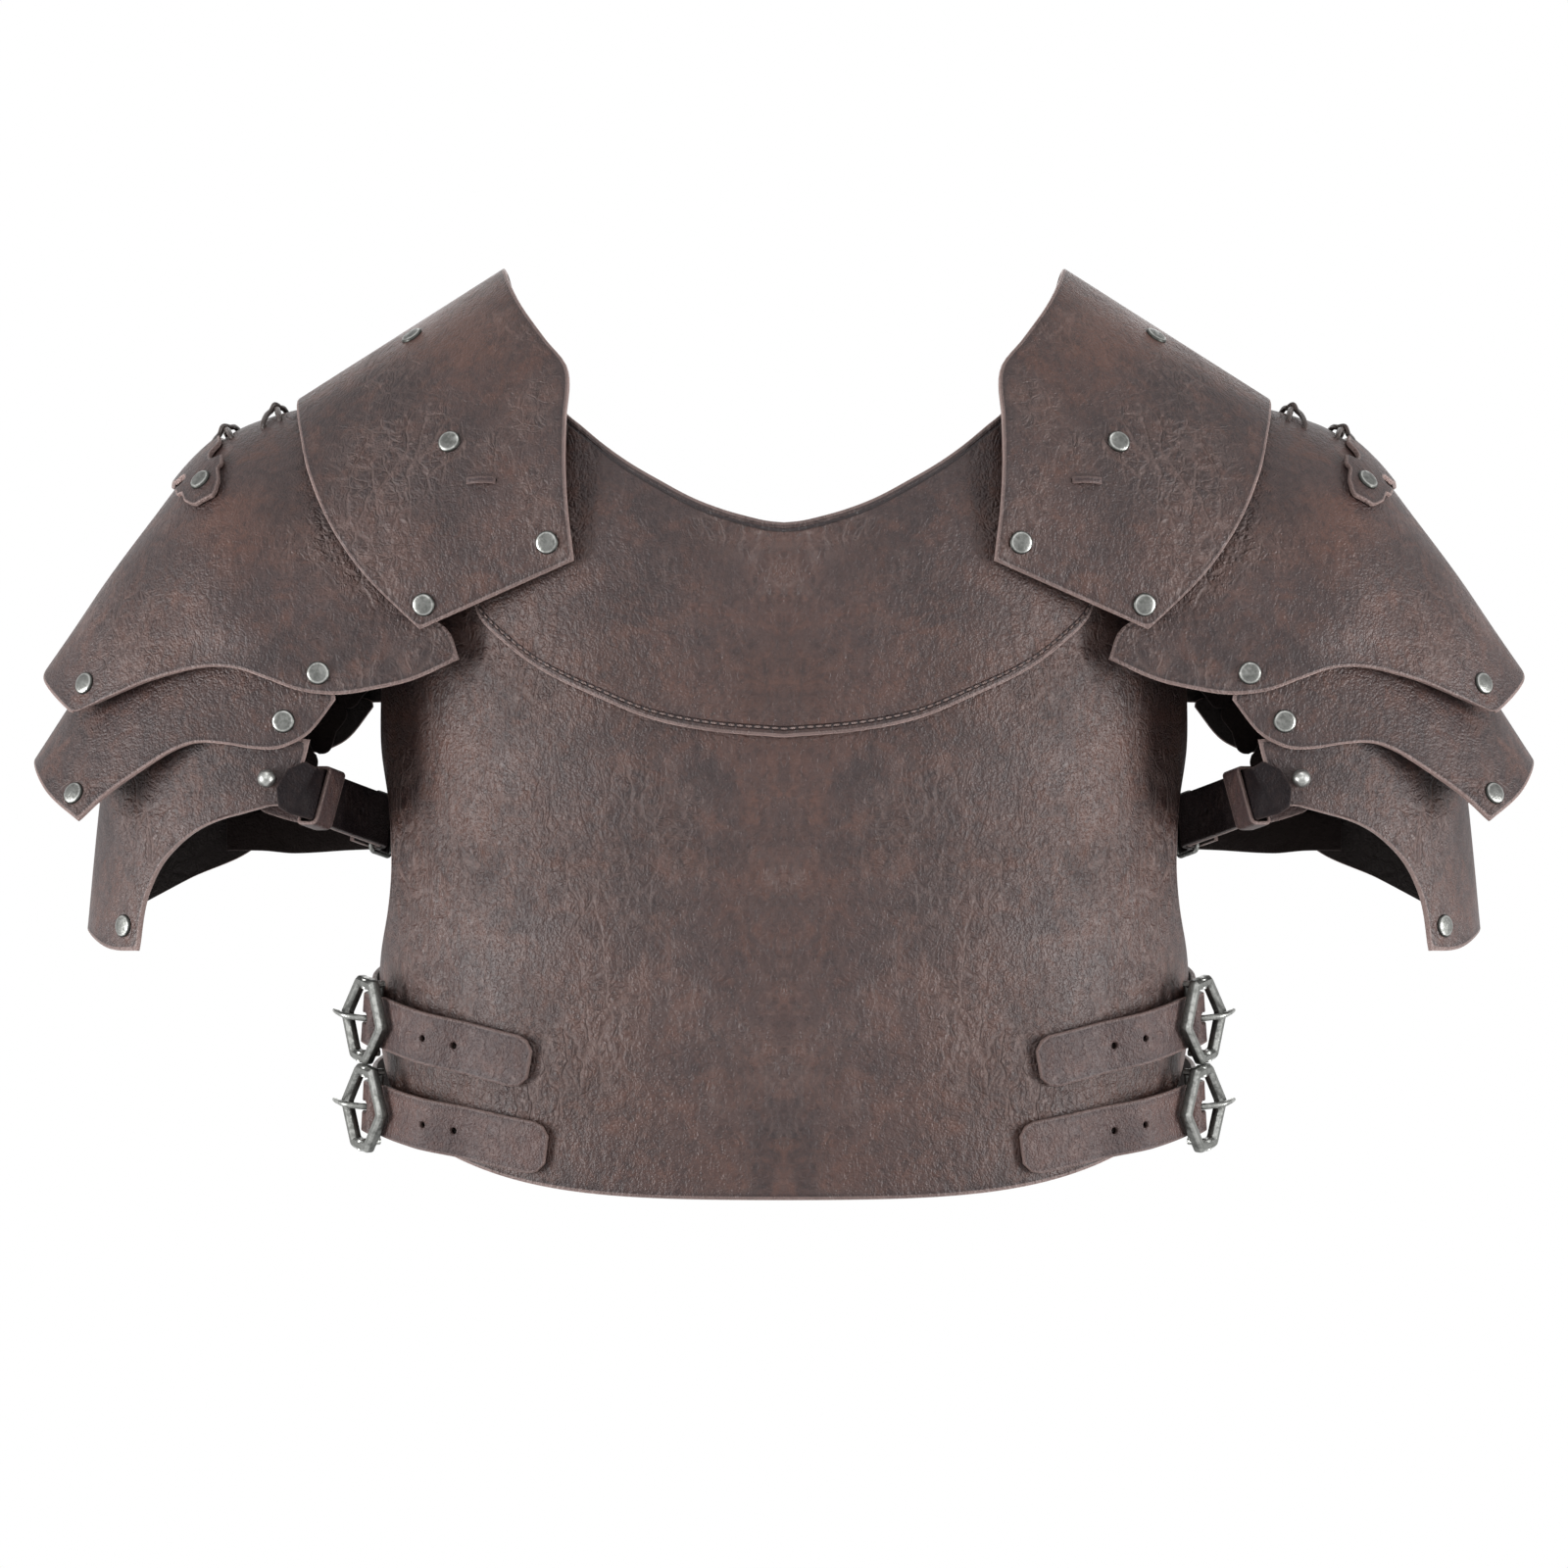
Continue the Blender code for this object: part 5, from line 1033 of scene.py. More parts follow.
@dataclass
class Assembly:
    """One side's pieces: the left side's shapes, mirrored for the right side, and their names."""

    shop: Shop
    chest: Chest
    side: Side

    def own(self, name: str) -> str:
        """Return a name with this side's ending."""
        return name + self.side.tag

    def rivet(self, name: str, body: str, spots: Iterable[Spot]) -> None:
        """Set rivets of this side, at spots of the left side."""
        self.shop.rivets(name, body, [(self.side.turn(place), self.side.turn(out)) for place, out in spots])

    def hole(self, place: Array, way: Array, radius: float) -> Mesh:
        """Return the cutter of a round hole through a strap of this side."""
        ends = np.array([place - way * HOLE_REACH, place + way * HOLE_REACH])
        return tube(self.side.turn(ends), radius, 20)

    def path(self, middle: Array, side: Array, out: Array) -> Path:
        """Return a strap's run as it lies on this side."""
        return Path(*(self.side.turn(part) for part in (middle, side, out)))

    def sheet(self, name: str, body: str, slot: str, grid: Array, outward: Array,
              thickness: float = LEATHER) -> None:
        """Make a plate of this side.

        Args:
            name: the solid that it stands for, without this side's ending.
            body: the body it rides on.
            slot: the record's material slot.
            grid: its outer face, on the left side.
            outward: a rough outward vector for each place.
            thickness: of the leather.
        """
        name = self.own(name)
        piece = leather_sheet(name + "_leather", self.side.turn(grid), self.side.turn(outward), thickness)
        dress(piece, self.shop.plate, slot, body, name)

    def belt(self, name: str, body: str, path: Path, leather: float, columns: int, slot: str,
             finish: Material, cutters: Iterable[Mesh] = ()) -> None:
        """Make a strap of this side.

        Args:
            name: the solid that it stands for.
            body: the body it rides on.
            path: its run, on this side.
            leather: its thickness.
            columns: of its grid.
            slot: the record's material slot.
            finish: its leather.
            cutters: closed meshes to cut out of it, on this side.
        """
        piece = strap(name + "_leather", path, leather, columns)
        for points, faces in cutters:
            carved(piece, points, faces)
        dress(piece, finish, slot, body, name)


# ---- the shoulder armour


@dataclass(frozen=True)
class FrontView:
    """Where the shoulder armour starts, how far it reaches out and how far it hangs."""

    start: float = 0.492 * 0.206
    top: float = 0.0401
    reach: float = 0.28
    drop: float = 0.3455

    def place(self, shares: Array | Pair) -> Array:
        """Turn shares of the reach and the drop into x and z."""
        shares = np.asarray(shares, float)
        return np.stack([self.start + shares[..., 0] * self.reach, self.top - shares[..., 1] * self.drop], -1)


VIEW = FrontView()


def arm_outward(points: Array) -> Array:
    """Return the rough outward directions of the shoulder armour: away from a line along the arm."""
    middle = VIEW.place((0.25, 0.85))
    return np.stack([points[..., 0] - middle[0], points[..., 1] * 2, points[..., 2] - middle[1]], -1)


class Plate:
    """A plate over the arm, read at a share along it and a sweep from -1, its back hem, to 1, its front."""

    name: str

    def point(self, s: Array | float, sweep: Array | float) -> Array:
        """Return points of the outer face."""
        raise NotImplementedError

    def normal(self, s: Array | float, sweep: Array | float) -> Array:
        """Return the outward direction at one place."""
        step = 0.01
        lengthwise = self.point(np.minimum(s + step, 1), sweep) - self.point(np.maximum(s - step, 0), sweep)
        crosswise = self.point(s, sweep + step) - self.point(s, sweep - step)
        out = unit(np.cross(lengthwise, crosswise))
        return out * np.sign((out * arm_outward(self.point(s, sweep))).sum(-1, keepdims=True))

    def grid(self) -> Array:
        """Return the grid of the outer face."""
        return self.point(*np.meshgrid(np.linspace(0, 1, 61), np.linspace(-1, 1, 121), indexing="ij"))

    def spot(self, s: float, sweep: float) -> Spot:
        """Return a rivet's place and outward direction."""
        return self.point(s, sweep), self.normal(s, sweep)

    def spots(self, s: float, sweep: float) -> list[Spot]:
        """Return a rivet on the front half and its twin on the back half."""
        return [self.spot(s, sweep), self.spot(s, -sweep)]

    def front_place(self, s: float, sweep: float) -> Array:
        """Return a rivet's x and z."""
        return self.point(s, sweep)[[0, 2]]


@dataclass
class Lame(Plate):
    """An arched plate, drawn in the front view between its ridge, hem, start and end."""

    name: str
    arch: float
    half_depth: float
    outline: Outline
    back: Outline | None = None

    def half(self, s: Array, sweep: Array, outline: Outline) -> Array:
        """Return points of the outer face, following one outline."""
        ridge, hem, start, end = outline
        q = 1 - np.cos(np.abs(sweep) * QUARTER)
        across, down = s[..., None], q[..., None]
        top, low = ridge.at(s), hem.at(s)
        blended = top * (1 - down) + low * down + start.at(q) * (1 - across) + end.at(q) * across
        for corner, share in ((0.0, 1 - across), (1.0, across)):
            blended -= (ridge.at(corner) * (1 - down) + hem.at(corner) * down) * share
        place, crest = VIEW.place(blended), VIEW.place(top)
        cosine = np.maximum(-0.2, 1 - np.linalg.norm(place - crest, axis=-1) / self.arch)
        depth = self.half_depth * np.sqrt(np.maximum(0.0, 1 - cosine ** 2))
        return np.stack([place[..., 0], -np.sign(sweep) * depth, place[..., 1]], -1)

    def point(self, s: Array | float, sweep: Array | float) -> Array:
        """Return points of the outer face."""
        s, sweep = np.broadcast_arrays(np.asarray(s, float), np.asarray(sweep, float))
        front = self.half(s, sweep, self.outline)
        if self.back is None:
            return front
        return np.where((sweep < 0)[..., None], self.half(s, sweep, self.back), front)


@dataclass
class Cap(Plate):
    """The cap over the shoulder, ruled between its neck edge and its arm edge."""

    name: str
    neck_depth: float
    arm_depth: float
    back_set: float = 0.042
    back_end: float = 0.88
    neck: Curve = Curve((
        (0.0, 0.146, 0.0), (0.077, 0.128, 0.035), (0.17, 0.101, 0.076), (0.283, 0.057, 0.127),
        (0.383, 0.016, 0.172), (0.547, 0.016, 0.246), (0.687, 0.016, 0.309), (0.84, 0.011, 0.377),
        (1.0, 0.0, 0.449)))
    arm: Curve = Curve((
        (0.0, 0.52, 0.193), (0.169, 0.498, 0.252), (0.367, 0.472, 0.321), (0.587, 0.427, 0.398),
        (0.787, 0.365, 0.468), (1.0, 0.27, 0.543)))

    def point(self, s: Array | float, sweep: Array | float) -> Array:
        """Return points of the outer face."""
        s, sweep = np.broadcast_arrays(np.asarray(s, float), np.asarray(sweep, float))
        q = 1 - np.cos(np.abs(sweep) * QUARTER)
        neck = self.neck.at(q)
        bow = np.sin(math.pi * np.minimum(1.0, q / self.back_end))
        neck[..., 0] += np.where(sweep < 0, self.back_set * bow, 0.0)
        place = VIEW.place(neck * (1 - s)[..., None] + self.arm.at(q) * s[..., None])
        depth = self.neck_depth * (1 - s) + self.arm_depth * s
        return np.stack([place[..., 0], -depth * np.sin(sweep * QUARTER), place[..., 1]], -1)


LAME_1 = (
    Curve(((0.0, 0.442, 0.192), (0.13, 0.495, 0.203), (0.27, 0.559, 0.216), (0.4, 0.634, 0.24),
           (0.52, 0.705, 0.288), (0.66, 0.78, 0.365), (0.8, 0.86, 0.452), (0.92, 0.925, 0.53),
           (1.0, 0.973, 0.586))),
    Curve(((0.0, 0.202, 0.584), (0.115, 0.281, 0.613), (0.21, 0.346, 0.626), (0.32, 0.415, 0.634),
           (0.4, 0.477, 0.629), (0.5, 0.54, 0.611), (0.6, 0.597, 0.596), (0.7, 0.662, 0.595),
           (0.8, 0.748, 0.611), (0.9, 0.818, 0.632), (1.0, 0.89, 0.656))),
    Curve(((0.0, 0.442, 0.192), (0.165, 0.431, 0.261), (0.4, 0.395, 0.362), (0.62, 0.345, 0.449),
           (0.76, 0.308, 0.503), (0.9, 0.225, 0.54), (1.0, 0.202, 0.584))),
    Curve(((0.0, 0.973, 0.586), (0.4, 0.965, 0.612), (0.85, 0.905, 0.655), (1.0, 0.89, 0.656))))
LAME_2 = (
    Curve(((0.0, 0.788, 0.469), (0.25, 0.838, 0.523), (0.5, 0.885, 0.581), (0.75, 0.941, 0.65),
           (1.0, 0.999, 0.723))),
    Curve(((0.0, 0.419, 0.641), (0.08, 0.462, 0.686), (0.16, 0.5, 0.705), (0.24, 0.53, 0.711),
           (0.33, 0.57, 0.709), (0.43, 0.615, 0.703), (0.54, 0.666, 0.701), (0.64, 0.709, 0.712),
           (0.75, 0.76, 0.736), (0.88, 0.832, 0.775), (1.0, 0.882, 0.811))),
    Curve(((0.0, 0.788, 0.469), (0.2, 0.71, 0.492), (0.42, 0.622, 0.528), (0.64, 0.54, 0.576),
           (0.82, 0.47, 0.619), (0.94, 0.424, 0.63), (1.0, 0.419, 0.641))),
    Curve(((0.0, 0.999, 0.723), (0.5, 0.946, 0.773), (1.0, 0.882, 0.811))))
LAME_3_RIDGE = Curve(((0.0, 0.856, 0.66), (0.2, 0.869, 0.718), (0.4, 0.88, 0.78), (0.7, 0.892, 0.875),
                      (1.0, 0.903, 0.972)))
LAME_3 = (
    LAME_3_RIDGE,
    Curve(((0.0, 0.465, 0.697), (0.09, 0.478, 0.735), (0.18, 0.51, 0.786), (0.25, 0.534, 0.791),
           (0.34, 0.576, 0.8), (0.45, 0.63, 0.812), (0.55, 0.672, 0.828), (0.65, 0.71, 0.852),
           (0.75, 0.738, 0.878), (0.85, 0.762, 0.916), (0.93, 0.773, 0.949), (1.0, 0.781, 0.998))),
    Curve(((0.0, 0.856, 0.66), (0.25, 0.764, 0.661), (0.5, 0.675, 0.667), (0.72, 0.585, 0.677),
           (0.88, 0.525, 0.691), (1.0, 0.465, 0.697))),
    Curve(((0.0, 0.903, 0.972), (0.5, 0.842, 0.996), (1.0, 0.781, 0.998))))
LAME_3_BACK = (
    LAME_3_RIDGE,
    Curve(((0.0, 0.617, 0.695), (0.15, 0.629, 0.803), (0.27, 0.638, 0.854), (0.6, 0.762, 0.904),
           (1.0, 0.886, 0.962))),
    Curve(((0.0, 0.856, 0.66), (0.5, 0.74, 0.668), (1.0, 0.617, 0.695))),
    Curve(((0.0, 0.903, 0.972), (1.0, 0.886, 0.962))))


def arm_plates(chest: Chest) -> tuple[Cap, Lame, Lame, Lame]:
    """Return the left arm's cap and its three lames."""
    corner = VIEW.place((0.0, 0.449))
    lapped = 2.5 * LEATHER + GAP + LAME_GAP + YOKE_GAP
    step = LEATHER + LAME_GAP
    return (Cap("shoulder_cap", float(chest.depth(corner[0], corner[1])) + lapped, ARM_DEPTH + step),
            Lame("lame_1", 0.15, ARM_DEPTH, LAME_1), Lame("lame_2", 0.119, ARM_DEPTH - step, LAME_2),
            Lame("lame_3", 0.107, ARM_DEPTH - 2 * step, LAME_3, LAME_3_BACK))


CAP_ARM_RIVET = (0.875, 0.96)
CAP_RIDGE_RIVET = (0.45, 0.215)
CAP_PAIRS = ((0.47, 0.64), (0.13, 0.945), CAP_ARM_RIVET)
FRONT_RIVETS = ((0.35, 0.955), (0.105, 0.905), (0.13, 0.935))
SIDE_RIVETS = ((0.925, 0.815), (0.935, 0.835), (0.945, 0.835))
TAB_RIVET = (0.465, 0.385)
BACK_RIVET = (0.245, -0.925)


def solid_tree(node: str) -> BVHTree:
    """Return a search tree of a solid of the frame."""
    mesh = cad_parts[node].data
    return BVHTree.FromPolygons([v.co[:] for v in mesh.vertices], [p.vertices[:] for p in mesh.polygons])


def inner_depth(place: Array, trees: Iterable[BVHTree], facing: float, spread: float) -> float:
    """Return how far out the innermost face lies near a place of the front view.

    Args:
        place: x and z.
        trees: the solids to look at.
        facing: 1 for the front half, -1 for the back half.
        spread: how far round the place to look.

    Returns:
        The distance from the middle plane.
    """
    found = []
    for dx in (-spread, 0.0, spread):
        for dz in (-spread, 0.0, spread):
            start = Vector((place[0] + dx, 0.0, place[1] + dz))
            hits = [tree.ray_cast(start, Vector((0.0, -facing, 0.0)))[0] for tree in trees]
            found += [abs(hit.y) for hit in hits if hit is not None]
    return min(found)


def upright(run: Array, out: Array, half: float) -> Array:
    """Return the half-width vector of a strap: upright, and square to its run."""
    side = unit(np.cross(out, run))
    return side * half * (1.0 if side[2] >= 0 else -1.0)


@dataclass
class ShoulderArmour(Assembly):
    """One side's cap and lames, with what is riveted and laced to them."""

    hanger_width: float = 0.014
    hanger_leather: float = 0.002
    hanger_gap: float = 0.0009
    hanger_stations: int = 61
    lace_radius: float = 0.0014
    lace_places: tuple[tuple[str, float], ...] = (("upper", 0.25), ("lower", 0.405))
    tab_leather: float = 0.0026
    tab_half_length: float = 0.0155
    tab_sweep: float = 0.47
    tab_lift: float = 0.0008
    tab_place: float = 0.52
    tab_end_place: float = 0.457
    tab_grid: tuple[int, int] = (161, 21)
    tab_outline: Rows = (
        (0.0, 1.0), (0.2, 0.99), (0.42, 0.97), (0.47, 0.9), (0.52, 0.62), (0.56, 0.52), (0.62, 0.5),
        (0.655, 0.55), (0.675, 0.98), (0.76, 0.96), (0.785, 0.76), (0.9, 0.72), (0.97, 0.52), (1.0, 0.34))
    thong: Pair = (0.365, 0.765)
    thong_length: float = 0.015
    thong_half_width: float = 0.0017
    thong_leather: float = 0.0013
    thong_lifts: Pair = (0.0009, 0.0015)
    slit_depth: float = 0.0012
    slit_reach: Pair = (0.0022, 0.0012)
    slit_radii: Triple = (0.0012, 0.0019, 0.001)
    lace_knots: tuple[Rows, ...] = (
        ((0.024, -0.05, -0.001), (0.02, 0.0, 0.003), (0.01, 0.07, 0.0032), (-0.001, 0.13, 0.0026),
         (-0.007, 0.175, 0.001), (-0.008, 0.185, -0.002)),
        ((0.05, 0.21, -0.002), (0.048, 0.19, 0.0012), (0.04, 0.13, 0.0026), (0.028, 0.08, 0.0032),
         (0.012, 0.07, 0.0054), (0.000, 0.06, 0.0032), (-0.008, 0.03, 0.0022), (-0.01, -0.03, -0.001)))

    def __post_init__(self) -> None:
        """Lay out the plates."""
        self.cap, *self.lames = self.plates = arm_plates(self.chest)

    def body(self, plate: Plate) -> str:
        """Return the body that a plate belongs to."""
        return self.own("cap" if plate is self.cap else plate.name + "_body")

    def build(self) -> None:
        """Make every piece of this side's shoulder armour."""
        for plate in self.plates:
            grid = plate.grid()
            self.sheet(plate.name, self.body(plate), "plate_leather", grid, arm_outward(grid))
        self.hangers()
        self.rivets()
        self.tab()
        self.laces()
        self.lay_thong()

    def rivets(self) -> None:
        """Set the rivets of the cap and of each lame."""
        pairs = (spot for pair in CAP_PAIRS for spot in self.cap.spots(*pair))
        self.rivet(self.own("cap_rivets"), self.body(self.cap), [self.cap.spot(*CAP_RIDGE_RIVET), *pairs])
        first, _, last = self.lames
        for lame, side_pair, front_pair in zip(self.lames, SIDE_RIVETS, FRONT_RIVETS):
            spots = lame.spots(*side_pair)
            spots += [lame.spot(*BACK_RIVET)] if lame is last else lame.spots(*front_pair)
            if lame is first:
                spots += [(place + out * (self.tab_leather + self.tab_lift), out)
                          for place, out in lame.spots(*TAB_RIVET)]
            self.rivet(self.own(lame.name + "_rivets"), self.body(lame), spots)

    def hangers(self) -> None:
        """Make the straps inside the plates that carry each one from the one above."""
        trees = [solid_tree(plate.name + "_left") for plate in self.plates]
        rivets = [plate.front_place(*shares)
                  for plate, shares in zip(self.plates, (CAP_ARM_RIVET, *FRONT_RIVETS))]
        hinges = [(a + b) / 2 for a, b in zip(rivets, rivets[1:])]
        reach = self.hanger_width / 2
        first = rivets[0] + unit(rivets[0] - hinges[0]) * reach
        for facing, way in ((1.0, "front"), (-1.0, "back")):
            middles = [*rivets[:3], rivets[3] if facing > 0 else self.lames[2].front_place(*BACK_RIVET)]
            stops = [first, *hinges, middles[3] + unit(middles[3] - hinges[2]) * reach]
            for k, plate in enumerate(self.plates):
                run = stops[k], middles[k], stops[k + 1]
                near = trees[max(k - 1, 0):k + 2]
                depth = min(inner_depth(stop, near, facing, reach) for stop in run) - self.hanger_gap
                self.belt(self.own(f"{plate.name.replace('shoulder_', '')}_hanger_{way}"), self.body(plate),
                          self.hanger_path(*run, facing, depth), self.hanger_leather, 7, "dark_leather",
                          self.shop.dark)

    def hanger_path(self, start: Array, middle: Array, stop: Array, facing: float, depth: float) -> Path:
        """Return a hanger's run from one rounded end to the other."""
        half = self.hanger_width / 2
        t = np.linspace(0, 1, self.hanger_stations)[:, None]
        first, second = middle - start, stop - middle
        split = np.linalg.norm(first) / (np.linalg.norm(first) + np.linalg.norm(second))
        flat = np.where(t < split, start + first * t / split, middle + second * (t - split) / (1 - split))
        near = np.minimum(t, 1 - t)[:, 0] * np.linalg.norm(stop - start)
        width = np.sqrt(np.clip(1 - (1 - np.minimum(near / half, 1)) ** 2, 0.06, 1))
        run = unit(stop - start)
        middle_line = np.stack([flat[:, 0], np.full(len(flat), -facing * depth), flat[:, 1]], -1)
        side = np.array([-run[1], 0.0, run[0]]) * half * width[:, None]
        return self.path(middle_line, side, np.repeat(np.array([[0.0, -facing, 0.0]]), len(flat), axis=0))

    def tab(self) -> None:
        """Make the tab that straddles the first lame's ridge, narrow at its waists, lobed at its ends."""
        lame = self.lames[0]
        rows, columns = self.tab_grid
        share = np.linspace(-1, 1, rows)
        width = np.interp(np.abs(share), *np.array(self.tab_outline).T)
        sweep = share * self.tab_sweep
        place = self.tab_place + (self.tab_end_place - self.tab_place) * np.abs(share)
        reach = self.tab_half_length / float(np.linalg.norm(lame.point(1.0, 0.0) - lame.point(0.0, 0.0)))
        centre = place[:, None] + reach * np.linspace(-1, 1, columns)[None, :] * width[:, None]
        out = lame.normal(place, sweep)[:, None]
        grid = lame.point(centre, sweep[:, None]) + out * (self.tab_leather + self.tab_lift)
        self.sheet("ridge_tab", self.body(lame), "strap_leather", grid, np.repeat(out, columns, axis=1),
                   self.tab_leather)

    def laces(self) -> None:
        """Lay the two lacings over the first lame's ridge."""
        lame = self.lames[0]
        for label, s in self.lace_places:
            name = self.own(f"ridge_lace_{label}")
            paths = [self.side.turn(path) for path in self.lace_paths(lame, s)]
            self.shop.laid(self.shop.cords, self.shop.cord, name + "_cord", self.body(lame),
                           [(path, np.zeros_like(path)) for path in paths], name, Radius=self.lace_radius)

    def lace_paths(self, lame: Plate, s: float) -> list[Array]:
        """Return a lacing's bar over the ridge and its loose loop down to its hole."""
        paths = []
        for rows in self.lace_knots:
            table = Curve(tuple((k / (len(rows) - 1), *row) for k, row in enumerate(rows)))
            drift, swing, lift = table.at(np.linspace(0, 1, 41)).T
            paths.append(lame.point(s + drift, swing) + lame.normal(s + drift, swing) * lift[:, None])
        return paths

    def lay_thong(self) -> None:
        """Lay the short thong on the cap; two dark pieces of painted shade mark the cuts it comes out of."""
        s, sweep = self.thong
        place, out = self.cap.point(s, sweep), self.cap.normal(s, sweep)
        run = unit(np.array([1.0, 0.0, 0.05]) - out * (out[0] + out[2] * 0.05))
        step = 0.001
        slopes = np.array([self.cap.point(s + step, sweep), self.cap.point(s, sweep + step)]) - place
        share, swing = np.linalg.lstsq(slopes.T / step, run, rcond=None)[0]
        t = np.linspace(-0.5, 0.5, 31)
        skin = self.cap.point(s + share * self.thong_length * t, sweep + swing * self.thong_length * t)
        low, crown = self.thong_lifts
        outs = np.repeat(out[None], len(t), axis=0)
        path = self.path(skin + out * (low + crown * np.cos(t * math.pi))[:, None],
                         np.cross(outs, run) * self.thong_half_width, outs)
        self.belt(self.own("cap_thong"), self.body(self.cap), path, self.thong_leather, 5, "strap_leather",
                  self.shop.strap)
        # painted shade: dark plugs sunk at the thong's two ends stand for the shade inside its cuts through
        # the cap
        outer, inner = self.slit_reach
        shade_tubes = []
        for end, way in ((skin[1], -1.0), (skin[-2], 1.0)):
            mouth = end - out * self.slit_depth
            line = np.array([mouth - run * way * outer, mouth, mouth + run * way * inner])
            shade_tubes.append(tube(self.side.turn(line), np.array(self.slit_radii)))
        points, faces = joined(shade_tubes)
        shade_plug = closed_object(self.own("cap_slits"), points, faces, "flesh", np.ones(len(points)))
        dress(shade_plug, self.shop.dark, "dark_leather", self.body(self.cap))


# ---- side straps and buckles


@dataclass
class SideStrap(Assembly):
    """One of the straps round the side, with its buckle and the chape that holds it."""

    label: str
    drop: float
    width: float = 0.0255
    slope: float = 0.19
    turn: float = math.radians(72)
    tilt: float = math.radians(8)
    rise: float = 0.0026
    plate_gap: float = 0.001
    tip_arc: float = 0.098
    tip_lengths: Triple = (0.0, 0.0036, 0.008)
    tip_widths: Triple = (0.52, 0.88, 1.0)
    back_arc: float = 0.132
    stations: int = 223
    hole_arcs: Pair = (-0.04, -0.056)
    hole_radius: float = 0.0018
    tongue_hole_shares: Triple = (0.025, 0.1, 0.18)
    tongue_hole_radius: float = 0.0033
    buckle_length: float = 0.04
    buckle_height: float = 0.043
    corner_cut: float = 0.0016
    rim: float = 0.0056
    rim_gap: float = 0.0016
    thickness: float = 0.0052
    flat_share: float = 0.36
    bar_radius: float = 0.0017
    knuckle: Rows = (
        (-0.0029, 0.002), (-0.0026, 0.0028), (0.0024, 0.0028), (0.0029, 0.002))
    post_inset: float = 0.0012
    chape_width: float = 0.02
    chape_length: float = 0.034
    chape_leather: float = 0.0022
    chape_slot: float = 0.0044
    tongue_radius: float = 0.0013

    @property
    def bar_lift(self) -> float:
        """Return the lift of the buckle's bar over the plate."""
        return self.chape_leather + GAP * 2 + self.bar_radius + self.rise

    @property
    def rim_lift(self) -> float:
        """Return the lift of the underside of the buckle's rim."""
        return 2 * self.chape_leather + self.rim_gap + STRAP_LEATHER + 5 * GAP

    @property
    def rim_height(self) -> float:
        """Return the height of the rim's underside over the bar, in the buckle's own frame."""
        return self.rim_lift - self.bar_lift + math.sin(self.tilt) * self.buckle_length / 2

    def frame_at(self, arc: Array | float, lift: Array | float) -> tuple[Array, Array, Array, Array]:
        """Return the strap's middle, outward, upward and forward directions at arcs from the buckle."""
        arc = np.atleast_1d(np.asarray(arc, float))
        turn = self.chest.turn_after(self.turn, arc)
        wide, deep = self.chest.half_width, self.chest.half_depth
        zero = np.zeros_like(turn)
        out = unit(np.stack([np.sin(turn) / wide, -np.cos(turn) / deep, zero], -1))
        place = np.stack([wide * np.sin(turn), -deep * np.cos(turn), self.slope * arc - self.drop], -1)
        place[:, :2] += (out * np.reshape(lift, (-1, 1)))[:, :2]
        level = unit(np.stack([np.cos(turn) * wide, np.sin(turn) * deep, zero], -1))
        run = unit(level + np.array([0.0, 0.0, self.slope]))
        return place, out, -np.cross(run, out), run

    def lifts(self, arc: Array) -> Array:
        """Return the lift of the strap's outer face as it weaves through the buckle."""
        low = STRAP_LEATHER + self.plate_gap
        over_bar = self.bar_lift + self.bar_radius + self.chape_leather + STRAP_LEATHER + 2 * GAP
        over_chape = self.rim_lift - GAP
        half = self.buckle_length / 2
        rows = np.array((
            (-self.tip_arc, low), (-self.chape_length - half * 1.6, low),
            (-self.chape_length * 1.05, over_chape), (-half * 1.1, over_chape), (-half * 0.4, over_chape),
            (-half * 0.16, over_bar), (half * 0.16, over_bar), (half * 0.62, low + self.chape_leather),
            (half * 1.1, low), (half * 1.8, low), (self.back_arc, low)))
        spot = np.clip(np.searchsorted(rows[:, 0], arc) - 1, 0, len(rows) - 2)
        t = np.clip((arc - rows[spot, 0]) / (rows[spot + 1, 0] - rows[spot, 0]), 0, 1)
        t = t * t * (3 - 2 * t)
        return rows[spot, 1] * (1 - t) + rows[spot + 1, 1] * t

    def name(self, kind: str) -> str:
        """Return the name of one of this strap's pieces."""
        return self.own(f"{kind}_{self.label}")

    def outer_spot(self, arc: float, lift: float | None = None) -> tuple[Array, Array]:
        """Return a place on the strap's outer face, or at another lift, and its outward direction."""
        place, out, _, _ = self.frame_at(arc, self.lifts(np.array([arc]))[0] if lift is None else lift)
        return place[0], out[0]

    def build(self) -> None:
        """Make the strap, the chape, the buckle's frame, its tongue and the rivets."""
        self.strap()
        self.chape()
        self.buckle()
        self.tongue()
        spots = (self.outer_spot(-self.chape_length * 0.72, 2 * self.chape_leather + 2 * GAP),
                 self.outer_spot(self.back_arc * 0.78), self.outer_spot(self.back_arc * 0.93))
        self.rivet(self.name("strap_rivets"), "chest", spots)

    def strap(self) -> None:
        """Make the strap, woven through the buckle, with its punched holes and its clipped tip."""
        tip = np.array(self.tip_lengths) - self.tip_arc
        arc = np.unique(np.concatenate([np.linspace(-self.tip_arc, self.back_arc, self.stations), tip[1:]]))
        width = np.interp(arc, tip, self.tip_widths)
        place, out, up, _ = self.frame_at(arc, self.lifts(arc))
        tongue_holes = (self.buckle_length * share for share in self.tongue_hole_shares)
        cutters = [self.hole(*self.outer_spot(arc), radius)
                   for arcs, radius in ((self.hole_arcs, self.hole_radius),
                                        (tongue_holes, self.tongue_hole_radius)) for arc in arcs]
        path = self.path(place, up * self.width / 2 * width[:, None], out)
        self.belt(self.name("side_strap"), "chest", path, STRAP_LEATHER, 17, "strap_leather",
                  self.shop.strap, cutters)

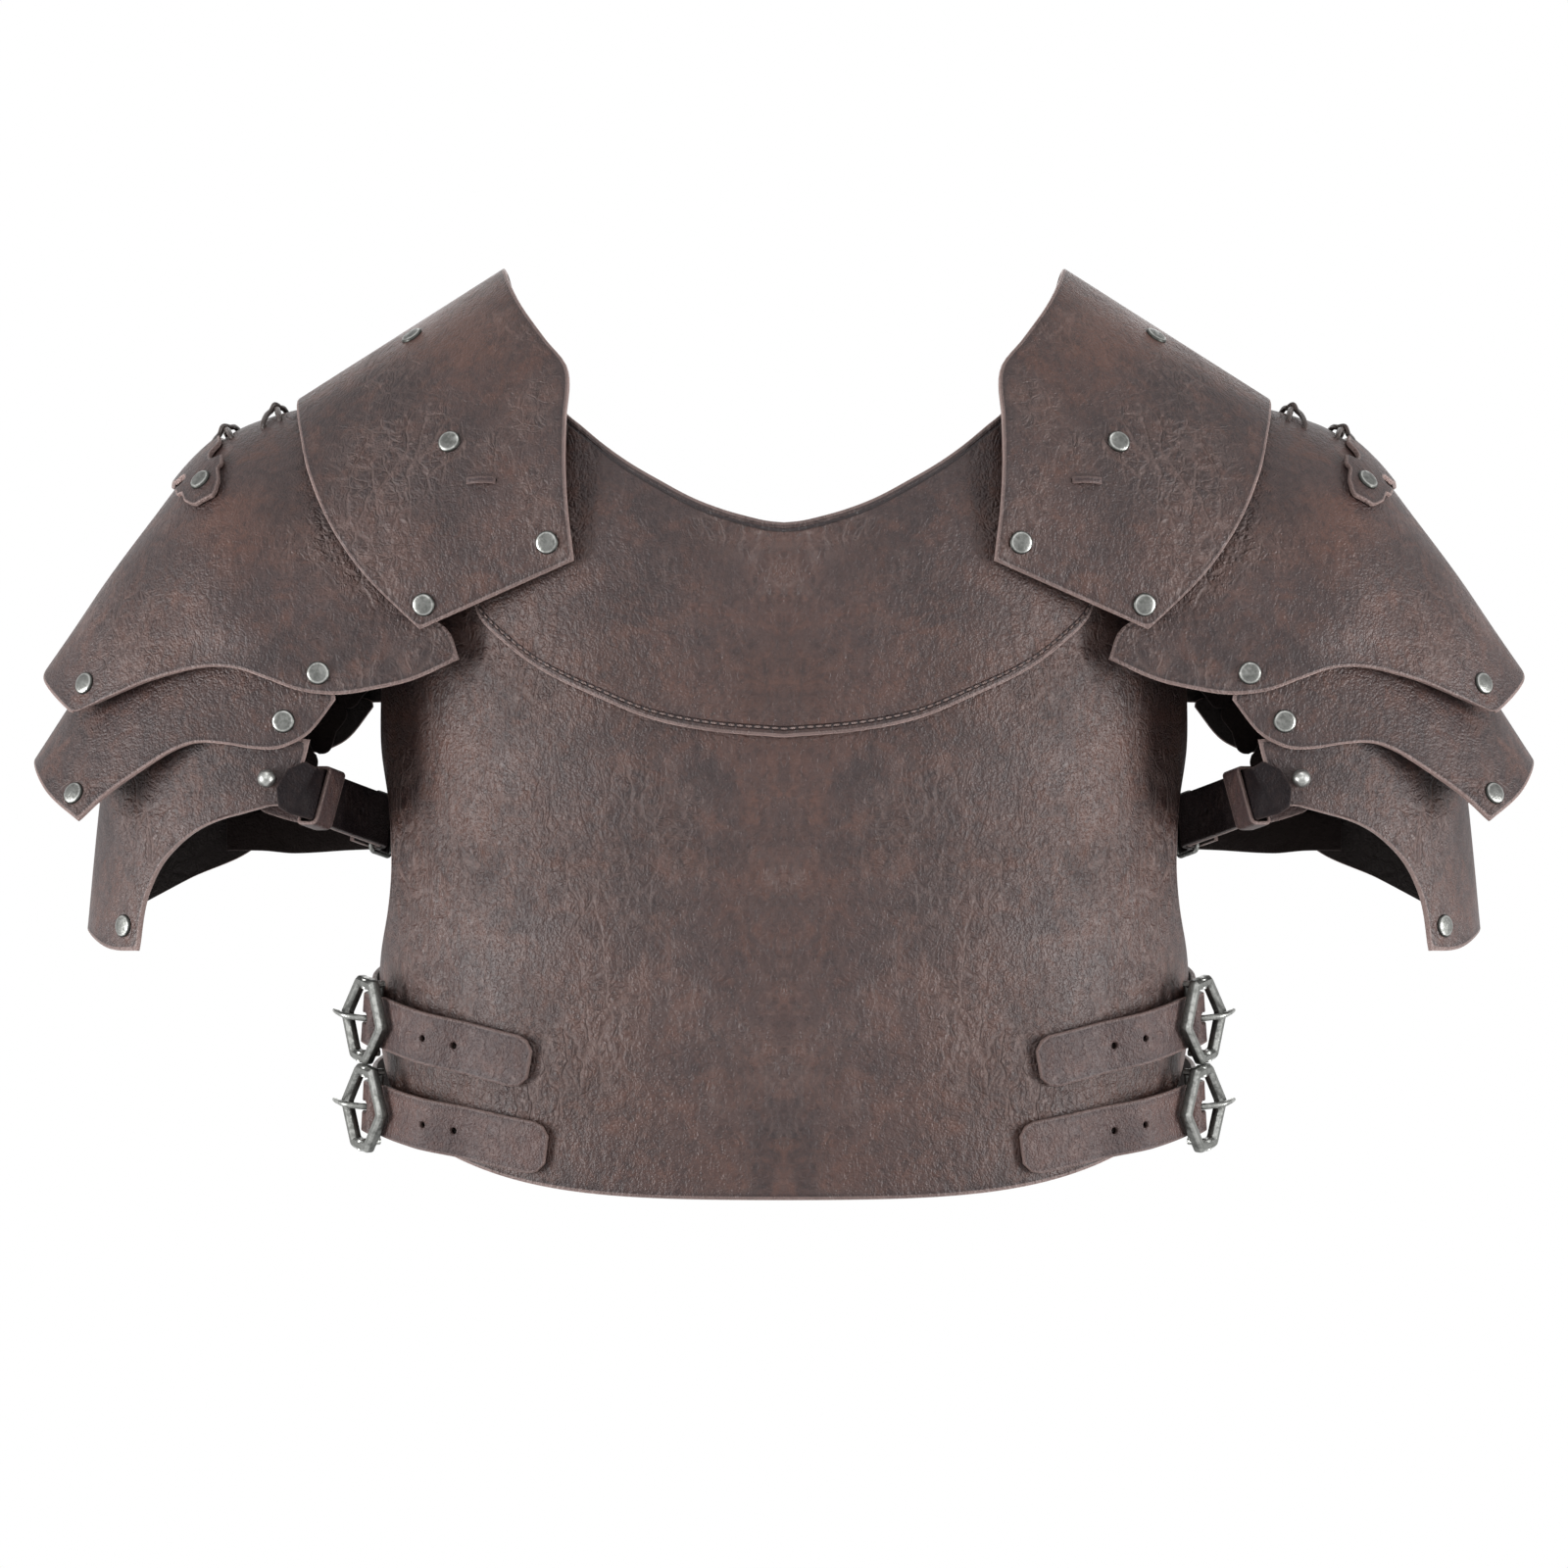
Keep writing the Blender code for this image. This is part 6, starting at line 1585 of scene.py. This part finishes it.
    def placed(self, local: Array) -> Array:
        """Put points of the buckle's own frame, along the strap, up its bar and outwards, in their place."""
        place, out, up, run = self.frame_at(0.0, self.bar_lift)
        cos, sin = math.cos(self.tilt), math.sin(self.tilt)
        axes = np.array([run[0] * cos + out[0] * sin, up[0], out[0] * cos - run[0] * sin])
        return self.side.turn(local @ axes + place[0])

    def chape(self) -> None:
        """Make the folded strap that holds the buckle's bar."""
        low = self.chape_leather + GAP
        wrap = self.bar_radius + GAP + self.chape_leather
        half = self.chape_width / 2
        place, out, up, _ = self.frame_at(np.linspace(-self.chape_length, -wrap * 0.2, 6), low)
        middle, out0, up0, run0 = self.frame_at(0.0, self.bar_lift)
        turn = np.radians(np.linspace(-60, 130, 9))[:, None]
        ring = run0 * np.cos(turn) + out0 * np.sin(turn)
        arc = -np.linspace(wrap * 1.15, self.chape_length * 0.94, 6)
        back, back_out, back_up, _ = self.frame_at(arc, low + GAP)
        rows = ((place, up * half, out),
                (middle + ring * (self.bar_radius + GAP), np.repeat(up0 * half, len(turn), axis=0), -ring),
                (back, back_up * half, -back_out))
        path = self.path(*(np.concatenate(parts) for parts in zip(*rows))).finer(0.0012)
        box = np.array([[x, y, z] for x in (-1, 1) for y in (-1, 1) for z in (-1, 1)], float) / 2
        box = box * np.array([wrap * 3, self.chape_slot, wrap * 4]) + np.array([wrap * 0.5, 0, 0])
        faces = [[0, 1, 3, 2], [4, 6, 7, 5], [0, 4, 5, 1], [2, 3, 7, 6], [0, 2, 6, 4], [1, 5, 7, 3]]
        self.belt(self.name("buckle_chape"), "chest", path, self.chape_leather, 9, "strap_leather",
                  self.shop.dark, [(self.placed(box), faces)])

    def corners(self) -> Array:
        """Return the six-sided outline of the buckle, with its corners a little rounded."""
        half_x, half_y = self.buckle_length / 2, self.buckle_height / 2
        flat = half_x * self.flat_share
        sharp = np.array([(half_x, 0), (flat, half_y), (-flat, half_y), (-half_x, 0), (-flat, -half_y),
                          (flat, -half_y)])
        points = []
        for before, here, after in zip(np.roll(sharp, 1, axis=0), sharp, np.roll(sharp, -1, axis=0)):
            a, b = (here + unit(end - here) * self.corner_cut for end in (before, after))
            points += [a * (1 - t) ** 2 + here * 2 * t * (1 - t) + b * t * t for t in (0, 0.25, 0.5, 0.75, 1)]
        return np.array(points)

    def buckle(self) -> None:
        """Make the faceted frame, the bar across its middle and the knuckles that hold the bar."""
        outline = self.corners()
        low, t = self.rim_height, self.thickness
        high = low + t
        profile = ((0.97, low, 0.1), (1.0, low + t * 0.12, 0.25), (1.0, low + t * 0.6, 0.35),
                   (0.97, low + t * 0.7, 0.8), (0.76, high - t * 0.04, 0.95), (0.7, high, 0.35),
                   (0.32, high, 0.35), (0.26, high - t * 0.04, 0.95), (0.03, low + t * 0.66, 0.8),
                   (0.0, low + t * 0.56, 0.3), (0.0, low + t * 0.12, 0.1), (0.03, low, 0.05))
        inner = np.array([1 - self.rim / (self.buckle_length / 2), 1 - self.rim / (self.buckle_height / 2)])
        rings = [np.column_stack([outline * (inner + (1 - inner) * share), np.full(len(outline), height)])
                 for share, height, _ in profile]
        frame_part = np.concatenate(rings), ring_faces(len(profile), len(outline), closed=True)
        marks = np.repeat([mark for _, _, mark in profile], len(outline))
        end = self.buckle_height / 2 - self.rim / 2
        bar = tube(np.array([[0, -end, 0], [0, end, 0]], float), self.bar_radius, 14)
        parts, wear = [frame_part, bar], [marks, np.full(len(bar[0]), 0.3)]
        stand = end - self.post_inset
        for sign in (-1.0, 1.0):
            line = np.array([[0, sign * (end + offset), low + t * 0.42] for offset, _ in self.knuckle])
            knuckle = tube(line, np.array([radius for _, radius in self.knuckle]), 16)
            line = np.array([[0, sign * stand, -self.bar_radius * 0.8], [0, sign * stand, low + t * 0.4]])
            post = tube(line, self.bar_radius * 1.15, 12)
            parts += [knuckle, post]
            wear.append(np.full(len(knuckle[0]) + len(post[0]), 0.8))
        points, faces = joined(parts)
        name = self.name("buckle_frame")
        self.shop.metal(name, "chest", self.placed(points), faces, np.concatenate(wear), name, sharp=28.0)

    def tongue(self) -> None:
        """Make the tongue: a loop round the bar and a tapered pin that rests on the rim."""
        bore, wire = self.bar_radius + GAP, self.tongue_radius * 0.8
        rest = self.rim_height + self.thickness + GAP + self.tongue_radius
        turn = np.linspace(0, 2 * math.pi, 24, endpoint=False)
        ring = np.stack([np.cos(turn), np.zeros_like(turn), np.sin(turn)], -1) * (bore + wire)
        loop = tube(ring, wire, 10, closed=True)
        knots = Curve(((0.0, 0.0006, bore + 0.0006), (0.18, 0.004, rest * 0.62), (0.45, 0.0105, rest * 1.02),
                       (0.75, 0.017, rest * 1.05), (1.0, self.buckle_length / 2 + self.rim * 0.5, rest)))
        t = np.linspace(0, 1, 41)
        along, height = knots.at(t).T
        taper = np.interp(t, [0, 0.12, 0.8, 0.97, 1], [0.0011, 0.0016, 0.0013, 0.001, 0.0005])
        pin = tube(np.column_stack([along, np.zeros_like(t), height]), taper, 14)
        wear = np.concatenate([np.full(len(loop[0]), 0.4), np.repeat(np.interp(t, [0, 1], [0.5, 1.0]), 14)])
        points, faces = joined([loop, pin])
        name = self.name("buckle_tongue")
        self.shop.metal(name, self.name("tongue"), self.placed(points), faces, wear, name)


# ---- arm straps


@dataclass
class ArmStraps(Assembly):
    """The two straps round the arm, the ring that joins them, their keeper and their stud."""

    width: float = 0.026
    layer_gap: float = 0.0009
    ring_wire: float = 0.0026
    ring_length: float = 0.019
    ring_corner: float = 0.0035
    keeper_start: float = 0.018
    keeper_width: float = 0.0155
    keeper_lean: float = 0.3
    keeper_leather: float = 0.002
    keeper_gap: float = 0.0006
    keeper_corner: float = 0.003
    stud_radius: float = 0.0045
    stud_sides: int = 32
    stud_profile: Rows = (
        (0.62, -0.3), (0.62, 0.05), (0.98, 0.08), (1.0, 0.2), (0.97, 0.55), (0.86, 0.9), (0.68, 1.16),
        (0.45, 1.34), (0.22, 1.43), (0.05, 1.46))
    first_stop: float = 0.0046
    hole_radius: float = 0.0018
    hole_lift: float = 0.0045
    tip_rows: Rows = (
        (1.0, 0.4), (0.985, 0.42), (0.56, 0.985), (0.52, 1.0), (0.25, 1.0), (0.0, 1.0))
    front_rows: Rows = ((1.0, 0.45), (0.9, 0.6), (0.35, 0.98))
    bend: Pair = (0.475, 0.77)
    ring_place: Pair = (0.362, 0.814)
    ring_depth: float = 0.17
    weave: Rows = (
        (0.2, -0.12), (0.36, 0.28), (0.56, 0.78), (0.76, 0.98), (1.0, 1.0), (1.35, 1.0))
    back: Rows = (
        (0.358, 0.818, 0.24), (0.386, 0.82, 0.42), (0.455, 0.823, 0.64), (0.56, 0.828, 0.775))

    def __post_init__(self) -> None:
        """Lay out the straight stretch of the tail."""
        self.lame = arm_plates(self.chest)[3]
        self.body = self.own("lame_3_body")
        bend, ring = VIEW.place(self.bend), VIEW.place(self.ring_place)
        self.start = np.array([bend[0], -self.lame.half_depth - GAP, bend[1]])
        stop = np.array([ring[0], -self.lame.half_depth * self.ring_depth, ring[1]])
        self.length = float(np.linalg.norm(stop - self.start))
        self.run = unit(stop - self.start)
        out = unit(np.cross(self.run, UP))
        self.out = -out if out[0] > 0 else out
        self.stop = self.start + self.run * self.length
        self.ring_reach = self.ring_wire * 0.71
        self.plane = self.layer_gap + STRAP_LEATHER + GAP + self.ring_reach
        self.stud = self.lame.spot(*FRONT_RIVETS[2])
        behind = ("lame_3_left", "lame_3_hanger_front_left", "lame_3_hanger_back_left")
        self.trees = [solid_tree(name) for name in behind]

    def smooth_path(self, rows: Sequence[tuple[Array, Array, Array]]) -> Path:
        """Return a smooth run through stations, as it lies on this side."""
        return self.path(*(np.array(part) for part in zip(*rows))).finer(0.0012)

    def build(self) -> None:
        """Make every piece round the arm."""
        self.tail()
        self.front()
        self.ring()
        self.keeper()
        self.dome()

    def tail(self) -> None:
        """Make the tail: its tip outside the lame, through the ring, round the arm to the back."""
        half = self.width / 2
        side = upright(self.run, self.out, half)
        stud = self.stud[0]
        slope = unit(np.array([self.start[0] - stud[0], 0.0, self.start[2] - stud[2] - self.stud_radius]))
        face = self.start + FORWARD * STRAP_LEATHER
        tip = self.start[0] - stud[0] + self.stud_radius * 1.25
        rows = [(face + slope * tip * share, upright(slope, FORWARD, half) * width, FORWARD)
                for share, width in self.tip_rows]
        rows += [(self.start + self.run * distance + self.out * STRAP_LEATHER, side, self.out)
                 for distance in (self.first_stop, self.length * 0.5, self.length)]
        drop = self.plane + self.ring_reach + GAP
        rows += [(self.stop + self.run * self.ring_length * share - self.out * drop * depth, side, self.out)
                 for share, depth in self.weave]
        rivet = self.lame.spot(*BACK_RIVET)[0]
        depth = inner_depth(rivet[[0, 2]], self.trees, -1.0, half * 0.8) - GAP
        seat = np.array([rivet[0], depth, rivet[2]])
        flats = [(VIEW.place(row[:2]), row[2]) for row in self.back]
        stops = [np.array([flat[0], self.lame.half_depth * share, flat[1]]) for flat, share in flats]
        for before, stop, after in zip([rows[-1][0], *stops], stops, [*stops[1:], seat]):
            heading = unit(after - before)
            outward = unit(np.cross(heading, UP))
            rows.append((stop, upright(heading, outward, half), outward))
        rows += [(seat + np.array([half * reach, 0, 0]), UP * half * 0.8, -FORWARD) for reach in (-0.9, 0.55)]
        spot = self.start + self.run * self.length * 0.66 + self.out * (STRAP_LEATHER + self.hole_lift)
        self.belt(self.own("arm_strap"), self.body, self.smooth_path(rows), STRAP_LEATHER, 13, "dark_leather",
                  self.shop.dark, [self.hole(spot, self.out, self.hole_radius)])

    def front(self) -> None:
        """Make the short strap from the stud to the ring, folded round the ring's front bar."""
        half = self.width / 2 * 0.98
        side = upright(self.run, self.out, half)
        stud = self.stud[0]
        depth = inner_depth(stud[[0, 2]], self.trees, 1.0, half) - GAP
        lift = -self.layer_gap
        join = (self.start + self.out * lift
                + self.run * ((-depth - self.start[1] - lift * self.out[1]) / self.run[1]))
        reach = stud[0] + half * 0.45 - join[0]
        rows = [(np.array([join[0] + reach * share, -depth, join[2]]), UP * half * width, FORWARD)
                for share, width in self.front_rows]
        rows.append((join, side, unit(FORWARD + self.out)))
        rows.append((self.start + self.run * self.length * 0.5 + self.out * lift, side, self.out))
        centre, radius = self.stop - self.out * self.plane, self.plane + lift
        for turn in np.radians(np.linspace(90, -90, 7)):
            direction = self.run * math.cos(turn) + self.out * math.sin(turn)
            rows.append((centre + direction * radius, side, direction))
        rows.append((centre - self.out * radius - self.run * half * 1.1, side, -self.out))
        self.belt(self.own("arm_strap_front"), self.body, self.smooth_path(rows), STRAP_LEATHER, 13,
                  "strap_leather", self.shop.strap)

    def rounded(self, centre: Array, first: Array, second: Array, reach: Pair,
                corner: float) -> tuple[Array, Array]:
        """Return a closed rounded rectangle and its outward directions.

        Args:
            centre: its middle.
            first: the direction of its length.
            second: the direction of its width.
            reach: half its length and half its width.
            corner: radius of its corners.

        Returns:
            The points and their outward directions.
        """
        points, outs = [], []
        for k, (sx, sy) in enumerate(((1, 1), (-1, 1), (-1, -1), (1, -1))):
            hub = centre + first * sx * (reach[0] - corner) + second * sy * (reach[1] - corner)
            for turn in np.linspace(0, QUARTER, 7):
                angle = k * QUARTER + turn
                out = first * math.cos(angle) + second * math.sin(angle)
                points.append(hub + out * corner)
                outs.append(out)
        return np.array(points), np.array(outs)

    def ring(self) -> None:
        """Make the rounded wire ring."""
        centre = self.start + self.run * (self.length + self.ring_length / 2) - self.out * self.plane
        reach = (self.ring_length / 2 + self.ring_wire * 0.25, self.width / 2 + GAP * 2 + self.ring_wire / 2)
        line, _ = self.rounded(centre, self.run, upright(self.run, self.out, 1.0), reach, self.ring_corner)
        points, faces = tube(self.side.turn(line), self.ring_wire / 2, 12, closed=True)
        name = self.own("arm_ring")
        self.shop.metal(name, self.body, points, faces, np.full(len(points), 0.6), name)

    def keeper(self) -> None:
        """Make the leather keeper round both straps."""
        side = upright(self.run, self.out, 1.0)
        stack = 2 * STRAP_LEATHER + self.layer_gap
        middle = self.start + self.out * (STRAP_LEATHER - stack / 2) + self.run * self.keeper_start
        grow = self.keeper_gap + self.keeper_leather
        reach = (stack / 2 + grow, self.width / 2 + grow)
        points, outs = self.rounded(middle, -self.out, side, reach, self.keeper_corner)
        points = np.concatenate([points, points[:1] + (points[1:2] - points[:1]) * 0.02])
        points = points + self.run * ((points - middle) @ side)[:, None] * self.keeper_lean
        half = np.repeat(self.run[None] * self.keeper_width / 2, len(points), axis=0)
        path = self.path(points, half, np.concatenate([outs, outs[:1]])).finer(0.001)
        self.belt(self.own("arm_keeper"), self.own("keeper"), path, self.keeper_leather, 9, "strap_leather",
                  self.shop.strap)

    def dome(self) -> None:
        """Make the domed stud."""
        place, out = self.stud
        turn = Vector((0, 0, 1)).rotation_difference(Vector(out)).to_matrix()
        angle = np.linspace(0, 2 * math.pi, self.stud_sides, endpoint=False)
        rings = [np.column_stack([r * np.cos(angle), r * np.sin(angle), np.full_like(angle, h)])
                 for r, h in np.array(self.stud_profile) * self.stud_radius]
        points = self.side.turn(np.concatenate(rings) @ np.array(turn).T + place)
        self.shop.metal(self.own("arm_stud"), self.body, points, ring_faces(len(rings), self.stud_sides),
                        np.ones(len(points)))


# ---- light, floor and camera


def seen(tree: Tree) -> Sock:
    """Return 1 for the rays that see the surround itself, from the camera, a mirror or glass."""
    camera, glossy, glass = (tree.node("ShaderNodeLightPath", None, None, f"Is {kind} Ray")
                             for kind in ("Camera", "Glossy", "Transmission"))
    return camera.math("MAXIMUM", glossy).math("MAXIMUM", glass)


@dataclass(frozen=True)
class Studio:
    """A plain pale floor and backdrop, soft boxes and the camera."""

    floor: float = -0.95
    floor_reach: float = 6.0
    floor_colour: Colour = (0.8, 0.8, 0.8)
    surround_light: float = 0.24
    camera_place: Triple = (0.0, -2.0, -0.2224)
    lens: float = 90.0
    sensor: float = 36.0
    target: Triple = (0.0, 0.0, -0.2)
    lamps: tuple[tuple[str, Triple, Pair, float], ...] = (
        ("soft_box_right", (1.85, -0.72, -0.38), (0.62, 1.05), 39.0),
        ("soft_box_left", (-1.85, -0.72, -0.38), (0.62, 1.05), 39.0),
        ("overhead", (0.0, -0.9, 1.9), (1.8, 1.2), 12.0),
        ("front_fill", (0.0, -3.4, 0.5), (2.4, 1.6), 17.0),
        ("rear_fill", (0.0, 2.2, 0.8), (2.4, 1.4), 16.0))

    def backdrop_material(self) -> Material:
        """Make the pale surround, which the camera and mirrors see as plain white."""
        g = Graph("pale_surround")
        far = g.vector("LENGTH", {0: g.object_place()}, "Value").ramp(1.1, 1.9)
        glow = g.node("ShaderNodeEmission", None, {"Color": WHITE, "Strength": 1.0})
        g.end_on_mix("Material Output", seen(g) * (0.8 + far * 0.2), Sock(g, g.shader.outputs[0]), glow)
        return g.finish(Base_Color=self.floor_colour, Roughness=0.9)

    def lamp(self, name: str, place: Triple, size: Pair, power: float) -> None:
        """Hang one soft box that faces the armour.

        Args:
            name: its name.
            place: its middle.
            size: its width and height.
            power: in watts.
        """
        light = bpy.data.lights.new(name, "AREA")
        light.shape = "RECTANGLE"
        light.size, light.size_y = size
        light.energy = power
        obj = placed_in_scene(name, light)
        obj.location = place
        obj.rotation_euler = (Vector(self.target) - Vector(place)).to_track_quat("-Z", "Y").to_euler()

    def build(self) -> None:
        """Set the floor, the lights, the surround and the camera."""
        reach = self.floor_reach
        corners = np.array([[-reach, -reach, self.floor], [reach, -reach, self.floor],
                            [reach, reach, self.floor], [-reach, reach, self.floor]])
        ground = make_object("pale_floor", corners, [[0, 1, 2, 3]])
        ground.data.materials.append(self.backdrop_material())
        world = bpy.data.worlds.new("soft_surround")
        world.use_nodes = True
        tree = Tree(world.node_tree)
        lit, shown = (tree.node("ShaderNodeBackground", None, {"Color": WHITE, "Strength": strength})
                      for strength in (self.surround_light, 1.0))
        tree.end_on_mix("World Output", seen(tree), lit, shown)
        scene = bpy.context.scene
        scene.world = world
        for lamp in self.lamps:
            self.lamp(*lamp)
        lens = bpy.data.cameras.new("camera")
        lens.lens, lens.sensor_width = self.lens, self.sensor
        camera = placed_in_scene("camera", lens)
        camera.location = self.camera_place
        camera.rotation_euler = (QUARTER, 0.0, 0.0)
        scene.camera = camera
        scene.view_settings.view_transform = "Standard"


def main() -> None:
    logging.basicConfig(level=logging.INFO, format="%(name)s: %(message)s")
    Studio().build()
    shop = Shop(
        plate=LeatherFinish("plate_leather").build(),
        yoke=LeatherFinish("yoke_leather", groove=0.0042).build(),
        strap=LeatherFinish(
            "strap_leather", base=(0.052, 0.03, 0.029), deep=(0.026, 0.015, 0.016),
            red=(0.098, 0.046, 0.036), cut_edge=(0.2, 0.138, 0.125), roughness=0.5, creases=0.4,
            piping=0.42).build(),
        dark=LeatherFinish(
            "dark_leather", base=(0.01, 0.007, 0.008), deep=(0.006, 0.004, 0.005),
            red=(0.03, 0.018, 0.016), worn=(0.04, 0.03, 0.029), cut_edge=(0.04, 0.028, 0.027),
            roughness=0.5, gloss=0.12, creases=0.4, piping=0.2).build(),
        cord=CordFinish("waxed_cord").build(),
        thread=CordFinish("thread", light=(0.26, 0.185, 0.165), dark=(0.1, 0.066, 0.06)).build(),
        pewter=PewterFinish().build())
    chest = Chest()
    ChestArmour(shop, chest).build()
    for side in Side:
        for assembly in (ShoulderArmour(shop, chest, side), ArmStraps(shop, chest, side),
                         SideStrap(shop, chest, side, "upper", 0.3396),
                         SideStrap(shop, chest, side, "lower", 0.3836, slope=0.148, tip_arc=0.107)):
            assembly.build()
    bpy.context.view_layer.update()


if __name__ == "__main__":
    main()
